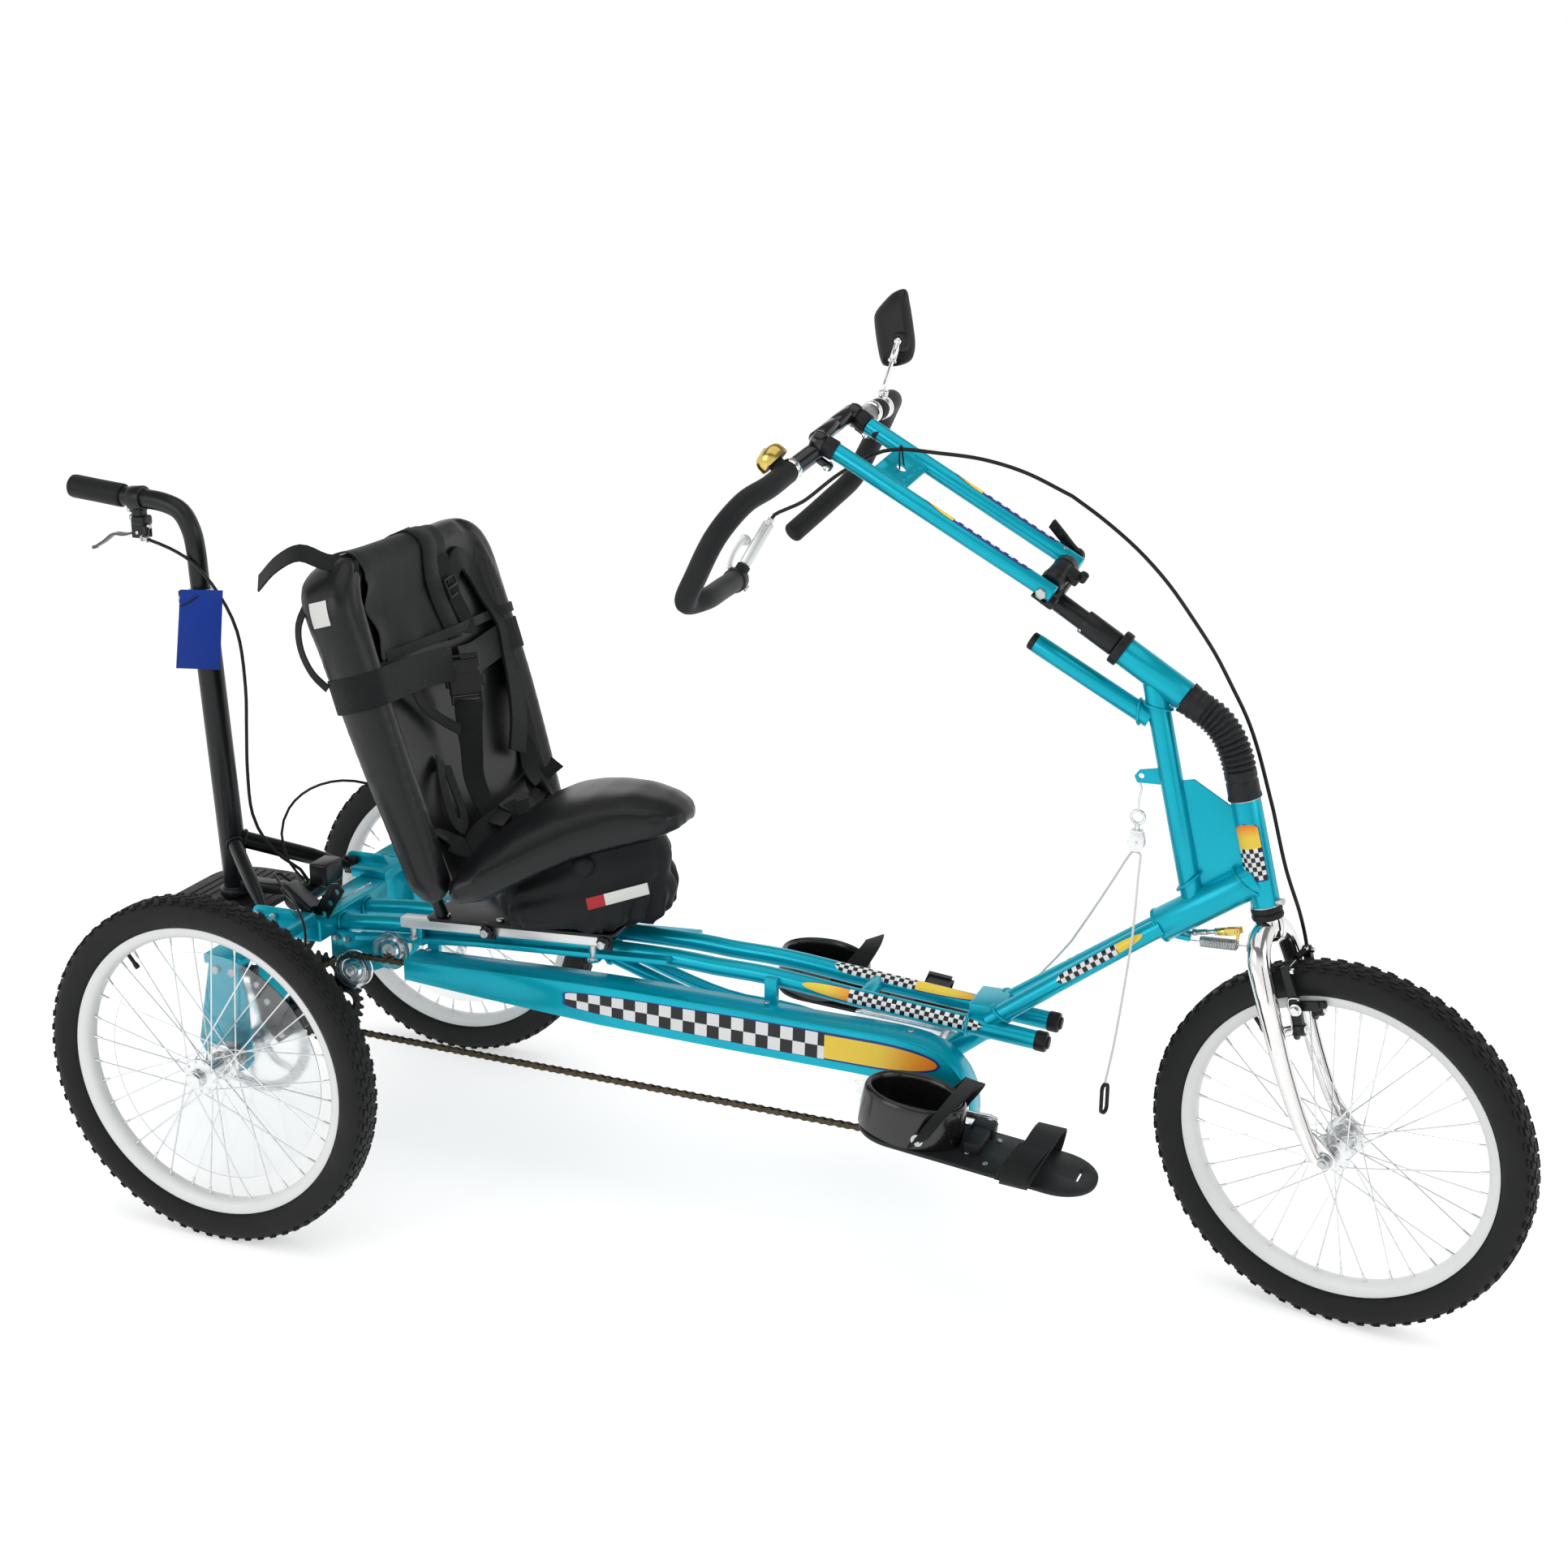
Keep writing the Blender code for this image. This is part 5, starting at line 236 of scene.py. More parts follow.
def tube(name, points, radius, sides=20, radii=None, weld=True):
    """Round stock bent along points: drawn as a path, thickened and turned to mesh."""
    deselect()
    bpy.ops.curve.primitive_bezier_curve_add(location=(0.0, 0.0, 0.0))
    drawn = bpy.context.object
    drawn.data.splines.clear()
    line = drawn.data.splines.new("POLY")
    line.points.add(len(points) - 1)
    for index, point in enumerate(points):
        line.points[index].co = (*point, 1.0)
        line.points[index].radius = 1.0 if radii is None else radii[index] / radius
    drawn.data.bevel_depth = radius
    drawn.data.bevel_resolution = max(0, (sides - 4) // 2)
    drawn.data.use_fill_caps = True
    bpy.ops.object.convert(target="MESH")
    piece = bpy.context.object
    piece.name = name
    if weld:
        merge(piece)
    bpy.ops.object.shade_smooth_by_angle(angle=math.radians(40.0))
    return piece


def finish(name, by_uv=False, **values):
    """A new material whose constant values are set on its own shader, and the coordinates of its patterns."""
    material = bpy.data.materials.new(name)
    material.use_nodes = True
    tree = material.node_tree
    shader = tree.nodes["Principled BSDF"]
    for socket, value in values.items():
        shader.inputs[socket.replace("_", " ")].default_value = value
    place = add(tree, "ShaderNodeUVMap" if by_uv else "ShaderNodeTexCoord")
    return material, tree, shader, place.outputs["UV" if by_uv else "Object"]


def noise(tree, place, scale, detail=2.0):
    """A cloudy pattern with so many clouds to the metre."""
    return add(tree, "ShaderNodeTexNoise", {"Scale": scale, "Detail": detail}, {"Vector": place}).outputs[0]


def tint(tree, shader, dark, light, pattern, second=None, deeper=None):
    """Runs the colour from dark to light with a pattern, and deepens it with a second one."""
    shade = add(tree, "ShaderNodeMix", {"data_type": "RGBA", 6: colour(dark), 7: colour(light)}, {0: pattern})
    if deeper:
        shade = add(tree, "ShaderNodeMix", {"data_type": "RGBA", "blend_type": "MULTIPLY", 7: colour(deeper)}, {
            0: second, 6: shade.outputs[2]})
    tree.links.new(shade.outputs[2], shader.inputs["Base Color"])


def emboss(tree, shader, strength, distance, pattern):
    """Raises the surface with a pattern."""
    skin = add(tree, "ShaderNodeBump", {"Strength": strength, "Distance": distance}, {"Height": pattern})
    tree.links.new(skin.outputs[0], shader.inputs["Normal"])


def together(pieces):
    """Joins welded or bolted pieces into one."""
    deselect()
    for piece in pieces:
        piece.select_set(True)
    bpy.context.view_layer.objects.active = pieces[0]
    bpy.ops.object.join()
    return pieces[0]


def fit(piece, name, body, slot, material, *nodes):
    """Names a finished piece, joined from several where a list is given, and hangs it on its body."""
    if not isinstance(piece, bpy.types.Object):
        piece = together(piece)
    piece.name = name
    piece.data.name = name
    piece.data.materials.clear()
    piece.data.materials.append(material)
    if body:
        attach(piece, body)
    if nodes:
        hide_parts(*nodes)
    return piece


# Extruded PVC housing: black, half glossy, with faint rings left by the extruder
cable_sleeve, tree, shader, place = finish("extruded_pvc_cable", Roughness=0.34, Specular_IOR_Level=0.3)
rings = noise(tree, place, 420.0)
tint(tree, shader, "#090a0a", "#151617", rings)
emboss(tree, shader, 0.15, 0.0002, rings)

CABLE_RADIUS = 0.0025
lever_to_bridge = route_on(from_axle, (
    (0.6738, 0.0171, 0.9924), (0.6788, 0.018, 1.0), (0.696, 0.014, 1.009), (0.7227, 0.006, 1.0225),
    (0.7778, -0.004, 1.065), (0.835, -0.008, 1.0965), (0.8584, -0.008, 1.1003)), 0.01)
bridge_to_boot = route_on(from_axle, (
    (0.8584, -0.008, 1.1003), (0.87, -0.008, 1.1005), (0.9, -0.006, 1.0985), (0.961, -0.002, 1.0935),
    (1.016, 0.002, 1.08), (1.076, 0.006, 1.054)), 0.009)
over_the_boot = route_on(from_axle, (
    (1.076, 0.006, 1.054), (1.115, 0.009, 1.028), (1.16, 0.012, 0.9925), (1.199, 0.015, 0.953),
    (1.233, 0.018, 0.909), (1.262, 0.02, 0.868), (1.286, 0.022, 0.8262), (1.305, 0.022, 0.792),
    (1.32, 0.022, 0.7565), (1.346, 0.022, 0.676)), 0.013)
boot_to_brake = route_on(from_axle, (
    (1.346, 0.022, 0.676), (1.368, 0.02, 0.6), (1.3885, 0.022, 0.545), (1.3965, 0.0305, 0.512),
    (1.4001, 0.0304, 0.4962)), 0.01)
for cable_name, cable_path, cable_bodies in (
    ("front_cable_at_lever", lever_to_bridge, ("arms",)),
    ("front_cable_over_arms", bridge_to_boot, ("arms", "column")),
    ("front_cable_over_boot", over_the_boot, ("column", "trike")),
    ("front_cable_to_brake", boot_to_brake, ("trike", "steered_fork")),
):
    cable = tube(cable_name, cable_path, CABLE_RADIUS, 12)
    if len(cable_bodies) == 1:
        fit(cable, cable_name, cable_bodies[0], "black_plastic", cable_sleeve, "front_brake_cable")
    else:
        fit(cable, cable_name, None, "black_plastic", cable_sleeve)
        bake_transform(cable)

push_cable_path = route_on(from_axle, (
    (-0.2845, -0.01, 0.899), (-0.246, -0.014, 0.89), (-0.204, -0.0185, 0.872), (-0.162, -0.021, 0.83),
    (-0.136, -0.021, 0.778), (-0.129, -0.02, 0.695), (-0.133, -0.019, 0.63), (-0.137, -0.018, 0.567),
    (-0.134, -0.017, 0.5), (-0.118, -0.014, 0.462), (-0.093, -0.008, 0.434), (-0.068, 0.0, 0.416),
    (-0.0585, 0.004, 0.3988)), 0.018)
push_cable = tube("push_cable", push_cable_path, CABLE_RADIUS, 12)
fit(push_cable, "push_cable", None, "black_plastic", cable_sleeve, "push_brake_cable")
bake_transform(push_cable)

# A second housing loops from the push handle's socket over the beam to the far caliper
rear_loop_path = route_on(from_axle, (
    (-0.07, 0.01, 0.396), (-0.095, 0.012, 0.42), (-0.108, 0.016, 0.462), (-0.096, 0.022, 0.502),
    (-0.062, 0.03, 0.534), (-0.015, 0.045, 0.548), (0.03, 0.07, 0.536), (0.066, 0.105, 0.498),
    (0.084, 0.15, 0.445), (0.083, 0.195, 0.39), (0.0745, 0.235, 0.343), (0.072, 0.25, 0.324)), 0.018)
rear_loop = tube("rear_brake_cable_far", rear_loop_path, CABLE_RADIUS * 0.8, 12)
fit(rear_loop, "rear_brake_cable_far", "trike", "black_plastic", cable_sleeve)
near_loop_path = route_on(from_axle, (
    (-0.07, -0.014, 0.396), (-0.09, -0.02, 0.412), (-0.08, -0.05, 0.424), (-0.04, -0.09, 0.424),
    (0.01, -0.135, 0.418), (0.05, -0.175, 0.398), (0.07, -0.215, 0.365), (0.072, -0.245, 0.324)), 0.012)
near_loop = tube("rear_brake_cable_near", near_loop_path, CABLE_RADIUS * 0.8, 12)
fit(near_loop, "rear_brake_cable_near", "trike", "black_plastic", cable_sleeve)


# The levelling cord: 3 mm braided white cord tied to the far foot plate's toe. It runs over a small
# pulley that hangs from the mast and falls to a black snap hook, so the rider can level the pedals.
braided_cord, tree, shader, place = finish("braided_polyester_cord", Roughness=0.82, Sheen_Weight=0.3)
braid = add(tree, "ShaderNodeTexVoronoi", {"Scale": 900.0}, {"Vector": place})
tint(tree, shader, "#fbfaf7", "#e3e2dd", braid.outputs["Distance"])
emboss(tree, shader, 0.5, 0.0003, braid.outputs["Distance"])

CORD_RADIUS = 0.0016
level_cord_path = route_on(from_axle, (
    (0.964, 0.146, 0.298), (0.992, 0.122, 0.322), (1.019, 0.1, 0.352), (1.044, 0.083, 0.386),
    (1.068, 0.068, 0.418), (1.091, 0.052, 0.451), (1.112, 0.038, 0.488), (1.132, 0.025, 0.524),
    (1.153, 0.014, 0.563), (1.1745, 0.004, 0.603), (1.1778, 0.001, 0.6057), (1.185, -0.001, 0.6057),
    (1.1885, -0.004, 0.603), (1.189, -0.016, 0.575), (1.19, -0.026, 0.545), (1.189, -0.0305, 0.505),
    (1.184, -0.0305, 0.45), (1.178, -0.029, 0.395), (1.171, -0.027, 0.34), (1.163, -0.025, 0.292)), 0.03)
level_cord = tube("levelling_cord", level_cord_path, CORD_RADIUS, 12)
fit(level_cord, "levelling_cord", "trike", "white_cord", braided_cord, "level_cord")


# The main frame: two steel rails side by side, closed by black plugs, with a rear beam, a gusset box,
# flat seat bars, slim diagonal stays and a down tube to the crank's shell. All is MIG welded.
SMOOTH_UNDER, SHARP_OVER = math.radians(35.0), math.radians(50.0)


def break_edges(piece, width, segments=2):
    """Rounds or chamfers the sharp edges of the active piece."""
    edge = piece.modifiers.new("broken edges", "BEVEL")
    edge.width = width
    edge.segments = segments
    edge.limit_method = "ANGLE"
    edge.angle_limit = SHARP_OVER
    bpy.ops.object.modifier_apply(modifier=edge.name)


def block(name, size, centre, bevel=0.0015, turn=None, segments=3):
    """A machined or sawn block with its edges broken."""
    deselect()
    bpy.ops.mesh.primitive_cube_add(size=1.0, location=(0.0, 0.0, 0.0))
    piece = bpy.context.object
    piece.name = name
    piece.scale = size
    bpy.ops.object.transform_apply(location=False, rotation=False, scale=True)
    break_edges(piece, bevel, segments)
    piece.matrix_world = Matrix.Translation(Vector(centre)) @ (turn.to_4x4() if turn else Matrix.Identity(4))
    bpy.ops.object.transform_apply(location=True, rotation=True, scale=True)
    bpy.ops.object.shade_smooth_by_angle(angle=SMOOTH_UNDER)
    return piece


def leftwards(y):
    """A step to the rider's left."""
    return Vector((0.0, y, 0.0))


def axis_turn(along, lean=(1.0, 0.0, 0.0)):
    """A turn whose Z runs along a direction and whose X leans towards another."""
    z_dir = Vector(along).normalized()
    y_dir = z_dir.cross(Vector(lean))
    if y_dir.length < 0.001:
        y_dir = z_dir.cross(leftwards(1.0))
    y_dir.normalize()
    return Matrix((y_dir.cross(z_dir), y_dir, z_dir)).transposed()


def pin(name, start, end, radius, sides=28, bevel=0.0008, end_radius=None):
    """Round or hexagonal bar cut to length, its ends chamfered."""
    start, end = Vector(start), Vector(end)
    deselect()
    bpy.ops.mesh.primitive_cone_add(
        vertices=sides, radius1=radius, radius2=radius if end_radius is None else end_radius,
        depth=(end - start).length, end_fill_type="NGON")
    piece = bpy.context.object
    piece.name = name
    if bevel:
        break_edges(piece, bevel)
    piece.matrix_world = Matrix.Translation((start + end) / 2.0) @ axis_turn(end - start).to_4x4()
    bpy.ops.object.transform_apply(location=True, rotation=True, scale=True)
    bpy.ops.object.shade_smooth_by_angle(angle=SMOOTH_UNDER)
    return piece


def cross_pin(name, x, z, start_y, end_y, *sizes):
    """A pin across the tricycle, placed from the rear axle."""
    return pin(name, from_axle(x, start_y, z), from_axle(x, end_y, z), *sizes)


CRANK_AHEAD, CRANK_HEIGHT = 0.907, 0.262


def on_crank(y):
    """A point on the crank's axis."""
    return from_axle(CRANK_AHEAD, y, CRANK_HEIGHT)


def cut_plate(name, outline, thickness, bevel=0.0006, holes=()):
    """Sheet metal cut to an outline of points, thickened by a vector and its edges broken."""
    thickness = Vector(thickness)
    deselect()
    bpy.ops.mesh.primitive_circle_add(vertices=len(outline), radius=0.01, fill_type="NGON")
    piece = bpy.context.object
    piece.name = name
    for vert, point in zip(piece.data.vertices, outline):
        vert.co = Vector(point) - thickness / 2.0
    bpy.ops.object.mode_set(mode="EDIT")
    bpy.ops.mesh.select_all(action="SELECT")
    bpy.ops.mesh.extrude_region_move(TRANSFORM_OT_translate={"value": thickness})
    bpy.ops.mesh.select_all(action="SELECT")
    bpy.ops.mesh.normals_make_consistent(inside=False)
    bpy.ops.object.mode_set(mode="OBJECT")
    for hole in holes:
        take_away(piece, hole)
    if bevel:
        break_edges(piece, bevel)
    bpy.ops.object.shade_smooth_by_angle(angle=SMOOTH_UNDER)
    return piece


def take_away(piece, tool):
    """Drills or mills a piece with a tool, which is used up."""
    deselect()
    piece.select_set(True)
    bpy.context.view_layer.objects.active = piece
    cut = piece.modifiers.new("cut", "BOOLEAN")
    cut.operation = "DIFFERENCE"
    cut.object = tool
    cut.solver = "EXACT"
    bpy.ops.object.modifier_apply(modifier=cut.name)
    bpy.data.objects.remove(tool, do_unlink=True)
    return piece


def bead(centre, along, radius, lean=0.0):
    """A weld bead round a tube: a ring with the ripples that the torch leaves."""
    deselect()
    bpy.ops.mesh.primitive_torus_add(
        major_radius=radius, minor_radius=0.0023, major_segments=72, minor_segments=8)
    piece = bpy.context.object
    ripples = max(9, round(math.tau * radius / 0.0036))
    for vert in piece.data.vertices:
        around = math.atan2(vert.co.y, vert.co.x)
        ripple = 1.0 + 0.16 * math.sin(ripples * around) + 0.05 * math.sin(5.0 * around + radius * 900.0)
        ring = Vector((vert.co.x, vert.co.y, 0.0)).normalized() * radius
        vert.co = ring + (vert.co - ring) * ripple
        vert.co.z += lean * vert.co.x
    piece.matrix_world = Matrix.Translation(Vector(centre)) @ axis_turn(along, (0.0, 0.0, 1.0)).to_4x4()
    bpy.ops.object.transform_apply(location=True, rotation=True, scale=True)
    bpy.ops.object.shade_smooth()
    return piece


def shine(tree, shader, low, high, pattern):
    """Runs the roughness between two values with a pattern."""
    gloss = add(tree, "ShaderNodeMapRange", {"To Min": low, "To Max": high}, {"Value": pattern})
    tree.links.new(gloss.outputs[0], shader.inputs["Roughness"])


# Metallic teal enamel under a clear coat, sprayed: fine bright flakes, a slow change of depth and a
# faint orange peel, with a sharp highlight along each tube
teal_enamel, tree, shader, place = finish(
    "sprayed_metallic_teal_enamel", Metallic=0.55, Roughness=0.32, Specular_IOR_Level=0.2, Coat_Weight=0.22,
    Coat_Roughness=0.06)
flakes = noise(tree, place, 1500.0, 1.0)
depth = noise(tree, place, 14.0)
tint(tree, shader, "#00a3ba", "#03cfe4", flakes, depth, "#d2e4ea")
shine(tree, shader, 0.24, 0.38, depth)
peel = noise(tree, place, 320.0, 1.0)
emboss(tree, shader, 0.1, 0.0002, peel)

# Moulded black plugs and trims: satin, with a fine spark-eroded grain
moulded_black, tree, shader, place = finish("moulded_black_plastic", Roughness=0.42, Specular_IOR_Level=0.3)
grain = noise(tree, place, 1400.0)
patches = noise(tree, place, 24.0)
tint(tree, shader, "#0e0f10", "#1a1b1d", patches)
shine(tree, shader, 0.34, 0.55, patches)
emboss(tree, shader, 0.2, 0.0002, grain)

# Zinc-plated steel for bolts and small fittings: grey, faintly clouded
zinc_plated, tree, shader, place = finish("zinc_plated_steel", Metallic=1.0, Roughness=0.28)
clouds = noise(tree, place, 180.0, 3.0)
tint(tree, shader, "#a9acae", "#d8dadb", clouds)
shine(tree, shader, 0.2, 0.42, clouds)

RAIL_Y = 0.034
RAIL_RADIUS = 0.0127
rail_route = [
    (0.004, 0.3553), (0.117, 0.367), (0.558, 0.38), (0.613, 0.377), (0.696, 0.375), (0.826, 0.362),
    (1.07, 0.3411)]
frame_pieces = []
plugs = []
for side in (-1.0, 1.0):
    rail = [from_axle(x, side * RAIL_Y, z) for x, z in rail_route]
    frame_pieces.append(tube("rail", smooth_route(rail, 0.03), RAIL_RADIUS, 28))
    rail_along = (rail[-1] - rail[-2]).normalized()
    plug_end = rail[-1] + rail_along * 0.016
    plugs.append(pin("plug", rail[-1] - rail_along * 0.001, plug_end, 0.0138, 28, 0.003))
    plugs.append(pin("plug nib", plug_end - rail_along * 0.001, plug_end + rail_along * 0.003, 0.0085, 24, 0.001))
    bar_y = side * 0.054
    bar_line = [(0.06, 0.3485), (0.257, 0.367), (0.555, 0.383)]
    bar_edge = [from_axle(x, bar_y, z + 0.004) for x, z in bar_line]
    bar_edge += [from_axle(x, bar_y, z - 0.004) for x, z in reversed(bar_line)]
    frame_pieces.append(cut_plate("seat bar", bar_edge, (0.0, 0.02, 0.0), 0.0012))
    for x in (0.165, 0.441):
        top = 0.3865 + (x - 0.141) / 0.324 * 0.0165 - 0.0082
        frame_pieces.append(block("spacer", (0.012, 0.012, 0.028), from_axle(x, side * 0.056, top - 0.014)))
        frame_pieces.append(bead(from_axle(x, side * 0.056, top - 0.025), (0.0, 0.0, 1.0), 0.0078))
    diagonal = [from_axle(x, side * 0.018, z) for x, z in (
        (0.415, 0.371), (0.61, 0.313), (0.72, 0.306), (0.893, 0.2665))]
    frame_pieces.append(tube("diagonal", smooth_route(diagonal, 0.03), 0.0085, 22))
    frame_pieces.append(bead(diagonal[0] + Vector((0.03, 0.0, -0.0095)), (0.5, 0.0, 0.6), 0.0105, 0.5))
    frame_pieces.append(bead(from_axle(0.887, side * 0.018, 0.268), (1.0, 0.0, -0.25), 0.0098))
    sleeve_along = Vector((1.338 - 1.2183, 0.0, 0.593 - 0.5115)).normalized()
    boom_rear = from_axle(1.004, side * 0.03, 0.356)
    boom_front = from_axle(1.2183, side * 0.013, 0.5115) + sleeve_along * 0.006
    boom_line = [boom_rear, boom_front - sleeve_along * 0.018, boom_front]
    frame_pieces.append(tube("boom tube", smooth_route(boom_line, 0.02), 0.0125, 28))
    boom_along = boom_line[1] - boom_line[0]
    frame_pieces.append(bead(from_axle(1.0205, side * 0.0288, 0.369), boom_along, 0.014, -0.3))
    for x in (0.16, 0.3, 0.45):
        frame_pieces.append(bead(from_axle(x, side * 0.0445, 0.36 + (x - 0.16) * 0.045), (0.0, 1.0, 0.0), 0.0046))
beam = block("rear beam", (0.052, 0.19, 0.034), from_axle(-0.004, 0.0, 0.363), 0.004)
gusset_box = block("gusset box", (0.046, 0.068, 0.036), from_axle(1.0, 0.0, 0.3605), 0.003)
cross_tube = cross_pin("cross tube", 0.83, 0.3617, -RAIL_Y, RAIL_Y, 0.011)
shell = pin("crank shell", on_crank(-RAIL_Y), on_crank(RAIL_Y), 0.021, 40, 0.0012)
take_away(shell, pin("bore", on_crank(-0.05), on_crank(0.05), 0.0165, 40, 0.0))
down_tube = pin("down tube", from_axle(0.996, 0.0, 0.335), from_axle(0.914, 0.0, 0.2685), 0.015, 32)
# Beads where the down tube and the rails meet the shell, the box and the beam
frame_pieces += [
    beam, gusset_box, cross_tube, shell, down_tube,
    bead(from_axle(0.9262, 0.0, 0.2784), (0.082, 0.0, 0.0665), 0.0165, 0.2),
    bead(from_axle(0.986, 0.0, 0.329), (0.082, 0.0, 0.0665), 0.0165, -0.4),
    bead(from_axle(0.024, -RAIL_Y, 0.3585), (1.0, 0.0, 0.1), 0.0142),
    bead(from_axle(0.024, RAIL_Y, 0.3585), (1.0, 0.0, 0.1), 0.0142),
    bead(from_axle(0.977, -RAIL_Y, 0.3492), (1.0, 0.0, -0.085), 0.0142),
    bead(from_axle(0.977, RAIL_Y, 0.3492), (1.0, 0.0, -0.085), 0.0142),
]
idler_outline = [from_axle(x, -0.051, z) for x, z in (
    (0.012, 0.352), (0.012, 0.308), (0.052, 0.296), (0.082, 0.296), (0.14, 0.322), (0.14, 0.352))]
frame_pieces.append(cut_plate("idler plate", idler_outline, (0.0, 0.003, 0.0)))
frame_pieces.append(block("plate foot", (0.016, 0.018, 0.008), from_axle(0.03, -0.043, 0.3475)))
fit(frame_pieces, "welded_rails", "trike", "teal_paint", teal_enamel, "main_frame")
fit(plugs, "rail_plugs", "trike", "black_plastic", moulded_black)
cups = []
for side in (-1.0, 1.0):
    cups.append(pin("cup", on_crank(side * 0.026), on_crank(side * 0.0375), 0.0172, 36))
cups.append(cross_pin("idler pin", 0.066, 0.307, -0.049, -0.089, 0.004, 20))
cups.append(cross_pin("idler nut", 0.066, 0.307, -0.0885, -0.0925, 0.007, 6))
cups.append(cross_pin("idler pin", 0.123, 0.3405, -0.049, -0.0755, 0.004, 20))
for x, z in ((0.022, 0.34), (0.04, 0.34)):
    cups.append(cross_pin("plate bolt", x, z, -0.052, -0.0565, 0.0055, 6))
fit(cups, "crank_cups_and_idler_pins", "trike", "steel", zinc_plated)


# The boom and mast: a sleeve that slides over the boom tubes' ends and carries the mast, a spur with a
# black plug, a teal gusset plate, the head tube and the tube for the steering column, all welded.
head_foot = from_axle(1.349, 0.0, 0.557)
head_up = Vector((-0.2488, 0.0, 0.9686)).normalized()
head_forward = Vector((head_up.z, 0.0, -head_up.x))
head_top = head_foot + head_up * 0.1414
column_front = from_axle(1.232, 0.0, 0.816)
column_rear = from_axle(1.0584, 0.0, 0.9262)
column_back = (column_rear - column_front).normalized()
column_tube_rear = column_rear - column_back * 0.1102
sleeve_rear, sleeve_front = from_axle(1.2183, 0.0, 0.5115), from_axle(1.338, 0.0, 0.593)
mast_foot, mast_head = from_axle(1.253, 0.0, 0.571), from_axle(1.192, 0.0, 0.83)
spur_foot, spur_end = from_axle(1.19, 0.0, 0.783), from_axle(1.04, 0.0, 0.866)
spur_along = (spur_end - spur_foot).normalized()
sleeve = pin("sleeve", sleeve_rear, sleeve_front, 0.0225, 40, 0.0015)
mast = pin("mast", mast_foot - (mast_head - mast_foot).normalized() * 0.016, mast_head, 0.0145, 32)
spur = pin("spur", spur_foot, spur_end, 0.0125, 32)
head_tube = pin("head tube", head_foot, head_top, 0.0188, 40, 0.0012)
take_away(head_tube, pin("bore", head_foot - head_up * 0.01, head_top + head_up * 0.01, 0.0155, 40, 0.0))
column_tube = pin("column tube", column_tube_rear, column_front, 0.019, 40, 0.0012)
take_away(column_tube, pin(
    "bore", column_tube_rear + column_back * 0.01, column_front - column_back * 0.01, 0.0135, 40, 0.0))
gusset_line = [
    (1.228, 0.706), (1.2497, 0.7107), (1.299, 0.6805), (1.329, 0.67), (1.327, 0.605), (1.269, 0.57),
    (1.248, 0.6)]
gusset = cut_plate("gusset", [from_axle(x, 0.0, z) for x, z in gusset_line], (0.0, 0.005, 0.0), 0.0008)
tab_line = [(1.222, 0.699), (1.178, 0.6985), (1.174, 0.707), (1.18, 0.7155), (1.216, 0.722)]
tab = cut_plate("cord tab", [from_axle(x, 0.0, z) for x, z in tab_line], (0.0, 0.004, 0.0), 0.0006, [
    cross_pin("hole", 1.183, 0.7075, -0.01, 0.01, 0.0035, 20, 0.0)])
mast_along = (mast_head - mast_foot).normalized()
boom_beads = [
    bead(mast_foot + mast_along * 0.006, mast_along, 0.0162, 0.55),
    bead(mast_head - mast_along * 0.03, mast_along, 0.0162, -0.4),
    bead(spur_foot + spur_along * 0.016, spur_along, 0.0135, 0.5),
    bead(sleeve_front - sleeve_along * 0.014, sleeve_along, 0.024, -0.35),
    bead(sleeve_rear + sleeve_along * 0.0005, sleeve_along, 0.0215),
]
boom = together([sleeve, mast, spur, head_tube, column_tube, gusset, tab, *boom_beads])
fit(boom, "boom_and_mast", "trike", "teal_paint", teal_enamel, "front_boom")
spur_plug = pin("spur plug", spur_end - spur_along * 0.002, spur_end + spur_along * 0.0085, 0.0119, 28, 0.003)
collar = pin(
    "collar", column_tube_rear + column_back * 0.01, column_tube_rear - column_back * 0.002, 0.023, 36, 0.002)
take_away(collar, pin(
    "bore", column_tube_rear + column_back * 0.02, column_tube_rear - column_back * 0.02, 0.0135, 36, 0.0))
fit([spur_plug, collar], "spur_plug_and_collar", "trike", "black_plastic", moulded_black)
head_cups = []
for centre, direction in ((head_foot, -1.0), (head_top, 1.0)):
    cup = pin("head cup", centre - head_up * direction * 0.0015, centre + head_up * direction * 0.0002, 0.0196, 36)
    take_away(cup, pin("bore", centre - head_up * 0.02, centre + head_up * 0.02, 0.0152, 36, 0.0))
    head_cups.append(cup)
fit(head_cups, "head_cups", "trike", "steel", zinc_plated)


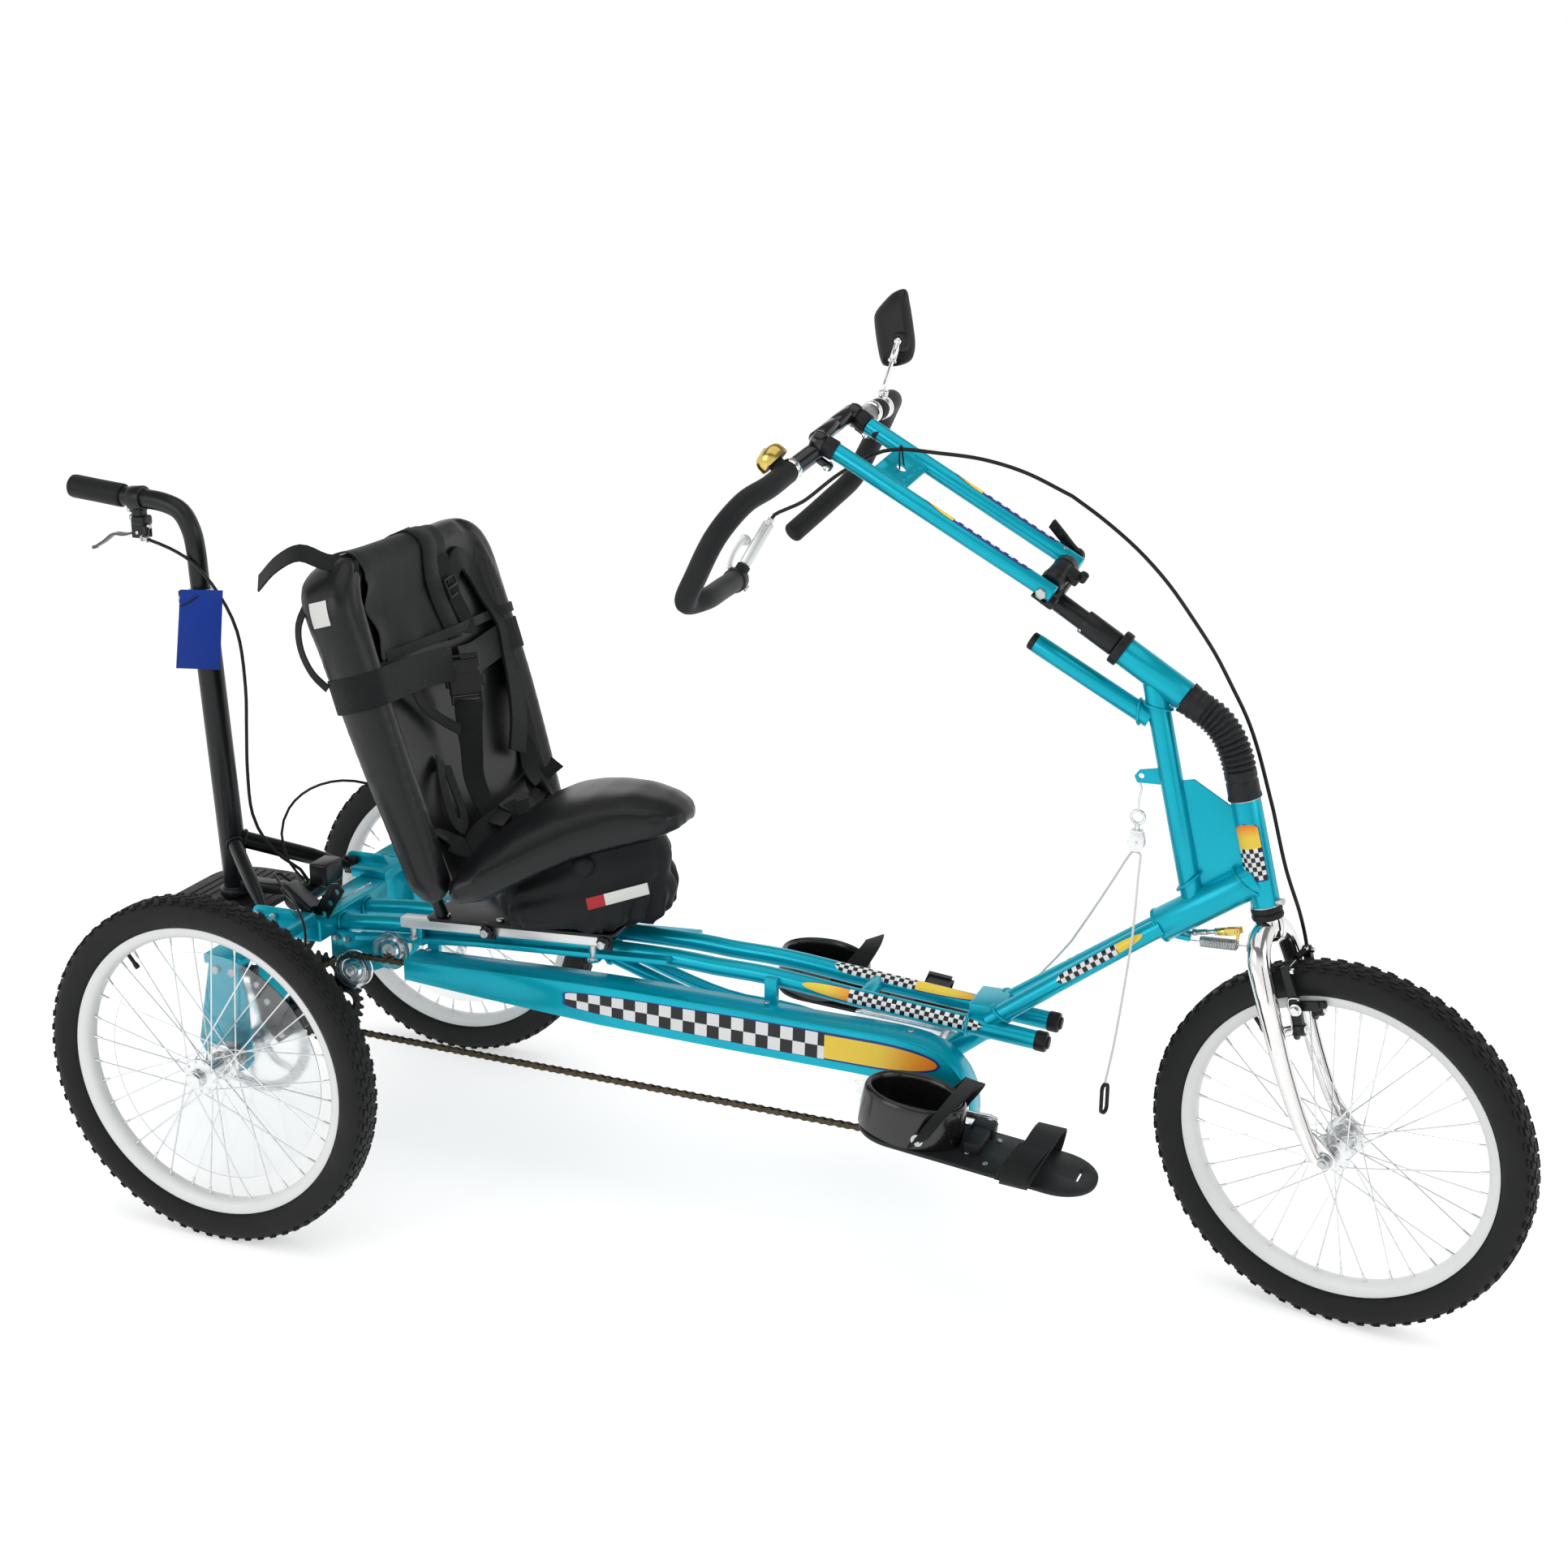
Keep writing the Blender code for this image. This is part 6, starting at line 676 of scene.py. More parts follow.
# The trim film: printed vinyl strips on the rails, boom, arms, head tube and chain guard, in a plain
# black and white checker and a plain orange to yellow flash. They are stuck on and 0.2 mm thick.
def film(name, start, end, radius, facing, half_arc, narrow=(), size=(0.1, 0.02), steps=(40, 10)):
    """A strip wrapped part way round a tube, or flat where radius is 0 and half_arc its half width."""
    start, end = Vector(start), Vector(end)
    along = (end - start).normalized()
    out = Vector(facing)
    out = (out - along * out.dot(along)).normalized()
    across = along.cross(out)
    deselect()
    bpy.ops.mesh.primitive_grid_add(x_subdivisions=steps[0], y_subdivisions=steps[1], size=2.0)
    piece = bpy.context.object
    piece.name = name
    film_map = piece.data.uv_layers.active.data
    for loop in piece.data.loops:
        film_map[loop.index].uv = (film_map[loop.index].uv[0] * size[0], film_map[loop.index].uv[1] * size[1])
    for vert in piece.data.vertices:
        share, side = (vert.co.x + 1.0) / 2.0, vert.co.y
        width = 1.0
        for from_end, reach, *least in narrow:
            distance = share if from_end == "start" else 1.0 - share
            if distance < reach:
                least_width = least[0] if least else 0.0
                width *= least_width + (1.0 - least_width) * math.sqrt(max(0.0, 1.0 - (1.0 - distance / reach) ** 2))
        side *= max(0.02, width)
        here = start.lerp(end, share)
        if radius:
            angle = side * half_arc
            vert.co = here + (out * math.cos(angle) + across * math.sin(angle)) * radius
        else:
            vert.co = here + across * side * half_arc
    bpy.ops.object.mode_set(mode="EDIT")
    bpy.ops.mesh.select_all(action="SELECT")
    bpy.ops.mesh.normals_make_consistent(inside=False)
    bpy.ops.object.mode_set(mode="OBJECT")
    middle = piece.data.polygons[len(piece.data.polygons) // 2]
    if middle.normal.dot(out) < 0.0:
        piece.data.flip_normals()
    bpy.ops.object.shade_smooth()
    return piece


def over(tree, share, pattern, base):
    """One pattern laid lightly over another."""
    return add(tree, "ShaderNodeMath", {"operation": "MULTIPLY_ADD", 1: share}, {0: pattern, 2: base}).outputs[0]


# Printed vinyl: 5.5 mm black and white squares under a glossy laminate, a little worn
checker_film, tree, shader, place = finish("printed_checker_vinyl", by_uv=True, Roughness=0.28,
    Specular_IOR_Level=0.35, Coat_Weight=0.15, Coat_Roughness=0.1)
squares = add(tree, "ShaderNodeTexChecker", {
    "Scale": 1.0 / 0.0055, "Color1": colour("#0c0d12"), "Color2": colour("#fdfefe")}, {"Vector": place})
wear = noise(tree, place, 350.0, 3.0)
worn = add(tree, "ShaderNodeMix", {"data_type": "RGBA", "blend_type": "MULTIPLY", 7: colour("#eceeef")}, {
    0: wear, 6: squares.outputs[0]})
tree.links.new(worn.outputs[2], shader.inputs["Base Color"])
shine(tree, shader, 0.18, 0.36, wear)

# The same vinyl printed with a flash that runs from orange to yellow, a dark keyline at its edges
flash_film, tree, shader, place = finish("printed_flash_vinyl", by_uv=True, Roughness=0.28, Specular_IOR_Level=0.3,
    Coat_Weight=0.15, Coat_Roughness=0.1)
split = add(tree, "ShaderNodeSeparateXYZ", {}, {0: place})
fade = add(tree, "ShaderNodeMapRange", {"From Min": 0.055, "From Max": 0.115, "To Min": 0.0, "To Max": 1.0}, {
    "Value": split.outputs["X"]})
grain = noise(tree, place, 900.0)
run = over(tree, 0.1, grain, fade.outputs[0])
tint(tree, shader, "#ffe04e", "#ff8a2c", run)

checkers = []
flashes = []
keylines = []
rail_z = {0.7464: 0.37, 0.7668: 0.3679, 0.8127: 0.3633, 0.8844: 0.357, 0.9788: 0.3489, 0.9997: 0.3471}
for y, facing, flash_x, checker_x, pointed in (
    (-RAIL_Y, (0.0, -1.0, 0.45), (0.7464, 0.8127), (0.8127, 0.9997), "start"),
    (RAIL_Y, (0.0, -0.55, 1.0), (0.8844, 0.9788), (0.7668, 0.8844), "end"),
):
    flash_line = [from_axle(x, y, rail_z[x]) for x in flash_x]
    checker_line = [from_axle(x, y, rail_z[x]) for x in checker_x]
    flashes.append(film("flash", *flash_line, RAIL_RADIUS + 0.0005, facing, 0.66, [(pointed, 0.95)], (0.1, 0.016)))
    keylines.append(film("keyline", *flash_line, RAIL_RADIUS + 0.0003, facing, 0.8, [(pointed, 0.95)], (0.1, 0.016)))
    other = "end" if pointed == "start" else "start"
    checkers.append(film(
        "checker", *checker_line, RAIL_RADIUS + 0.0005, facing, 0.72, [(other, 0.2)],
        ((checker_line[1] - checker_line[0]).length * 0.82, 0.0165), (60, 10)))
for side, facing in ((-1.0, (-0.2, -1.0, 0.35)), (1.0, (-0.6, -0.35, 1.0))):
    start, end = from_axle(1.004, side * 0.03, 0.356), from_axle(1.2183, side * 0.013, 0.5115)
    checkers.append(film(
        "checker", start.lerp(end, 0.43), start.lerp(end, 0.78), 0.0129, facing, 0.55, [("start", 0.2)],
        (0.078, 0.011)))
    flashes.append(film(
        "flash", start.lerp(end, 0.78), start.lerp(end, 0.93), 0.0129, facing, 0.5, [("end", 0.95)], (0.07, 0.011)))
head_face = (-0.2, -1.0, 0.0)
checkers.append(film(
    "checker", head_foot + head_up * 0.0385, head_foot + head_up * 0.08, 0.01915, head_face, 0.85, (),
    (0.0385, 0.033), (20, 20)))
flashes.append(film(
    "flash", head_foot + head_up * 0.08, head_foot + head_up * 0.112, 0.01915, head_face, 0.85, [("end", 0.25)],
    (0.12, 0.033), (20, 20)))
keylines.append(film(
    "keyline", head_foot + head_up * 0.0365, head_foot + head_up * 0.1135, 0.01902, head_face, 0.92, [("end", 0.12)],
    (0.08, 0.033), (20, 20)))
fit(checkers, "checker_film", "trike", None, checker_film)
fit(flashes, "flash_film", "trike", None, flash_film)

# The printed keyline: deep blue ink, with the dots of the print just showing
keyline_ink, tree, shader, place = finish("printed_blue_keyline", by_uv=True, Roughness=0.3, Specular_IOR_Level=0.3,
    Coat_Weight=0.15, Coat_Roughness=0.1)
dots = noise(tree, place, 1200.0)
tint(tree, shader, "#1c2d74", "#2b47a0", dots)
fit(keylines, "keyline_film", "trike", None, keyline_ink)


# The wheels: 500 mm over knobbly black tyres on white painted box-section rims, laced with 36 steel
# spokes crossed three times to bright hubs. The rear pair carry thin clear spoke guards.
def copy_of(piece, matrix):
    """A copy with its own mesh, moved by a matrix."""
    deselect()
    piece.select_set(True)
    bpy.context.view_layer.objects.active = piece
    bpy.ops.object.duplicate(linked=False)
    made = bpy.context.object
    made.data.transform(matrix)
    if matrix.to_3x3().determinant() < 0.0:
        made.data.flip_normals()
    return made


WHEEL_RADIUS = 0.25


def on_axle(y):
    """A point on the rear wheels' axis."""
    return from_axle(0.0, y, WHEEL_RADIUS)


def turned(name, profile, centre, axis, steps=96, closed=False):
    """Spins a line of (radius, distance along) points about an axis."""
    turn = axis_turn(axis, (0.0, 0.0, 1.0))
    deselect()
    bpy.ops.mesh.primitive_circle_add(vertices=max(3, len(profile)), radius=0.01, fill_type="NOTHING")
    piece = bpy.context.object
    piece.name = name
    for vert, (radius, reach) in zip(piece.data.vertices, profile):
        vert.co = Vector(centre) + turn @ Vector((radius, 0.0, reach))
    bpy.ops.object.mode_set(mode="EDIT")
    if not closed:
        bpy.ops.mesh.select_all(action="DESELECT")
        bpy.ops.object.mode_set(mode="OBJECT")
        last = len(profile) - 1
        for edge in piece.data.edges:
            edge.select = set(edge.vertices) == {0, last}
        bpy.ops.object.mode_set(mode="EDIT")
        bpy.ops.mesh.delete(type="EDGE_FACE")
    bpy.ops.mesh.select_all(action="SELECT")
    bpy.ops.mesh.spin(steps=steps, angle=math.tau, center=Vector(centre), axis=Vector(axis).normalized())
    bpy.ops.mesh.remove_doubles(threshold=0.00001)
    bpy.ops.mesh.normals_make_consistent(inside=False)
    bpy.ops.object.mode_set(mode="OBJECT")
    bpy.ops.object.shade_smooth_by_angle(angle=math.radians(38.0))
    return piece


def spun_copies(piece, count, centre, axis):
    """Repeats a piece at even steps round an axis, within its own mesh."""
    deselect()
    piece.select_set(True)
    bpy.context.view_layer.objects.active = piece
    bpy.ops.object.mode_set(mode="EDIT")
    bpy.ops.mesh.select_all(action="SELECT")
    bpy.ops.mesh.spin(
        steps=count - 1, dupli=True, angle=math.tau * (count - 1) / count, center=Vector(centre), axis=Vector(axis))
    bpy.ops.object.mode_set(mode="OBJECT")
    return piece


# Vulcanised tread rubber: near black and matt, with mould lines round the wall and a little dust
tread_rubber, tree, shader, place = finish("vulcanised_tyre_rubber", Roughness=0.7, Specular_IOR_Level=0.3)
dust = noise(tree, place, 30.0, 4.0)
tint(tree, shader, "#0c0d0d", "#171819", dust)
pores = noise(tree, place, 900.0)
shine(tree, shader, 0.5, 0.75, dust)
emboss(tree, shader, 0.25, 0.0003, pores)

# White powder coat on the rims: glossy, slightly warm, with a faint orange peel
white_coat, tree, shader, place = finish("white_powder_coat", Roughness=0.28, IOR=1.5)
tone = noise(tree, place, 18.0)
tint(tree, shader, "#f6f8f7", "#fdfefd", tone)
peel = noise(tree, place, 420.0)
emboss(tree, shader, 0.12, 0.0002, peel)

# Drawn and polished steel for spokes and hubs: bright, with fine lines along the draw
polished_steel, tree, shader, place = finish("polished_spoke_steel", Metallic=1.0, Roughness=0.2)
lines = noise(tree, place, 260.0, 3.0)
tint(tree, shader, "#d2d5d7", "#f1f2f2", lines)
shine(tree, shader, 0.14, 0.3, lines)

# Clear polycarbonate: water clear with a soft moulded waviness that catches the light
clear_sheet, tree, shader, place = finish(
    "clear_polycarbonate", Roughness=0.06, IOR=1.58, Transmission_Weight=1.0, Base_Color=(0.93, 0.95, 0.96, 1.0))
wave = noise(tree, place, 22.0, 1.0)
shine(tree, shader, 0.03, 0.16, wave)
emboss(tree, shader, 0.3, 0.002, wave)

AXLE = (0.0, 1.0, 0.0)
wall_half = [
    (0.2088, 0.0118), (0.2098, 0.0148), (0.2125, 0.0178), (0.217, 0.0206), (0.223, 0.0229), (0.2292, 0.024),
    (0.2345, 0.0238), (0.2392, 0.0226), (0.243, 0.0203), (0.2457, 0.0168), (0.2472, 0.012), (0.2478, 0.006)]
tyre_profile = wall_half + [(0.248, 0.0)] + [(radius, -reach) for radius, reach in reversed(wall_half)]
tyre_model = turned("tyre model", tyre_profile, (0.0, 0.0, 0.0), AXLE, 120, closed=True)
# Each pitch of the tread has two centre blocks, two side blocks and a pair of shoulder bars
tread = []
for spin_deg, reach, tilt_deg, size in (
    (0.0, 0.0042, 0.0, (0.0022, 0.0066, 0.012)), (2.5, -0.0042, 0.0, (0.0022, 0.0066, 0.012)),
    (1.2, 0.0122, 16.0, (0.0026, 0.0066, 0.0105)), (3.7, -0.0122, -16.0, (0.0026, 0.0066, 0.0105)),
    (0.0, 0.0186, 44.0, (0.0026, 0.0066, 0.0095)), (2.5, -0.0186, -44.0, (0.0026, 0.0066, 0.0095)),
):
    crown = {0.0042: 0.2481, 0.0122: 0.247, 0.0186: 0.244}[abs(reach)]
    lean = Matrix.Rotation(math.radians(-tilt_deg), 3, "Z")
    knob = block("knob", size, (crown, reach, 0.0), 0.0007, lean, 1)
    knob.data.transform(Matrix.Rotation(math.radians(spin_deg), 4, "Y"))
    tread.append(knob)
tread_model = spun_copies(together(tread), 72, (0.0, 0.0, 0.0), AXLE)
tyre_model = together([tyre_model, tread_model])
rim_half = [
    (0.206, 0.0118), (0.2088, 0.0136), (0.2088, 0.0149), (0.2075, 0.0152), (0.2045, 0.0149), (0.201, 0.0142),
    (0.1975, 0.0126), (0.1945, 0.01), (0.1928, 0.0065), (0.1922, 0.003)]
rim_profile = rim_half + [(0.1921, 0.0)] + [(radius, -reach) for radius, reach in reversed(rim_half)]
rim_model = turned("rim model", rim_profile, (0.0, 0.0, 0.0), AXLE, 120, closed=True)
lacing = []
for order, (flange, lean_deg) in enumerate(((-1.0, 58.0), (1.0, 58.0), (-1.0, -58.0), (1.0, -58.0))):
    rim_angle = math.radians(5.0 + 10.0 * order)
    hub_angle = rim_angle + math.radians(lean_deg)
    outside = 0.002 if lean_deg > 0.0 else -0.0016
    hub_hole = Vector((0.0215 * math.sin(hub_angle), flange * (0.025 + outside), 0.0215 * math.cos(hub_angle)))
    rim_hole = Vector((0.1935 * math.sin(rim_angle), flange * 0.002, 0.1935 * math.cos(rim_angle)))
    into_rim = (rim_hole - hub_hole).normalized()
    lacing.append(tube("spoke", [hub_hole, rim_hole - into_rim * 0.004], 0.001, 8))
    lacing.append(tube("nipple", [
        rim_hole - into_rim * 0.013, rim_hole - into_rim * 0.005, rim_hole + into_rim * 0.0015], 0.0021, 10,
        [0.0016, 0.0021, 0.0023]))
    lacing.append(tube("spoke head", [
        hub_hole - leftwards(flange * 0.0012), hub_hole + leftwards(flange * 0.0012)], 0.0019, 8))
spoke_model = spun_copies(together(lacing), 9, (0.0, 0.0, 0.0), AXLE)
hub_half = [
    (0.0095, 0.0395), (0.012, 0.039), (0.0126, 0.036), (0.0126, 0.0282), (0.015, 0.0272), (0.0252, 0.0268),
    (0.026, 0.026), (0.026, 0.0242), (0.0252, 0.0235), (0.017, 0.0228), (0.0135, 0.0195), (0.0122, 0.012)]
hub_profile = hub_half + [(radius, -reach) for radius, reach in reversed(hub_half)]
hub_model = turned("hub model", hub_profile, (0.0, 0.0, 0.0), AXLE, 48, closed=True)
valve_model = together([
    pin("valve", (0.0, 0.0, -0.1945), (0.0, 0.0, -0.174), 0.0028, 16),
    pin("valve cap", (0.0, 0.0, -0.178), (0.0, 0.0, -0.17), 0.0036, 16, 0.001)])
valve_model.data.transform(Matrix.Rotation(math.radians(141.0), 4, "Y"))
guard_profile = [(0.018, 0.0285), (0.06, 0.0268), (0.162, 0.012), (0.166, 0.0108), (0.166, 0.0098), (0.161, 0.0108),
                 (0.06, 0.0257), (0.018, 0.0274)]

steered = Matrix((
    (0.97776, 0.20963, -0.00571, 0.81855), (-0.20963, 0.9763, -0.05385, -0.00779),
    (-0.00571, 0.05385, 0.99853, 0.25038), (0.0, 0.0, 0.0, 1.0)))
for label, body, at in (
    ("right", "right_wheel_set", Matrix.Translation(on_axle(-0.344))),
    ("left", "left_wheel_set", Matrix.Translation(on_axle(0.344))),
    ("front", "front_wheel_set", steered),
):
    fit(copy_of(tyre_model, at), label + "_knobbly_tyre", body, "black_rubber", tread_rubber, label + "_tyre")
    fit(copy_of(rim_model, at), label + "_white_rim", body, "white_rim", white_coat, label + "_wheel")
    spokes_and_hub = together([copy_of(spoke_model, at), copy_of(hub_model, at)])
    fit(spokes_and_hub, label + "_spokes_and_hub", body, "steel", polished_steel)
    fit(copy_of(valve_model, at), label + "_valve", body, "black_plastic", moulded_black)
    if label != "front":
        inward = 1.0 if label == "right" else -1.0
        spoke_guard = turned(
            "spoke guard", [(radius, reach * inward) for radius, reach in guard_profile], at.translation, AXLE, 96,
            closed=True)
        fit(spoke_guard, label + "_spoke_guard", body, "clear_plastic", clear_sheet)
for model in (tyre_model, rim_model, spoke_model, hub_model, valve_model):
    bpy.data.objects.remove(model, do_unlink=True)


# The rear axles: a 16 mm steel shaft through each wheel, with the drive cog's end on the right, a hex nut
# outside the hub and a drilled brake disc between the bracket's two plates.
def rotor(y):
    """A drilled disc: an outer band with rows of holes on six swept arms round a boss."""
    made = []
    ring = turned("rotor band", [
        (0.08, 0.001), (0.08, -0.001), (0.064, -0.001), (0.064, 0.001)], on_axle(y), AXLE, 72,
        closed=True)
    drills = []
    for row, (radius, shift) in enumerate(((0.0685, 0.0), (0.0722, 0.33), (0.076, 0.66))):
        angle = math.radians(10.0 * shift)
        centre = from_axle(radius * math.sin(angle), y, 0.25 + radius * math.cos(angle))
        drills.append(pin("drill", centre - Vector((0, 0.006, 0)), centre + Vector((0, 0.006, 0)), 0.0015, 8, 0.0))
    take_away(ring, spun_copies(together(drills), 36, on_axle(y), AXLE))
    made.append(ring)
    arm_line = [from_axle(x, y, 0.25 + z) for x, z in (
        (-0.006, 0.012), (0.006, 0.012), (0.015, 0.04), (0.012, 0.065), (0.004, 0.0655), (0.006, 0.042))]
    made.append(spun_copies(cut_plate("rotor arm", arm_line, (0.0, 0.002, 0.0), 0.0002), 6, on_axle(y), AXLE))
    made.append(pin("boss", on_axle(y - 0.008), on_axle(y + 0.008), 0.0175, 36, 0.0012))
    bolts = [
        cross_pin("rotor bolt", 0.0125, WHEEL_RADIUS, y + way * 0.007, y + way * 0.0098, 0.0026, 12)
        for way in (-1.0, 1.0)]
    made.append(spun_copies(together(bolts), 6, on_axle(y), AXLE))
    return made


right_axle = [
    pin("axle", on_axle(-0.384), on_axle(-0.05), 0.008, 28),
    pin("axle nut", on_axle(-0.388), on_axle(-0.38), 0.012, 6, 0.001), *rotor(-0.235)]
fit(right_axle, "right_axle_and_disc", "right_wheel_set", "steel", polished_steel, "right_axle")
left_axle = [
    pin("axle", on_axle(0.151), on_axle(0.388), 0.008, 28),
    pin("axle nut", on_axle(0.38), on_axle(0.388), 0.012, 6, 0.001), *rotor(0.235)]
fit(left_axle, "left_axle_and_disc", "left_wheel_set", "steel", polished_steel)


# The axle brackets: a beam bolted to the rear beam's end carries two pointed teal plates per side with
# pressed bearings. A black caliper on its own carrier plate grips each disc.

# Black enamel over steel: semi-gloss, with a fine orange peel and slightly worn tone
black_enamel, tree, shader, place = finish("semi_gloss_black_enamel", Roughness=0.34, Specular_IOR_Level=0.3,
    Coat_Weight=0.12, Coat_Roughness=0.2)
tone = noise(tree, place, 26.0, 3.0)
tint(tree, shader, "#0b0d0e", "#161a1c", tone)
peel = noise(tree, place, 500.0, 1.0)
shine(tree, shader, 0.26, 0.44, tone)
emboss(tree, shader, 0.15, 0.0002, peel)

for label, side in (("right", -1.0), ("left", 1.0)):
    bracket = []
    plate_line = [(-0.03, 0.392), (0.012, 0.392), (0.026, 0.33), (0.03, 0.244), (0.018, 0.229), (0.006, 0.2245),
                  (-0.02, 0.2255), (-0.04, 0.232), (-0.056, 0.262)]
    for plate_y in (side * 0.287, side * 0.165):
        bracket.append(cut_plate(
            "axle plate", [from_axle(x, plate_y, z) for x, z in plate_line], (0.0, 0.004, 0.0), 0.0008))
        bracket.append(bead(from_axle(-0.008, plate_y - side * 0.003, 0.3805), (0.0, 1.0, 0.0), 0.012))
    beam_in, beam_out = side * 0.0955, side * 0.287
    bracket.append(block(
        "bracket beam", (0.06, abs(beam_out - beam_in), 0.016), from_axle(-0.012, (beam_in + beam_out) / 2.0, 0.384),
        0.002))
    lug_line = [(-0.068, 0.372), (-0.068, 0.396), (-0.064, 0.403), (-0.058, 0.406), (-0.004, 0.406), (0.012, 0.385),
                (-0.038, 0.381)]
    bracket.append(cut_plate("brace lug", [from_axle(x, side * 0.1275, z) for x, z in lug_line], (0.0, 0.004, 0.0),
        0.0008))
    fit(bracket, label + "_axle_bracket", "trike", "teal_paint", teal_enamel, "axle_bracket_" + label)
    bearings = []
    for plate_y in (side * 0.287, side * 0.165):
        bearings.append(turned("bearing", [
            (0.022, -0.008), (0.022, 0.008), (0.0195, 0.008), (0.0185, 0.0068), (0.0125, 0.0068), (0.0115, 0.008),
            (0.0086, 0.008), (0.0086, -0.008), (0.0115, -0.008), (0.0125, -0.0068), (0.0185, -0.0068),
            (0.0195, -0.008)], on_axle(plate_y), AXLE, 48, closed=True))
    for x, z in ((-0.02, 0.3715), (0.006, 0.3715)):
        y = side * 0.2893
        bearings.append(cross_pin("plate bolt", x, z, y - side * 0.0005, y + side * 0.0045, 0.0062, 6))
    for x in (-0.058, -0.03):
        y = side * 0.1298
        bearings.append(cross_pin("lug bolt", x, 0.3935, y, y + side * 0.006, 0.006, 6))
    fit(bearings, label + "_bearings_and_bolts", "trike", "steel", zinc_plated)
    disc_y, carrier_y = side * 0.235, side * 0.274
    carrier_line = [(0.016, 0.3755), (0.036, 0.368), (0.052, 0.352), (0.086, 0.318), (0.092, 0.305), (0.092, 0.292),
                    (0.062, 0.27), (0.036, 0.3)]
    caliper_y = (disc_y + carrier_y) / 2.0 - side * 0.004
    body_block = block("caliper body", (0.034, 0.046, 0.04), from_axle(0.072, caliper_y, 0.304), 0.005, None, 4)
    take_away(body_block, block("slot", (0.12, 0.004, 0.12), from_axle(0.03, disc_y, 0.254), 0.0001))
    caliper = [
        body_block,
        cut_plate("carrier", [from_axle(x, carrier_y, z) for x, z in carrier_line], (0.0, 0.004, 0.0), 0.0008),
        block("reach", (0.03, 0.024, 0.012), from_axle(0.014, side * 0.272, 0.3692), 0.0015),
        cross_pin("piston cap", 0.072, 0.304, side * 0.2785, side * 0.285, 0.0115, 28),
        cross_pin("inner cap", 0.072, 0.304, side * 0.225, side * 0.218, 0.011, 28),
        pin("banjo", from_axle(0.072, side * 0.25, 0.3215), from_axle(0.072, side * 0.25, 0.3295), 0.0048, 20),
    ]
    fit(caliper, label + "_disc_caliper", "trike", "black_paint", black_enamel, "brake_caliper_" + label)
    caliper_bolts = []
    for x, z in ((0.05, 0.33), (0.07, 0.285), (0.034, 0.352)):
        start = from_axle(x, carrier_y + side * 0.0018, z)
        caliper_bolts.append(pin("caliper bolt", start, start + leftwards(side * 0.005), 0.0046, 20, 0.001))
    lever_line = [(0.06, 0.318), (0.066, 0.336), (0.074, 0.34), (0.079, 0.334), (0.074, 0.312), (0.067, 0.306)]
    caliper_bolts.append(cut_plate(
        "caliper lever", [from_axle(x, side * 0.2155, z) for x, z in lever_line], (0.0, 0.003, 0.0), 0.0006))
    fit(caliper_bolts, label + "_caliper_bolts", "trike", "steel", zinc_plated)


# The chain drive: a half-inch roller chain runs from the chainring under a teal guard, round a clear
# plastic tension roller, to the cog on the right axle. A larger black cog rides beside it.
CHAIN_PITCH = 0.0127


def toothed_plate(name, teeth, centre, thickness, holes=(), turn=0.0):
    """A sprocket disc with rounded roller seats between blunt teeth."""
    radius = CHAIN_PITCH / (2.0 * math.sin(math.pi / teeth))
    outline = []
    for tooth in range(teeth):
        for share, rise in ((-0.16, 0.0028), (0.0, 0.0036), (0.16, 0.0028), (0.33, -0.0022), (0.5, -0.0036),
                (0.67, -0.0022)):
            angle = math.tau * (tooth + share) / teeth + turn
            outline.append(Vector(centre) + Vector((
                (radius + rise) * math.sin(angle), 0.0, (radius + rise) * math.cos(angle))))
    return cut_plate(name, outline, (0.0, thickness, 0.0), 0.0, holes)


def wheel_tangent(first, second):
    """The angle at which a taut chain leaves the first wheel for the second."""
    dx, dz = second[0] - first[0], second[1] - first[1]
    return math.atan2(dz, dx) + math.acos((first[2] - second[2]) / math.hypot(dx, dz))


# Chain steel: dark and oily with a brown cast where grease has gathered
oiled_chain, tree, shader, place = finish("oiled_chain_steel", Metallic=0.85, Roughness=0.4)
grease = noise(tree, place, 130.0, 3.0)
tint(tree, shader, "#2a231b", "#6a5f4c", grease)
shine(tree, shader, 0.25, 0.6, grease)

CHAIN_Y = -0.08
chain_wheels = [
    (0.0, WHEEL_RADIUS, CHAIN_PITCH / (2.0 * math.sin(math.pi / 20))), (0.066, 0.307, 0.022),
    (CRANK_AHEAD, CRANK_HEIGHT, CHAIN_PITCH / (2.0 * math.sin(math.pi / 34)))]
leaving = [wheel_tangent(chain_wheels[index], chain_wheels[(index + 1) % 3]) for index in range(3)]
chain_line = []
for index, (centre_x, centre_z, radius) in enumerate(chain_wheels):
    start_angle, end_angle = leaving[index - 1], leaving[index]
    while end_angle > start_angle:
        end_angle -= math.tau
    steps = max(4, math.ceil((start_angle - end_angle) / math.radians(4.0)))
    for step in range(steps + 1):
        angle = start_angle + (end_angle - start_angle) * step / steps
        chain_line.append(from_axle(centre_x + radius * math.cos(angle), CHAIN_Y,
            centre_z + radius * math.sin(angle)))
chain_line.append(chain_line[0])
around = [0.0]
for first, second in zip(chain_line, chain_line[1:]):
    around.append(around[-1] + (second - first).length)
link_count = 2 * round(around[-1] / CHAIN_PITCH / 2.0)


def on_chain(distance):
    """The point at a distance along the chain."""
    distance %= around[-1]
    for index in range(len(chain_line) - 1):
        if distance <= around[index + 1]:
            share = (distance - around[index]) / (around[index + 1] - around[index])
            return chain_line[index].lerp(chain_line[index + 1], share)
    return chain_line[-1]


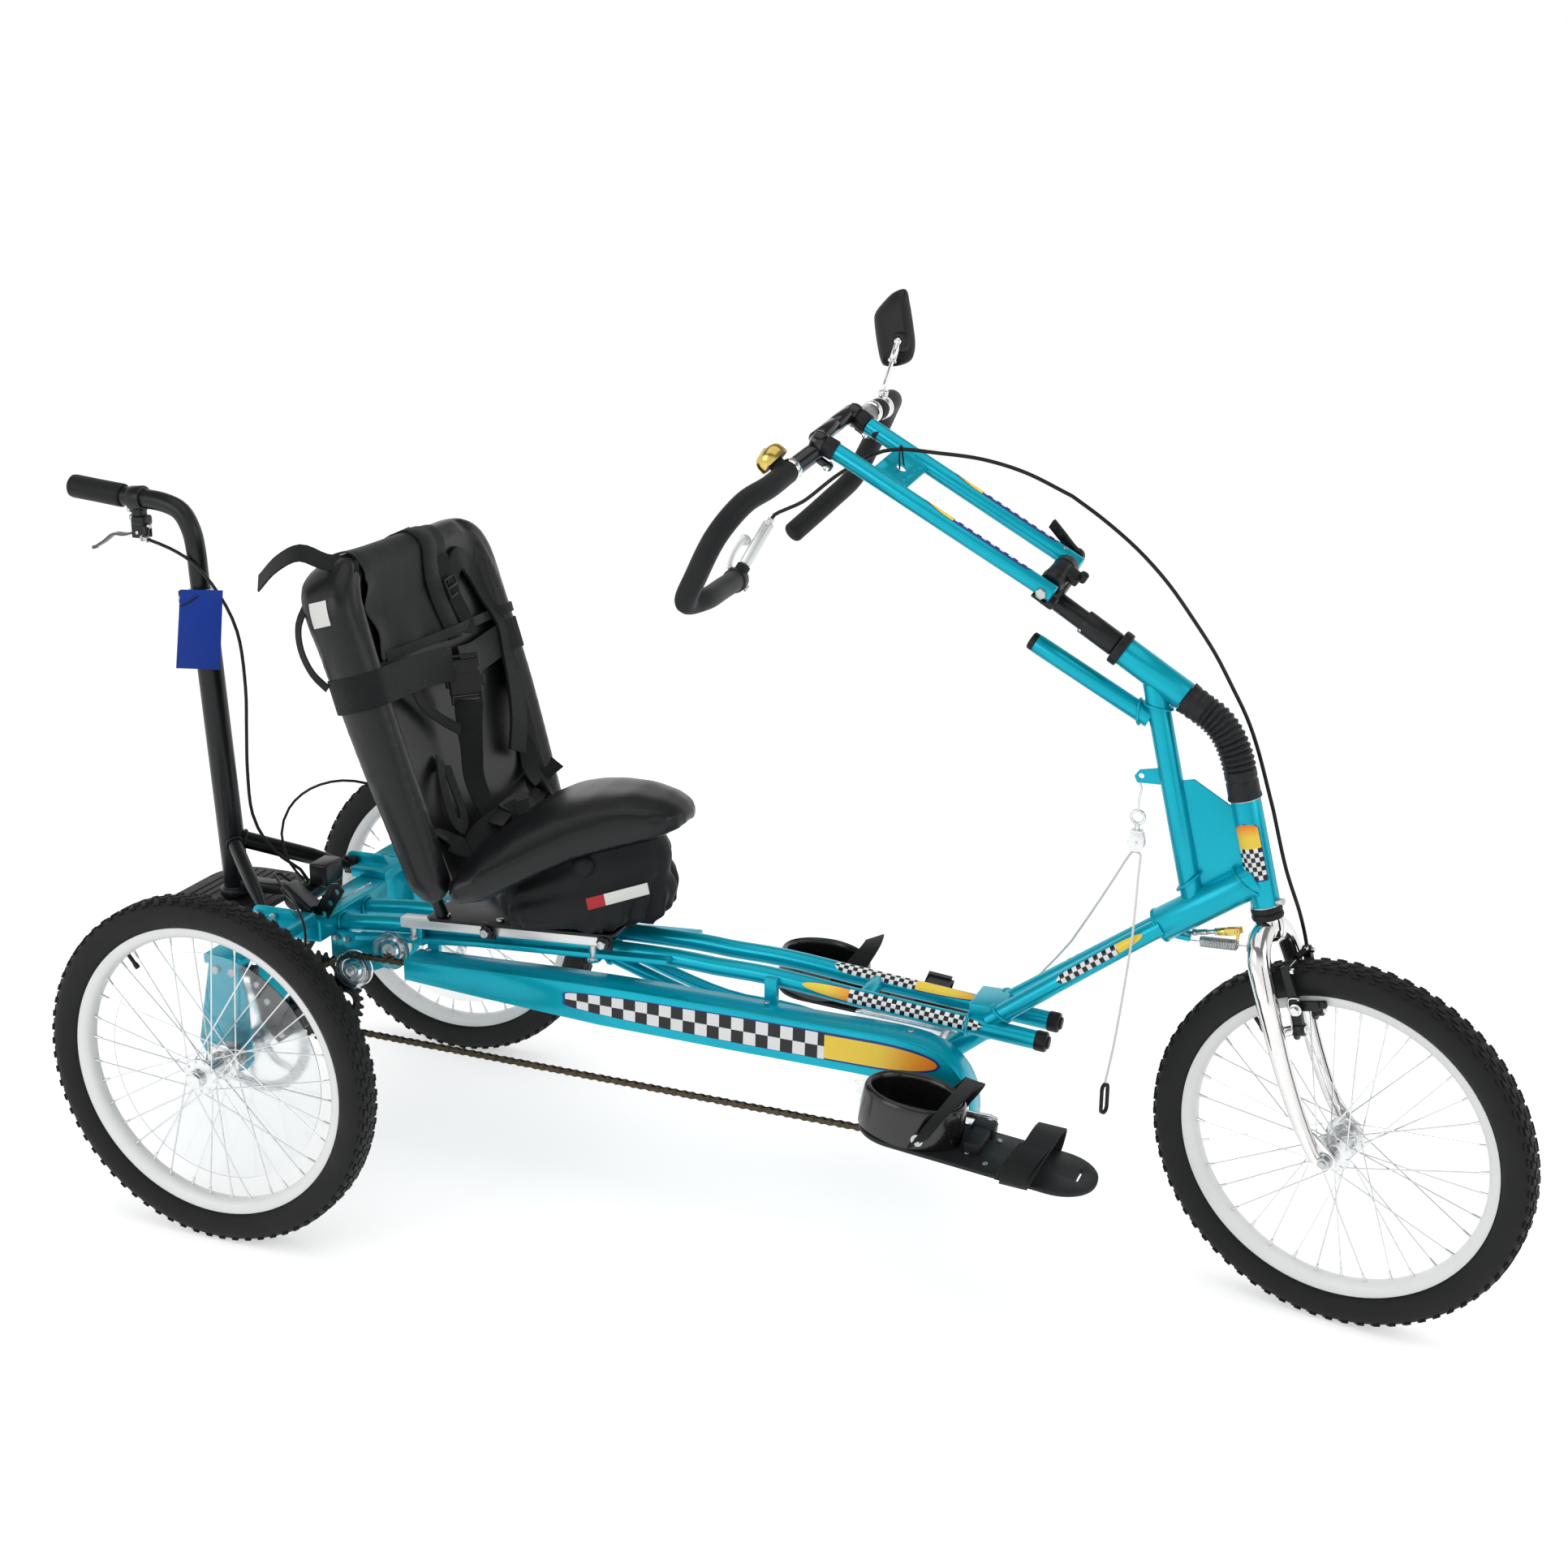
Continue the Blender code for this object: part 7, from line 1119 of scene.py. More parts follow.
def link_model(plate_y):
    """One link along X: two waisted side plates and the roller at its start."""
    outline = []
    for angle_deg in (70.0, 110.0, 150.0, 180.0, 210.0, 250.0, 290.0):
        outline.append((0.0036 * math.cos(math.radians(angle_deg)), 0.0042 * math.sin(math.radians(angle_deg))))
    outline += [(0.00635, -0.0027)]
    for angle_deg in (-110.0, -70.0, -30.0, 0.0, 30.0, 70.0, 110.0):
        outline.append((CHAIN_PITCH + 0.0036 * math.cos(math.radians(angle_deg)),
            0.0042 * math.sin(math.radians(angle_deg))))
    outline += [(0.00635, 0.0027)]
    made = []
    for side in (-1.0, 1.0):
        y = side * plate_y
        made.append(cut_plate("link plate", [Vector((x, y, z)) for x, z in outline], (0.0, 0.0009, 0.0), 0.0))
    made.append(pin("roller", (0.0, -0.0022, 0.0), (0.0, 0.0022, 0.0), 0.0039, 10, 0.0))
    made.append(pin("rivet", (0.0, -0.004, 0.0), (0.0, 0.004, 0.0), 0.0018, 8, 0.0))
    return together(made)


links = []
models = [link_model(0.0026), link_model(0.0035)]
for index in range(link_count):
    here = on_chain(around[-1] * index / link_count)
    following = on_chain(around[-1] * (index + 1) / link_count)
    along = (following - here).normalized()
    turn = Matrix((along, (0.0, 1.0, 0.0), along.cross(leftwards(1.0)))).transposed().to_4x4()
    links.append(copy_of(models[index % 2], Matrix.Translation(here) @ turn))
fit(links, "roller_chain", "trike", "chain_steel", oiled_chain, "chain")
for model in models:
    bpy.data.objects.remove(model, do_unlink=True)

cog_centre = on_axle(CHAIN_Y)
small_cog = toothed_plate("small cog", 20, cog_centre, 0.002)
large_cog = toothed_plate("large cog", 34, on_axle(-0.069), 0.002)
windows = spun_copies(cross_pin(
    "window", 0.042, 0.25, -0.075, -0.063, 0.0125, 24, 0.0), 5,
    on_axle(-0.069), AXLE)
take_away(large_cog, windows)
cog_sleeve = pin("cog sleeve", on_axle(-0.086), on_axle(-0.062), 0.018, 36)
cog_bolts = spun_copies(cross_pin(
    "cog bolt", 0.0275, 0.25, -0.0715, -0.0662, 0.0042, 12), 5,
    on_axle(-0.069), AXLE)
fit([small_cog, large_cog, cog_sleeve, cog_bolts], "axle_cogs", "cogs", "black_paint", black_enamel, "rear_sprockets")

for label, node, centre, half, body in (
    ("lower", "idler_lower", from_axle(0.066, CHAIN_Y, 0.307), 0.0072, "lower_idler"),
    ("upper", "idler_upper", from_axle(0.123, -0.07, 0.3405), 0.005, "upper_idler"),
):
    roller = turned("roller", [
        (0.012, half), (0.015, half), (0.023, half * 0.9), (0.0275, half), (0.028, half * 0.85), (0.027, half * 0.7),
        (0.0185, half * 0.62), (0.017, 0.0), (0.0185, -half * 0.62), (0.027, -half * 0.7), (0.028, -half * 0.85),
        (0.0275, -half), (0.023, -half * 0.9), (0.015, -half), (0.012, -half)], centre, AXLE, 56, closed=True)
    fit(roller, label + "_clear_roller", body, "clear_plastic", clear_sheet, node)
    core = turned("core", [
        (0.0046, half + 0.0004), (0.0116, half + 0.0004), (0.0118, 0.0), (0.0116, -half - 0.0004),
        (0.0046, -half - 0.0004)],
        centre, AXLE, 36, closed=True)
    fit(core, label + "_roller_bearing", body, "steel", polished_steel)


# The chain guard: folded teal sheet, two side faces and a rolled top that curls down round the
# chainring, hung from the near rail on two tabs. Checker film and a flash run along its outer face.
guard_top = [(0.163, 0.343), (0.471, 0.35), (0.78, 0.3445), (0.905, 0.3415), (0.945, 0.334), (0.975, 0.316),
             (0.994, 0.291), (1.003, 0.255), (1.002, 0.212)]
guard_curve = [(point.x, point.z) for point in smooth_route([Vector((x, 0.0, z)) for x, z in guard_top], 0.012)]
face_top = [point for point in guard_curve if not (point[0] > 0.985 and point[1] < 0.292)]
face_low = [(0.99, 0.278), (0.95, 0.2795), (0.85, 0.284), (0.66, 0.288), (0.47, 0.293), (0.3, 0.304), (0.163, 0.314)]
guard_pieces = []
for y in (-0.1022, -0.056):
    guard_pieces.append(cut_plate(
        "guard face", [from_axle(x, y, z - 0.0008) for x, z in face_top] + [from_axle(x, y, z) for x, z in face_low],
        (0.0, 0.0016, 0.0), 0.0005))


def flat_strip(name, points, half_widths, thickness, rounding=0.35):
    """A strip of even thickness that follows points, its half width given at each as a vector."""
    count = len(points)
    deselect()
    bpy.ops.mesh.primitive_grid_add(x_subdivisions=count - 1, y_subdivisions=8, size=2.0)
    piece = bpy.context.object
    piece.name = name
    around_edge = [(-1.0, -0.5 + rounding), (-1.0 + rounding * 0.12, -0.5), (1.0 - rounding * 0.12, -0.5),
                   (1.0, -0.5 + rounding), (1.0, 0.5 - rounding), (1.0 - rounding * 0.12, 0.5),
                   (-1.0 + rounding * 0.12, 0.5), (-1.0, 0.5 - rounding)]
    lengths = [0.0]
    for first, second in zip(points, points[1:]):
        lengths.append(lengths[-1] + (Vector(second) - Vector(first)).length)
    strip_map = piece.data.uv_layers.active.data
    for loop in piece.data.loops:
        u, v = strip_map[loop.index].uv
        row = round(u * (count - 1))
        corner = around_edge[round(v * 8) % 8]
        strip_map[loop.index].uv = (lengths[row], corner[0] * Vector(half_widths[row]).length)
    for vert in piece.data.vertices:
        row = round((vert.co.x + 1.0) / 2.0 * (count - 1))
        corner = around_edge[round((vert.co.y + 1.0) / 2.0 * 8) % 8]
        before, after = Vector(points[max(0, row - 1)]), Vector(points[min(count - 1, row + 1)])
        half = Vector(half_widths[row])
        normal = (after - before).cross(half).normalized()
        vert.co = Vector(points[row]) + half * corner[0] + normal * thickness * corner[1]
    bpy.ops.object.mode_set(mode="EDIT")
    bpy.ops.mesh.select_all(action="SELECT")
    bpy.ops.mesh.remove_doubles(threshold=0.000005)
    bpy.ops.mesh.select_all(action="DESELECT")
    bpy.ops.mesh.select_non_manifold(extend=False, use_wire=False, use_multi_face=False, use_non_contiguous=False,
                                     use_verts=False)
    bpy.ops.mesh.edge_face_add()
    bpy.ops.mesh.select_all(action="SELECT")
    bpy.ops.mesh.normals_make_consistent(inside=False)
    bpy.ops.object.mode_set(mode="OBJECT")
    bpy.ops.object.shade_smooth_by_angle(angle=math.radians(50.0))
    return piece


top_points = [from_axle(x, -0.0791, z) for x, z in guard_curve]
guard_pieces.append(flat_strip("guard top", top_points, [(0.0, 0.0242, 0.0)] * len(top_points), 0.002))
wrap = [point for point in guard_curve if point[0] > 0.985]
wrap_line = [from_axle(x - 0.0006, -0.056, z) for x, z in wrap]
wrap_line += [from_axle(x - 0.013, -0.056, z) for x, z in reversed(wrap)]
guard_pieces.append(cut_plate("guard wrap", wrap_line, (0.0, 0.0016, 0.0), 0.0))
for x, top_z in ((0.185, 0.3551), (0.705, 0.38)):
    guard_pieces.append(block("guard tab", (0.018, 0.01, top_z - 0.3405),
        from_axle(x, -0.0519, (top_z + 0.3405) / 2.0), 0.001))
fit(guard_pieces, "folded_chain_guard", "trike", "teal_paint", teal_enamel, "chain_guard")
guard_screws = []
for x in (0.185, 0.705):
    guard_screws.append(pin("guard screw", from_axle(x, -0.07, 0.3492), from_axle(x, -0.07, 0.3528), 0.0042, 20,
        0.0012))
guard_screws.append(pin("guard screw", from_axle(0.91, -0.072, 0.3415), from_axle(0.91, -0.072, 0.345), 0.0042, 20,
    0.0012))
fit(guard_screws, "guard_screws", "trike", "steel", zinc_plated)
guard_side = (0.0, -1.0, 0.0)
guard_checker = film(
    "guard checker", from_axle(0.418, -0.1034, 0.3245), from_axle(0.8, -0.1034, 0.316), 0.0, guard_side, 0.0185,
    [("start", 0.9, 0.42)], (0.382 * 0.31, 0.011), (80, 12))
fit(guard_checker, "guard_checker_film", "trike", None, checker_film)
guard_flash = film(
    "guard flash", from_axle(0.8, -0.1035, 0.316), from_axle(0.957, -0.1035, 0.3135), 0.0, guard_side, 0.0168,
    [("end", 0.6)], (0.115, 0.034), (60, 14))
fit(guard_flash, "guard_flash_film", "trike", None, flash_film)
guard_keyline = film(
    "guard keyline", from_axle(0.414, -0.1032, 0.3246), from_axle(0.962, -0.1032, 0.3133), 0.0, guard_side, 0.02,
    [("start", 0.7, 0.42), ("end", 0.18)], (0.548, 0.04), (90, 12))
fit(guard_keyline, "guard_keyline_film", "trike", None, keyline_ink)


# The crankset: a polished steel spindle with two forged arms and a 34-tooth alloy chainring on a
# five-armed spider. Each arm ends in the axle on which its foot plate turns.
crank_centre = on_crank(0.0)
crank_rest = Matrix.Translation(crank_centre) @ Matrix.Rotation(math.radians(3.8), 4, "Y")
crank_parts = [pin("spindle", (0.0, -0.116, 0.0), (0.0, 0.116, 0.0), 0.008, 28)]
chainring = toothed_plate("chainring", 34, (0.0, CHAIN_Y, 0.0), 0.0022, (
    spun_copies(pin("window", (0.044, CHAIN_Y - 0.01, 0.0), (0.044, CHAIN_Y + 0.01, 0.0), 0.0145, 28, 0.0), 5,
                (0.0, 0.0, 0.0), AXLE),))
crank_parts.append(chainring)
spider_line = [(-0.007, 0.012), (-0.0048, 0.05), (-0.004, 0.056), (0.004, 0.056), (0.0048, 0.05), (0.007, 0.012)]
spider_arm = cut_plate("spider arm", [Vector((x, CHAIN_Y + 0.0042, z)) for x, z in spider_line], (0.0, 0.005, 0.0),
    0.001)
spider = spun_copies(spider_arm, 5, (0.0, 0.0, 0.0), AXLE)
spider.data.transform(Matrix.Rotation(math.radians(18.0), 4, "Y"))
crank_parts.append(spider)
ring_bolt = pin("ring bolt", (0.0, CHAIN_Y - 0.004, 0.051), (0.0, CHAIN_Y + 0.0075, 0.051), 0.004, 20)
ring_bolts = spun_copies(ring_bolt, 5, (0.0, 0.0, 0.0), AXLE)
ring_bolts.data.transform(Matrix.Rotation(math.radians(18.0), 4, "Y"))
crank_parts.append(ring_bolts)
crank_parts.append(turned("crank boss", [
    (0.0, -0.005), (0.019, -0.005), (0.02, -0.003), (0.02, 0.007), (0.018, 0.0095), (0.0, 0.0095)],
    (0.0, CHAIN_Y, 0.0), AXLE, 40))
for side in (-1.0, 1.0):
    arm = tube("crank arm", [
        Vector((-side * reach, side * (0.114 + lift), 0.0)) for reach, lift in (
            (-0.012, 0.0), (0.0, 0.0), (0.03, 0.0004), (0.07, 0.0006), (0.105, 0.0004), (0.127, 0.0), (0.137, 0.0))],
        0.012, 24, [0.0085, 0.0125, 0.0108, 0.0094, 0.0088, 0.0098, 0.007])
    to_arm, off_arm = [Matrix.Translation((0.0, way * side * 0.114, 0.0)) for way in (1.0, -1.0)]
    arm.data.transform(to_arm @ Matrix.Diagonal((1.0, 0.56, 1.0, 1.0)) @ off_arm)
    crank_parts.append(arm)
    crank_parts.append(pin("crank cap", (0.0, side * 0.118, 0.0), (0.0, side * 0.1225, 0.0), 0.0085, 28, 0.0015))
    at_pedal = Vector((-side * 0.127, 0.0, 0.0))
    crank_parts.append(pin("pedal axle", at_pedal + leftwards(side * 0.111),
        at_pedal + leftwards(side * 0.19), 0.006, 20))
crankset = together(crank_parts)
crankset.data.transform(crank_rest)
fit(crankset, "crank_and_chainring", "cranks", "steel", polished_steel, "crankset")


# The foot plates: black plastic boards that swing on the crank's axles. Each has a glossy padded heel
# cup held by a bolt and washer on each side, an ankle strap and a toe strap of hook-and-loop webbing.

# Pebbled black ABS sheet: nearly matt, with a fine grain and pale scuffs
pebbled_board, tree, shader, place = finish("pebbled_black_board", Roughness=0.55, Specular_IOR_Level=0.35)
pebble = add(tree, "ShaderNodeTexVoronoi", {"Scale": 650.0}, {"Vector": place})
scuff = noise(tree, place, 40.0, 5.0)
tint(tree, shader, "#121314", "#232527", scuff)
shine(tree, shader, 0.42, 0.68, scuff)
emboss(tree, shader, 0.25, 0.0003, pebble.outputs["Distance"])

# Dipped vinyl foam on the heel cups: glossy black with soft dimples
dipped_vinyl, tree, shader, place = finish("dipped_glossy_vinyl", Roughness=0.22, IOR=1.5, Coat_Weight=0.3,
    Coat_Roughness=0.08)
dimple = noise(tree, place, 120.0)
tint(tree, shader, "#0c0c0d", "#19191b", dimple)
shine(tree, shader, 0.16, 0.32, dimple)
emboss(tree, shader, 0.3, 0.0006, dimple)

# Woven nylon webbing: 1.6 mm ribs across and yarns along, drawn a little coarse so that they show
nylon_webbing, tree, shader, place = finish("woven_nylon_webbing", by_uv=True, Roughness=0.72,
    Specular_IOR_Level=0.25, Sheen_Weight=0.12, Sheen_Roughness=0.4)
ribs = add(tree, "ShaderNodeTexWave", {
    "wave_type": "BANDS", "bands_direction": "X", "Scale": 190.0, "Distortion": 0.6, "Detail": 1.0}, {
    "Vector": place})
yarns = add(tree, "ShaderNodeTexWave", {
    "wave_type": "BANDS", "bands_direction": "Y", "Scale": 150.0, "Distortion": 0.4}, {"Vector": place})
weave = over(tree, 0.5, yarns.outputs[1], ribs.outputs[1])
fuzz = noise(tree, place, 70.0, 4.0)
tone = over(tree, 0.45, weave, fuzz)
tint(tree, shader, "#08090a", "#171a1b", tone)
emboss(tree, shader, 0.6, 0.0005, weave)


def rounded_outline(half_x, half_y, corner, steps=12):
    """A rectangle with rounded corners, as points round its centre."""
    points = []
    for quarter, (sign_x, sign_y) in enumerate([(1, 1), (-1, 1), (-1, -1), (1, -1)]):
        for step in range(steps + 1):
            angle = math.pi / 2.0 * (quarter + step / steps)
            points.append((
                sign_x * (half_x - corner) + corner * math.cos(angle),
                sign_y * (half_y - corner) + corner * math.sin(angle)))
    return points


for label, side, pitch_deg, body, cup_slot in (
    ("right", -1.0, 7.0, "right_pedal", "black_vinyl"), ("left", 1.0, 4.0, "left_pedal", "black_vinyl"),
):
    hinge = (crank_rest @ Matrix.Translation((-side * 0.127, 0.0, 0.0))).translation
    foot = Matrix.Translation(hinge) @ Matrix.Rotation(math.radians(pitch_deg), 4, "Y")
    centre_y = side * 0.187
    sole_line = [Vector((0.0045 + x, centre_y + y, -0.0055)) for x, y in rounded_outline(0.1565, 0.055, 0.0528)]
    toe_slot = block("toe slot", (0.0032, 0.03, 0.02), (0.137, centre_y - side * 0.004, -0.0055), 0.0004)
    sole = cut_plate("sole", sole_line, (0.0, 0.0, 0.005), 0.0009, [toe_slot])
    board = [
        sole, block("hinge block", (0.03, 0.024, 0.022), (0.0, side * 0.143, 0.0), 0.0018),
        block("axle tunnel", (0.024, 0.06, 0.02), (0.0, side * 0.175, 0.0), 0.003)]
    board = together(board)
    board.data.transform(foot)
    fit(board, label + "_foot_board", body, "black_plastic", pebbled_board, label + "_footplate")

    # The cup's wall, swept round an oval with a fat rolled rim, and its padded floor
    wall = [(0.001, 0.0), (0.0016, 0.015), (0.0008, 0.035), (-0.0004, 0.048), (-0.0022, 0.0535), (-0.0058, 0.0562),
            (-0.0096, 0.0545), (-0.012, 0.049), (-0.0122, 0.035), (-0.0112, 0.015), (-0.0118, 0.0065), (-0.02, 0.004),
            (-0.052, 0.0036)]
    deselect()
    bpy.ops.mesh.primitive_grid_add(x_subdivisions=72, y_subdivisions=len(wall) - 1, size=2.0)
    cup = bpy.context.object
    for vert in cup.data.vertices:
        angle = (vert.co.x + 1.0) * math.pi
        inset, height = wall[round((vert.co.y + 1.0) / 2.0 * (len(wall) - 1))]
        sag = 1.0 - 0.06 * max(0.0, math.cos(angle)) if height > 0.04 else 1.0
        vert.co = (
            -0.086 + max(0.001, 0.068 + inset) * math.cos(angle),
            centre_y + max(0.001, 0.054 + inset) * math.sin(angle),
            -0.0027 + height * sag)
    merge(cup)
    smoother = cup.modifiers.new("soften", "SUBSURF")
    smoother.levels = smoother.render_levels = 1
    bpy.ops.object.modifier_apply(modifier=smoother.name)
    bpy.ops.object.shade_smooth()
    cup.data.transform(foot)
    fit(cup, label + "_padded_heel_cup", body, cup_slot, dipped_vinyl, label + "_heel_cup")

    hardware = []
    for bolt_x in (-0.062,):
        for outer in (-1.0, 1.0):
            start = Vector((bolt_x, centre_y + outer * 0.053, 0.013))
            hardware.append(pin("washer", start, start + leftwards(outer * 0.0026), 0.0082, 28))
            hardware.append(pin("bolt head", start, start + leftwards(outer * 0.0062), 0.0048, 24, 0.0015))
    for bolt_x, bolt_y in ((0.024, -0.034), (0.024, 0.034), (-0.004, 0.02), (0.05, 0.0)):
        start = Vector((bolt_x, centre_y + side * bolt_y, -0.0032))
        hardware.append(pin("board screw", start, start + Vector((0.0, 0.0, 0.0016)), 0.0038, 20, 0.0008))
    hardware = together(hardware)
    hardware.data.transform(foot)
    fit(hardware, label + "_foot_bolts", body, "steel", zinc_plated)

    straps = []
    ankle = smooth_route([Vector((x, centre_y + side * y, z)) for x, y, z in (
        (-0.06, 0.057, 0.01), (-0.052, 0.0585, 0.026), (-0.04, 0.056, 0.05), (-0.028, 0.043, 0.069),
        (-0.02, 0.02, 0.08), (-0.016, -0.008, 0.08), (-0.02, -0.034, 0.069), (-0.03, -0.052, 0.049),
        (-0.042, -0.058, 0.027), (-0.048, -0.0575, 0.008))], 0.008)
    slope = []
    for index in range(len(ankle)):
        share = index / (len(ankle) - 1)
        slope.append(Vector((0.0135, 0.0, 0.0095 * math.cos(share * math.pi))) + Vector((0.0, 0.0, 0.003)))
    straps.append(flat_strip("ankle strap", ankle, slope, 0.0026))
    toe = smooth_route([Vector((x, centre_y + side * y, z)) for x, y, z in (
        (0.066, 0.03, -0.0108), (0.068, 0.057, -0.009), (0.072, 0.066, 0.003), (0.076, 0.063, 0.018),
        (0.08, 0.048, 0.028), (0.084, 0.015, 0.036), (0.086, -0.02, 0.039), (0.086, -0.048, 0.031),
        (0.084, -0.062, 0.015), (0.082, -0.06, -0.006), (0.08, -0.035, -0.0108))], 0.007)
    straps.append(flat_strip("toe strap", toe, [Vector((0.018, side * -0.0015, 0.0))] * len(toe), 0.0028))
    fold = smooth_route([Vector((x, centre_y + side * y, z)) for x, y, z in (
        (0.064, 0.067, 0.0), (0.067, 0.069, 0.012), (0.072, 0.064, 0.025), (0.076, 0.05, 0.0325),
        (0.08, 0.03, 0.037))], 0.007)
    straps.append(flat_strip("toe strap fold", fold, [Vector((0.0185, side * -0.0015, 0.0))] * len(fold), 0.0026))
    straps = together(straps)
    straps.data.transform(foot)
    fit(straps, label + "_foot_straps", body, "black_webbing", nylon_webbing)


# The seat: a reclined shell with foam rolls along its sides, and a saddle-shaped pan. Both are foam
# under black upholstery vinyl, sewn at the rear, and are inflated here as cloth.
def round_ring(points, count):
    """Even points on a smooth closed curve through a ring of points."""
    made = []
    size = len(points)
    for step in range(count):
        index, share = int(step / count * size), step / count * size % 1.0
        before, here, following, beyond = (Vector(points[(index + offset) % size]) for offset in (-1, 0, 1, 2))
        made.append(
            here + (following - before) * 0.5 * share
            + (before - here * 2.5 + following * 2.0 - beyond * 0.5) * share ** 2
            + ((here - following) * 1.5 + (beyond - before) * 0.5) * share ** 3)
    return made


def ring_mesh(name, rings, capped=True):
    """A skin through rings of points, closed at its ends if capped."""
    columns = len(rings[0])
    deselect()
    bpy.ops.mesh.primitive_grid_add(x_subdivisions=columns, y_subdivisions=len(rings) - 1, size=2.0)
    piece = bpy.context.object
    piece.name = name
    for vert in piece.data.vertices:
        column = round((vert.co.x + 1.0) / 2.0 * columns) % columns
        row = round((vert.co.y + 1.0) / 2.0 * (len(rings) - 1))
        vert.co = rings[row][column]
    bpy.ops.object.mode_set(mode="EDIT")
    bpy.ops.mesh.select_all(action="SELECT")
    bpy.ops.mesh.remove_doubles(threshold=0.000005)
    if capped:
        bpy.ops.mesh.fill_holes(sides=0)
    bpy.ops.mesh.select_all(action="SELECT")
    bpy.ops.mesh.normals_make_consistent(inside=False)
    bpy.ops.object.mode_set(mode="OBJECT")
    bpy.ops.object.shade_smooth()
    return piece


def inflate(piece, grain, cap):
    """Foam under a sewn cover: the cover is blown up a little as cloth, then smoothed once."""
    deselect()
    piece.select_set(True)
    bpy.context.view_layer.objects.active = piece
    even = piece.modifiers.new("even cover", "REMESH")
    even.mode = "VOXEL"
    even.voxel_size = grain
    even.use_smooth_shade = True
    bpy.ops.object.modifier_apply(modifier=even.name)
    sewn = [vert.co.copy() for vert in piece.data.vertices]
    cover = piece.modifiers.new("cover", "CLOTH")
    cover.settings.use_pressure = True
    cover.settings.uniform_pressure_force = 4.0
    cover.settings.effector_weights.gravity = 0.0
    cover.settings.tension_stiffness = 25.0
    cover.settings.compression_stiffness = 25.0
    cover.settings.bending_stiffness = 2.0
    cover.point_cache.frame_start = 1
    cover.point_cache.frame_end = 20
    for moment in range(1, 21):
        bpy.context.scene.frame_set(moment)
    bpy.ops.object.modifier_apply(modifier=cover.name)
    for vert, before in zip(piece.data.vertices, sewn):
        move = vert.co - before
        if move.length > cap:
            vert.co = before + move.normalized() * cap
    bpy.context.scene.frame_set(1)
    smoother = piece.modifiers.new("soften", "SUBSURF")
    smoother.levels = smoother.render_levels = 1
    bpy.ops.object.modifier_apply(modifier=smoother.name)
    bpy.ops.object.shade_smooth()


# Upholstery vinyl: black, softly glossy, with a calf grain of about 1 mm and long soft highlights
upholstery, tree, shader, place = finish("black_upholstery_vinyl", Roughness=0.36, Specular_IOR_Level=0.3,
    Coat_Weight=0.12, Coat_Roughness=0.2)
pores = add(tree, "ShaderNodeTexVoronoi", {"Scale": 900.0, "feature": "F1"}, {"Vector": place})
wear = noise(tree, place, 9.0, 4.0)
tint(tree, shader, "#0f1112", "#1b1d1f", wear, pores.outputs["Distance"], "#c4c4c8")
shine(tree, shader, 0.3, 0.44, wear)
creases = noise(tree, place, 34.0, 3.0)
relief = over(tree, 0.16, pores.outputs["Distance"], creases)
emboss(tree, shader, 0.18, 0.0016, relief)

# Coated nylon on the head flap and the skirt: matt black cloth with a low sheen and a fine plain weave
coated_nylon, tree, shader, place = finish("coated_nylon_cloth", Roughness=0.6, Specular_IOR_Level=0.25,
    Sheen_Weight=0.1, Sheen_Roughness=0.35)
threads = noise(tree, place, 1100.0, 1.0)
rubbing = noise(tree, place, 16.0, 4.0)
tone = over(tree, 0.4, threads, rubbing)
tint(tree, shader, "#0a0c0d", "#181a1c", tone)
shine(tree, shader, 0.5, 0.7, rubbing)
crumple = noise(tree, place, 26.0, 3.0)
relief = over(tree, 0.08, threads, crumple)
emboss(tree, shader, 0.35, 0.003, relief)

# Brushed aluminium: the seat's rails, anodised clear, with fine lengthwise lines
brushed_aluminium, tree, shader, place = finish("clear_anodised_aluminium", Metallic=0.8, Roughness=0.3)
stretch = add(tree, "ShaderNodeMapping", {"Scale": (6.0, 900.0, 900.0)}, {"Vector": place})
lines = noise(tree, stretch.outputs[0], 1.0)
tint(tree, shader, "#cfd2d3", "#f2f4f4", lines)
shine(tree, shader, 0.22, 0.42, lines)

# Label cloth: white satin ribbon without any print
label_ribbon, tree, shader, place = finish("white_label_ribbon", Roughness=0.5, IOR=1.5, Sheen_Weight=0.2)
ribbon = noise(tree, place, 900.0)
tint(tree, shader, "#d9dad6", "#f7f7f4", ribbon)

TILT = math.radians(16.7)
BACK_TALL = 0.486
back_place = Matrix.Translation(from_axle(0.268, 0.0, 0.472)) @ Matrix((
    (math.cos(TILT), 0.0, -math.sin(TILT)), (0.0, 1.0, 0.0), (math.sin(TILT), 0.0, math.cos(TILT)))).to_4x4()
back_forward = back_place.to_3x3() @ Vector((1.0, 0.0, 0.0))


def back_width(height):
    """Half the width of the back at a height above its foot."""
    width = 0.2145 * (0.94 + 0.06 * math.sin(math.pi * min(1.0, height / BACK_TALL * 0.8)))
    from_top = BACK_TALL - height
    if from_top < 0.075:
        width -= 0.075 - math.sqrt(max(0.0, 0.075 ** 2 - (0.075 - from_top) ** 2))
    return width - 0.5 * max(0.0, 0.03 - height)


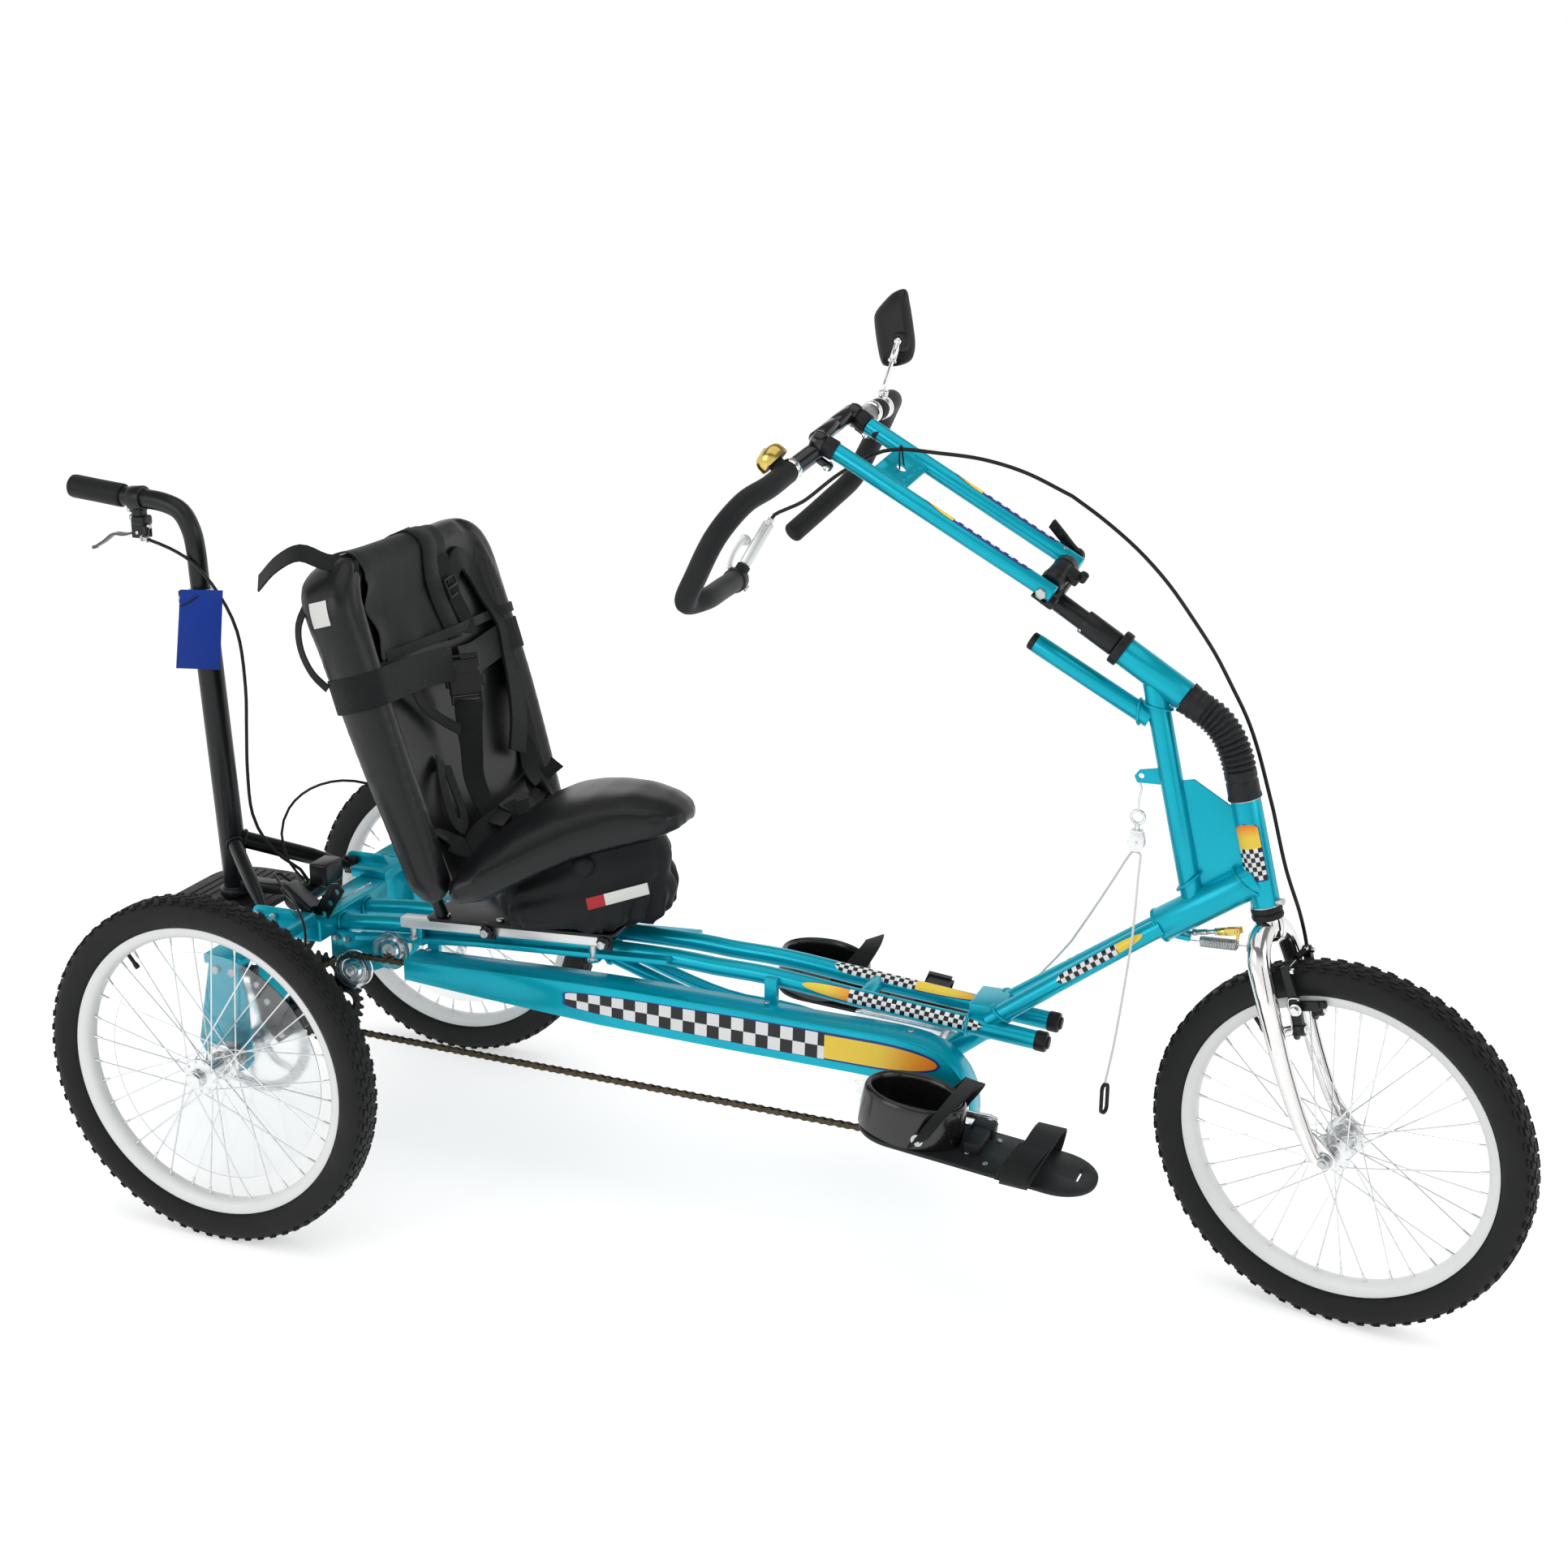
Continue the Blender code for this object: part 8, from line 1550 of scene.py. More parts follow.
def back_ring(height):
    """The outline of the back at a height: a thin panel between two foam rolls."""
    edge = min(height / 0.03, (BACK_TALL - height) / 0.034, 1.0)
    swell = max(0.14, math.sqrt(1.0 - (1.0 - edge) ** 2))
    width = back_width(height)
    roll = 0.0262 * swell
    panel = (0.0262 - 0.0245 * min(1.0, (BACK_TALL - height) / 0.075)) * swell
    deep = 0.034 * height / BACK_TALL * swell
    rear = -0.026 * swell - deep
    half = [
        (0.0, panel - 0.004), (0.45 * (width - 2.0 * roll), panel - 0.003), (width - 2.3 * roll, panel),
        (width - 1.72 * roll, 0.7 * roll), (width - roll, roll), (width - 0.3 * roll, 0.72 * roll),
        (width, 0.0), (width - 0.25 * roll, -0.7 * roll - 0.8 * deep), (width - roll, -roll - deep),
        (0.5 * width, rear), (0.0, rear - 0.003)]
    ring = half + [(-side, forward) for side, forward in reversed(half[1:-1])]
    return [back_place @ Vector((point.y, point.x - 0.0025, height)) for point in round_ring(
        [Vector((side, forward, 0.0)) for side, forward in ring], 88)]


back_cover = ring_mesh("back cover", [
    back_ring(BACK_TALL * (0.5 - 0.5 * math.cos(math.pi * (row + 0.35) / 43.7))) for row in range(44)])
inflate(back_cover, 0.0055, 0.003)

pan_stations = [
    (0.284, 0.168, 0.49, 0.009, 0.012), (0.289, 0.19, 0.492, 0.018, 0.03), (0.3, 0.201, 0.497, 0.026, 0.043),
    (0.328, 0.197, 0.509, 0.03, 0.054), (0.362, 0.173, 0.527, 0.031, 0.054), (0.4, 0.142, 0.545, 0.031, 0.049),
    (0.44, 0.112, 0.561, 0.03, 0.042), (0.49, 0.083, 0.572, 0.028, 0.036), (0.53, 0.063, 0.576, 0.022, 0.026),
    (0.553, 0.045, 0.577, 0.016, 0.016), (0.563, 0.028, 0.576, 0.01, 0.009), (0.567, 0.01, 0.575, 0.004, 0.004)]


def pan_at(x):
    """Half width, edge height, edge thickness and crest of the pan at a place along it."""
    for (x0, *first), (x1, *second) in zip(pan_stations, pan_stations[1:]):
        if x <= x1:
            share = max(0.0, (x - x0) / (x1 - x0))
            return [a + (b - a) * share for a, b in zip(first, second)]
    return pan_stations[-1][1:]


def pan_ring(x):
    """The outline of the pan at a place along it: crowned above and nearly flat below."""
    width, middle, edge, crest = pan_at(x)
    half = [
        (0.0, middle + crest), (0.4 * width, middle + crest * 0.97), (0.7 * width, middle + crest * 0.76),
        (0.91 * width, middle + edge * 0.66), (width, middle + edge * 0.05), (0.96 * width, middle - edge * 0.72),
        (0.82 * width, middle - edge), (0.0, middle - edge + 0.002)]
    ring = half + [(-y, z) for y, z in reversed(half[1:-1])]
    return [from_axle(x, point.x, point.y) for point in round_ring([Vector((y, z, 0.0)) for y, z in ring], 72)]


pan_cover = ring_mesh("pan cover", [
    pan_ring(0.284 + 0.283 * (0.5 - 0.5 * math.cos(math.pi * row / 47.0))) for row in range(48)])
inflate(pan_cover, 0.005, 0.003)
bpy.context.view_layer.update()


# The harness: nylon webbing over and round the back, with a side-release buckle and a slide, and
# loose straps that lie on the pan. A cloth flap hangs over the top of the back under the straps.
def from_back(x, y, z):
    """A point in the back's own axes."""
    return back_place @ Vector((x, y, z))


def touch(cover, origin, target, lift):
    """Where a line from a point towards another first meets a cover, lifted off its surface."""
    origin, target = Vector(origin), Vector(target)
    met, spot, normal, _ = cover.ray_cast(origin, (target - origin).normalized())
    return spot + normal * lift if met else target


def webbing(name, points, half, thickness, facing):
    """Webbing of even width along points, its face turned towards one direction or one for each."""
    count = len(points)
    across = []
    for index in range(count):
        along = points[min(count - 1, index + 1)] - points[max(0, index - 1)]
        face = Vector(facing[index]) if isinstance(facing, list) else Vector(facing)
        across.append(along.cross(face).normalized() * (half[index] if isinstance(half, list) else half))
    return flat_strip(name, points, across, thickness)


def over_top(side, height, lift, turn_deg):
    """A place on the top of the back, met at an angle above the forward direction."""
    turn = math.radians(turn_deg)
    target = back_place @ Vector((-0.006, side, height))
    origin = target + back_place.to_3x3() @ Vector((math.cos(turn), 0.0, math.sin(turn))) * 0.3
    return touch(back_cover, origin, target, lift)


def on_back(side, height, lift):
    """A place on the front of the back, lifted off its cover."""
    return touch(back_cover, back_place @ Vector((0.3, side, height)), back_place @ Vector((-0.2, side, height)),
        lift)


def on_pan(x, y, lift):
    """A place on top of the pan, lifted off its cover."""
    return touch(pan_cover, from_axle(x, y, 0.9), from_axle(x, y, 0.3), lift)


def around_back(turn_deg, side, height, lift):
    """A place round the back's edge at a height, met along a turn from forward to the far side."""
    turn = math.radians(turn_deg)
    target = back_place @ Vector((-0.012, side, height))
    return touch(back_cover, target + back_place.to_3x3() @ Vector((math.cos(turn), math.sin(turn), 0.0)) * 0.2,
        target, lift)


FLAP_COLUMNS = 30
flap_rows = []
for row in range(46):
    line = []
    for column in range(FLAP_COLUMNS + 1):
        side = -0.15 + 0.228 * column / FLAP_COLUMNS
        near_left = math.exp(-((side + 0.15) / 0.022) ** 2)
        if row <= 16:
            line.append(over_top(side, 0.446, 0.0022 + 0.002 * near_left, 118.0 - 118.0 * row / 16.0))
        else:
            share = (row - 16) / 29.0
            foot = 0.34 - 0.01 * abs(math.sin(31.0 * side + 0.6)) - 0.03 * max(0.0, side)
            height = 0.446 + (foot - 0.446) * share
            hem = 0.9 * share ** 4 * (0.5 + 0.5 * math.sin(75.0 * side))
            ripple = near_left * (0.5 + 0.5 * math.sin(90.0 * height)) + hem
            line.append(on_back(side + 0.006 * near_left * math.sin(70.0 * height), height, 0.0026 + 0.0065 * ripple))
    flap_rows.append(line)
deselect()
bpy.ops.mesh.primitive_grid_add(x_subdivisions=FLAP_COLUMNS, y_subdivisions=45, size=2.0)
flap = bpy.context.object
for vert in flap.data.vertices:
    vert.co = flap_rows[round((1.0 - vert.co.y) / 2.0 * 45)][round((vert.co.x + 1.0) / 2.0 * FLAP_COLUMNS)]
thick = flap.modifiers.new("cloth", "SOLIDIFY")
thick.thickness = 0.0016
thick.offset = 0.0
bpy.ops.object.modifier_apply(modifier=thick.name)
smoother = flap.modifiers.new("soften", "SUBSURF")
smoother.levels = smoother.render_levels = 1
bpy.ops.object.modifier_apply(modifier=smoother.name)
bpy.ops.object.shade_smooth()

near_wrap = [around_back(turn_deg, -0.178, 0.306, 0.0024) for turn_deg in range(-168, -14, 11)]
near_facing = [back_place.to_3x3() @ Vector((math.cos(math.radians(turn_deg)), math.sin(math.radians(turn_deg)), 0.0))
               for turn_deg in range(-168, -14, 11)]
belt_run = smooth_route([near_wrap[-1]] + [back_place @ Vector(place_on) for place_on in (
    (0.0285, -0.14, 0.305), (0.029, -0.095, 0.303), (0.0315, -0.055, 0.3), (0.034, -0.02, 0.296))], 0.012)
belt_near = webbing(
    "near belt", near_wrap + belt_run[1:], 0.024, 0.0026,
    near_facing + [back_forward + leftwards(-0.5)] * (len(belt_run) - 1))
belt_far = webbing("far belt", smooth_route([back_place @ Vector(place_on) for place_on in (
    (0.034, 0.0, 0.292), (0.025, 0.045, 0.288), (0.016, 0.09, 0.288), (0.015, 0.135, 0.292))] + [
    around_back(turn_deg, 0.168, 0.296, 0.002) for turn_deg in (0, 30, 60, 90, 120, 150)], 0.012), 0.0225, 0.0022,
    back_forward)
fit([belt_near, belt_far], "chest_webbing", "seat", "black_webbing", nylon_webbing, "chest_belt")

straps = [webbing("near shoulder strap", smooth_route(
    [over_top(0.03, 0.446, 0.0052, turn_deg) for turn_deg in (128, 100, 75, 50, 25, 0)] + [
        on_back(side, height, lift) for side, height, lift in (
            (0.033, 0.42, 0.0056), (0.037, 0.38, 0.006), (0.041, 0.345, 0.0085), (0.04, 0.322, 0.012))], 0.01),
    0.0195, 0.0024, back_forward + Vector((0.0, 0.0, 0.02)))]
pad_route = route_on(on_back, (
    (0.078, 0.385, 0.006), (0.082, 0.412, 0.0085), (0.104, 0.43, 0.0085), (0.134, 0.412, 0.006),
    (0.156, 0.368, 0.003), (0.166, 0.318, 0.003), (0.164, 0.27, 0.006), (0.148, 0.228, 0.018),
    (0.126, 0.178, 0.02), (0.106, 0.135, 0.014)), 0.009)
straps.append(webbing(
    "padded strap", pad_route, [0.0145 + 0.0065 * min(1.0, index / len(pad_route) * 1.3)
        for index in range(len(pad_route))],
    0.005, back_forward))
straps.append(webbing("slide strap", route_on(on_back, (
    (0.062, 0.44, 0.005), (0.066, 0.41, 0.008), (0.072, 0.375, 0.01), (0.078, 0.345, 0.013), (0.07, 0.322, 0.018)),
    0.009),
    0.0125, 0.002, back_forward + leftwards(-0.3)))
band_route = [on_back(side, height, lift) for side, height, lift in (
    (-0.14, 0.338, 0.007), (-0.1, 0.336, 0.0095), (-0.057, 0.335, 0.011), (0.0, 0.334, 0.011), (0.048, 0.334, 0.015),
    (0.105, 0.334, 0.013), (0.14, 0.333, 0.007))]
band_route += [around_back(turn_deg, 0.178, 0.334, 0.002) for turn_deg in (-8, 25, 55, 90, 125, 160)]
straps.append(webbing("edge band", smooth_route(band_route, 0.01), 0.0068, 0.0036, back_forward))
face_way = Vector((0.5, -0.83, 0.18)).normalized()
crotch_route = smooth_route([back_place @ Vector(place_on) for place_on in (
    (0.036, -0.012, 0.24), (0.034, -0.022, 0.215), (0.028, -0.028, 0.175), (0.02, -0.032, 0.13))] + [
    on_pan(0.296, -0.036, 0.014), on_pan(0.318, -0.044, 0.005), on_pan(0.35, -0.062, 0.003)], 0.009)
straps.append(webbing(
    "crotch strap", crotch_route, [0.0205 - 0.004 * min(1.0, index / 8.0) for index in range(len(crotch_route))],
    0.0026, [
        face_way.lerp(back_forward, min(1.0, index / len(crotch_route) * 1.2))
        for index in range(len(crotch_route))]))
straps.append(webbing("tie strap", route_on(from_back, (
    (0.024, -0.118, 0.288), (0.016, -0.098, 0.262), (0.018, -0.07, 0.232), (0.026, -0.04, 0.205)), 0.009),
    0.0085, 0.0022, back_forward))
straps.append(webbing("loose loop", route_on(on_back, (
    (-0.08, 0.178, 0.004), (-0.1, 0.16, 0.012), (-0.116, 0.125, 0.018), (-0.116, 0.095, 0.02), (-0.1, 0.08, 0.02),
    (-0.086, 0.098, 0.018), (-0.08, 0.135, 0.012), (-0.072, 0.165, 0.006)), 0.008), 0.0095, 0.0022, back_forward))
straps.append(webbing("near lap strap", smooth_route([
    on_back(-0.165, 0.085, 0.004), on_back(-0.14, 0.078, 0.008), on_pan(0.294, -0.118, 0.008),
    on_pan(0.304, -0.09, 0.009), on_pan(0.316, -0.062, 0.009), on_pan(0.33, -0.04, 0.006)], 0.009),
    0.019, 0.0024, Vector((0.6, -0.2, 1.0))))
straps.append(webbing("far lap strap", smooth_route([
    on_pan(0.322, -0.055, 0.01), on_pan(0.316, -0.01, 0.012), on_pan(0.306, 0.04, 0.011), on_pan(0.298, 0.09, 0.008),
    on_back(0.15, 0.088, 0.006), on_back(0.178, 0.1, 0.003)], 0.009), 0.02, 0.0024, Vector((0.5, -0.1, 1.0))))
straps.append(webbing("far tail", smooth_route([
    on_back(0.15, 0.15, 0.0025), on_back(0.146, 0.128, 0.006), on_back(0.132, 0.1, 0.012), on_pan(0.302, 0.1, 0.015),
    on_pan(0.318, 0.07, 0.014)], 0.009), 0.0165, 0.0024, Vector((0.7, -0.2, 0.6))))
straps.append(webbing("corner strap", smooth_route([
    over_top(-0.15, 0.43, 0.004, 60.0), over_top(-0.17, 0.42, 0.004, 95.0), from_axle(0.092, -0.196, 0.944),
    from_axle(0.062, -0.204, 0.929), from_axle(0.03, -0.202, 0.899)], 0.009), 0.0165, 0.0026,
    Vector((-0.3, -0.7, 0.8))))
straps.append(webbing("rear strap", route_on(from_back, (
    (-0.045, -0.196, 0.436), (-0.062, -0.205, 0.412), (-0.068, -0.209, 0.38), (-0.062, -0.209, 0.345),
    (-0.048, -0.206, 0.32)), 0.009), 0.007, 0.0022, Vector((-0.5, -1.0, 0.0))))
fit(straps, "harness_straps", "seat", "black_webbing", nylon_webbing, "shoulder_straps")

buckle_turn = axis_turn((-0.1, 0.0, 1.0), face_way.cross(Vector((-0.1, 0.0, 1.0))))
buckle_at = back_place @ Vector((0.04, -0.012, 0.272))


def buckle_block(size, centre, bevel=0.0015):
    """A moulded part of the buckle, placed in the buckle's own axes."""
    return block("buckle part", size, buckle_at + buckle_turn @ Vector(centre), bevel, buckle_turn)


buckle = [
    buckle_block((0.046, 0.0105, 0.034), (0.0, 0.0, -0.008), 0.003),
    buckle_block((0.04, 0.0085, 0.02), (0.0, 0.0, 0.016), 0.002),
    buckle_block((0.046, 0.008, 0.004), (0.0, 0.0, 0.031)),
    buckle_block((0.04, 0.006, 0.003), (0.0, 0.0, 0.025), 0.0008),
    buckle_block((0.005, 0.008, 0.018), (-0.0205, 0.0, 0.023)),
    buckle_block((0.005, 0.008, 0.018), (0.0205, 0.0, 0.023)),
    buckle_block((0.007, 0.006, 0.015), (-0.024, 0.0, -0.006), 0.0025),
    buckle_block((0.007, 0.006, 0.015), (0.024, 0.0, -0.006), 0.0025),
    buckle_block((0.044, 0.008, 0.0035), (0.0, 0.0, -0.036)),
    buckle_block((0.044, 0.005, 0.003), (0.0, 0.0, -0.029), 0.0008),
    buckle_block((0.0045, 0.008, 0.016), (-0.02, 0.0, -0.03)),
    buckle_block((0.0045, 0.008, 0.016), (0.02, 0.0, -0.03))]
slide_at = on_back(0.069, 0.393, 0.0115)
slide_turn = axis_turn(back_place.to_3x3() @ Vector((0.0, 0.12, -1.0)), (0.0, 1.0, 0.0))
for size, centre in (
    ((0.03, 0.0032, 0.0035), (0.0, 0.0, -0.013)), ((0.03, 0.0032, 0.0035), (0.0, 0.0, 0.013)),
    ((0.03, 0.0045, 0.004), (0.0, 0.0008, 0.0)), ((0.003, 0.004, 0.029), (-0.0145, 0.0, 0.0)),
    ((0.003, 0.004, 0.029), (0.0145, 0.0, 0.0)),
):
    buckle.append(block("slide part", size, slide_at + slide_turn @ Vector(centre), 0.001, slide_turn))
for start_x, start_y in ((0.318, -0.075), (0.306, 0.06)):
    spot = on_pan(start_x, start_y, 0.011)
    buckle.append(block("strap keeper", (0.024, 0.03, 0.0045), spot, 0.0012, axis_turn((0.2, -0.3, 1.0))))
fit(buckle, "side_release_buckle", "seat", "black_plastic", moulded_black, "harness_buckle")

label_grid = []
for row in range(7):
    label_grid.append([touch(
        back_cover, back_place @ Vector((-0.036 + 0.03 * column / 6.0, -0.4, 0.402 + 0.033 * row / 6.0)),
        back_place @ Vector((-0.036 + 0.03 * column / 6.0, 0.0, 0.402 + 0.033 * row / 6.0)), 0.0009)
        for column in range(7)])
deselect()
bpy.ops.mesh.primitive_grid_add(x_subdivisions=6, y_subdivisions=6, size=2.0)
side_label = bpy.context.object
for vert in side_label.data.vertices:
    vert.co = label_grid[round((vert.co.y + 1.0) * 3.0)][round((vert.co.x + 1.0) * 3.0)]
bpy.ops.object.shade_smooth()
fit(back_cover, "padded_back", "seat", "black_vinyl", upholstery, "seat_back")
fit(pan_cover, "padded_pan", "seat", "black_vinyl", upholstery, "seat_pan")
fit(flap, "head_flap", "seat", None, coated_nylon)


# The skirt: coated nylon gathered under the pan's edge, which hangs in folds to the base plate, with
# a cloth-covered dome button and a plain ribbon label.
def skirt_point(turn, fall):
    """A point of the skirt at a turn round it and a share of its fall, with the cloth's folds."""
    levels = [(0.0, 0.312, 0.518, 0.12, 0.056), (0.3, 0.3, 0.53, 0.132, 0.066), (0.62, 0.3, 0.536, 0.138, 0.072),
              (0.85, 0.304, 0.528, 0.134, 0.07), (1.0, 0.31, 0.505, 0.128, 0.062)]
    for first, second in zip(levels, levels[1:]):
        if fall <= second[0]:
            share = (fall - first[0]) / (second[0] - first[0])
            share = share * share * (3.0 - 2.0 * share)
            rear, front, rear_width, front_width = [a + (b - a) * share for a, b in zip(first[1:], second[1:])]
            break
    along = (1.0 + math.cos(turn)) / 2.0
    width = rear_width + (front_width - rear_width) * along
    low = max(0.0, fall - 0.45)
    fold = fall * (0.0045 * math.cos(7.0 * turn + 1.4 * fall) + 0.0028 * math.sin(12.0 * turn + 0.8 + 2.6 * fall))
    fold += low * 0.012 * math.sin(19.0 * turn + 0.5) * (0.4 + 0.6 * math.cos(turn) ** 2)
    fold += 0.0035 * math.exp(-((fall - 0.45) / 0.12) ** 2) * math.sin(3.0 * turn + 9.0 * fall)
    reach = 1.0 + fold / width
    x_share = math.copysign(abs(math.cos(turn)) ** 0.75, math.cos(turn))
    y_share = math.copysign(abs(math.sin(turn)) ** 0.75, math.sin(turn))
    x = (rear + front) / 2.0 + (front - rear) / 2.0 * x_share * reach
    _, middle, edge, _ = pan_at(min(x, 0.55))
    top = middle - edge - 0.0012
    hem = 0.4205 + 0.0012 * math.sin(15.0 * turn)
    return from_axle(x, width * y_share * reach, top + (hem - top) * fall)


SKIRT_COLUMNS, SKIRT_ROWS = 180, 34
skirt_rings = [
    [skirt_point(math.tau * column / SKIRT_COLUMNS, row / SKIRT_ROWS) for column in range(SKIRT_COLUMNS)]
    for row in range(SKIRT_ROWS + 1)]
skirt = ring_mesh("skirt", skirt_rings, capped=False)
thick = skirt.modifiers.new("cloth", "SOLIDIFY")
thick.thickness = 0.0012
bpy.ops.object.modifier_apply(modifier=thick.name)
smoother = skirt.modifiers.new("soften", "SUBSURF")
smoother.levels = smoother.render_levels = 1
bpy.ops.object.modifier_apply(modifier=smoother.name)
bpy.ops.object.shade_smooth()
bpy.context.view_layer.update()
button_at = touch(skirt, from_axle(0.441, -0.3, 0.516), from_axle(0.441, 0.0, 0.516), 0.0)
button = turned("dome button", [(0.0, 0.008), (0.007, 0.0074), (0.0125, 0.005), (0.016, 0.0012), (0.0165, -0.001),
                                (0.015, -0.0022), (0.0, -0.0022)], button_at, (0.15, -1.0, 0.12), 48)
strip_touch = [touch(skirt, from_axle(x, -0.3, z), from_axle(x, 0.0, z), 0.0016) for x, z in (
    (0.461, 0.474), (0.469, 0.475), (0.476, 0.476), (0.486, 0.478), (0.496, 0.48), (0.506, 0.482), (0.516, 0.484),
    (0.524, 0.486))]
strip_line = [strip_touch[0].lerp(strip_touch[-1], index / 7.0) for index in range(8)]
strip_lift = min(touched.y - laid.y for touched, laid in zip(strip_touch, strip_line))
for laid in strip_line:
    laid.y += min(0.0, strip_lift) - 0.0004
ribbon_label = webbing("ribbon label", strip_line[2:], 0.008, 0.0006, Vector((0.4, -1.0, 0.2)))
ribbon_end = webbing("ribbon end", strip_line[:3], 0.008, 0.0005, Vector((0.4, -1.0, 0.2)))
fit(skirt, "gathered_skirt", "seat", "black_vinyl", coated_nylon, "seat_skirt")
fit(button, "skirt_button", "seat", None, coated_nylon)
fit([side_label, ribbon_label], "plain_labels", "seat", None, label_ribbon)
red_ribbon, tree, shader, place = finish("red_woven_ribbon", Roughness=0.55, IOR=1.5, Sheen_Weight=0.2)
ribbon = noise(tree, place, 900.0)
tint(tree, shader, "#9b1420", "#cf2632", ribbon)
fit(ribbon_end, "label_end", "seat", None, red_ribbon)


# The seat's runners: two square aluminium rails on short posts, and the black steel base that slides
# along them with the pan's supports, the back's bent posts, and a clamp bolt at each corner.
def on_rail(x, lift, y):
    """A point over the seat's rails, which slope up to the front."""
    slope = math.atan2(0.403 - 0.3865, 0.465 - 0.141)
    return from_axle(x - lift * math.sin(slope), y, 0.3865 + (x - 0.141) * math.tan(slope) + lift * math.cos(slope))


rail_way = (from_axle(0.465, 0.0, 0.403) - from_axle(0.141, 0.0, 0.3865)).normalized()
for label, side in (("right", -1.0), ("left", 1.0)):
    middle = on_rail(0.303, 0.0, side * 0.06)
    rail_turn = Matrix.Rotation(-math.atan2(rail_way.z, rail_way.x), 3, "Y")
    rail = block("rail", (0.3244, 0.02, 0.015), middle, 0.0012, rail_turn)
    take_away(rail, block("mouth", (0.024, 0.016, 0.011), middle + rail_way * 0.1622, 0.001, rail_turn))
    take_away(rail, block("mouth", (0.024, 0.016, 0.011), middle - rail_way * 0.1622, 0.001, rail_turn))
    fit(rail, "seat_runner_" + label, "trike", "aluminium", brushed_aluminium, "seat_rail_" + label)
posts = []
for side in (-1.0, 1.0):
    for x, foot in ((0.157, 0.36), (0.4415, 0.37)):
        top = on_rail(x, -0.0072, side * 0.06)
        posts.append(pin("runner post", Vector((top.x, top.y, foot)), top, 0.0052, 24))
        posts.append(pin("runner post collar", Vector((top.x, top.y, foot)), Vector((top.x, top.y, foot + 0.004)),
            0.0075, 24))
fit(posts, "runner_posts", "trike", "steel", zinc_plated)

base_lift = 0.0075 + 0.0003 + 0.0035
corners = [on_rail(x, base_lift, y) for x, y in ((0.186, -0.07), (0.194, -0.078), (0.473, -0.078), (0.481, -0.07),
                                                 (0.481, 0.07), (0.473, 0.078), (0.194, 0.078), (0.186, 0.07))]
rail_up = Vector((-rail_way.z, 0.0, rail_way.x))
base = [cut_plate("base plate", corners, rail_up * 0.005, 0.0008)]
for x in (0.345, 0.425):
    _, middle, edge, _ = pan_at(x)
    foot, head = on_rail(x, base_lift, 0.0), from_axle(x, 0.0, middle - edge - 0.003)
    base.append(block("pan support", (0.012, 0.06, (head - foot).length), (foot + head) / 2.0, 0.0015))
_, low_middle, low_edge, _ = pan_at(0.335)
_, high_middle, high_edge, _ = pan_at(0.435)
shelf_start = from_axle(0.335, 0.0, low_middle - low_edge - 0.0034)
shelf_end = from_axle(0.435, 0.0, high_middle - high_edge - 0.0034)
shelf_up = (shelf_end - shelf_start).normalized()
base.append(block("pan shelf", ((shelf_end - shelf_start).length, 0.12, 0.0045), (shelf_start + shelf_end) / 2.0,
    0.001,
                  Matrix.Rotation(-math.atan2(shelf_up.z, shelf_up.x), 3, "Y")))
for side in (-1.0, 1.0):
    low = back_place @ Vector((-0.0462, side * 0.11, 0.07))
    high = back_place @ Vector((-0.07, side * 0.11, 0.39))
    foot = on_rail(low.x + 0.6455 + 0.006, base_lift + 0.003, side * 0.066)
    base.append(tube("bent post", smooth_route([foot, foot.lerp(low, 0.5) + leftwards(side * 0.006), low,
        low.lerp(high, 0.3), high], 0.01), 0.009, 20))
base.append(tube("bridge", [back_place @ Vector((-0.069, y, 0.375)) for y in (-0.11, 0.0, 0.11)], 0.006, 16))
bolts = []
for side in (-1.0, 1.0):
    for distance in (0.145, 0.326):
        top = on_rail(0.141 + distance, base_lift, 0.0)
        centre = Vector((top.x, side * 0.0733, top.z - 0.0095))
        base.append(block("clamp tab", (0.022, 0.0055, 0.024), centre, 0.0012))
        base.append(pin("knob", centre + leftwards(side * 0.002), centre + leftwards(side * 0.009),
            0.01, 9, 0.0015))
        bolts.append(pin("clamp bolt", centre + leftwards(side * 0.008),
            centre + leftwards(side * 0.0158), 0.0062, 20, 0.0015))
    for x in (0.215, 0.3, 0.455):
        spot = on_rail(x, base_lift + 0.002, side * 0.064)
        bolts.append(pin("plate bolt", spot, spot + rail_up * 0.0045, 0.0058, 20, 0.0018))
fit(base, "seat_base", "seat", "black_paint", black_enamel, "seat_frame")
fit(bolts, "seat_bolts", "seat", "steel", zinc_plated)


# The rear platform and push handle: a black post stands on a rounded plastic platform and is held by an
# arm and two braces. A bent black tube slides in it, clamped by a lever, with a foam sleeve on its end.
platform_outline = [
    from_axle(-0.193 + along, across, 0.3562) for along, across in rounded_outline(0.08, 0.122, 0.06, 10)]
platform = cut_plate("rear platform", platform_outline, (0.0, 0.0, 0.0075), 0.0018)
treads = []
for row in range(9):
    at = -0.252 + row * 0.0148
    half = 0.118 - max(0.0, 0.058 - (at + 0.273)) ** 2 * 16.0 - max(0.0, 0.058 - (-0.113 - at)) ** 2 * 16.0
    if abs(at + 0.181) < 0.03:
        for side in (-1.0, 1.0):
            treads.append(block(
                "tread", (0.004, half - 0.036, 0.0014), from_axle(at, side * (0.03 + (half - 0.036) / 2.0), 0.3602),
                0.0006))
    else:
        treads.append(block("tread", (0.004, half * 2.0 - 0.012, 0.0014), from_axle(at, 0.0, 0.3602), 0.0006))
fit([platform, *treads], "rear_platform_board", "trike", "black_plastic", pebbled_board, "rear_platform")

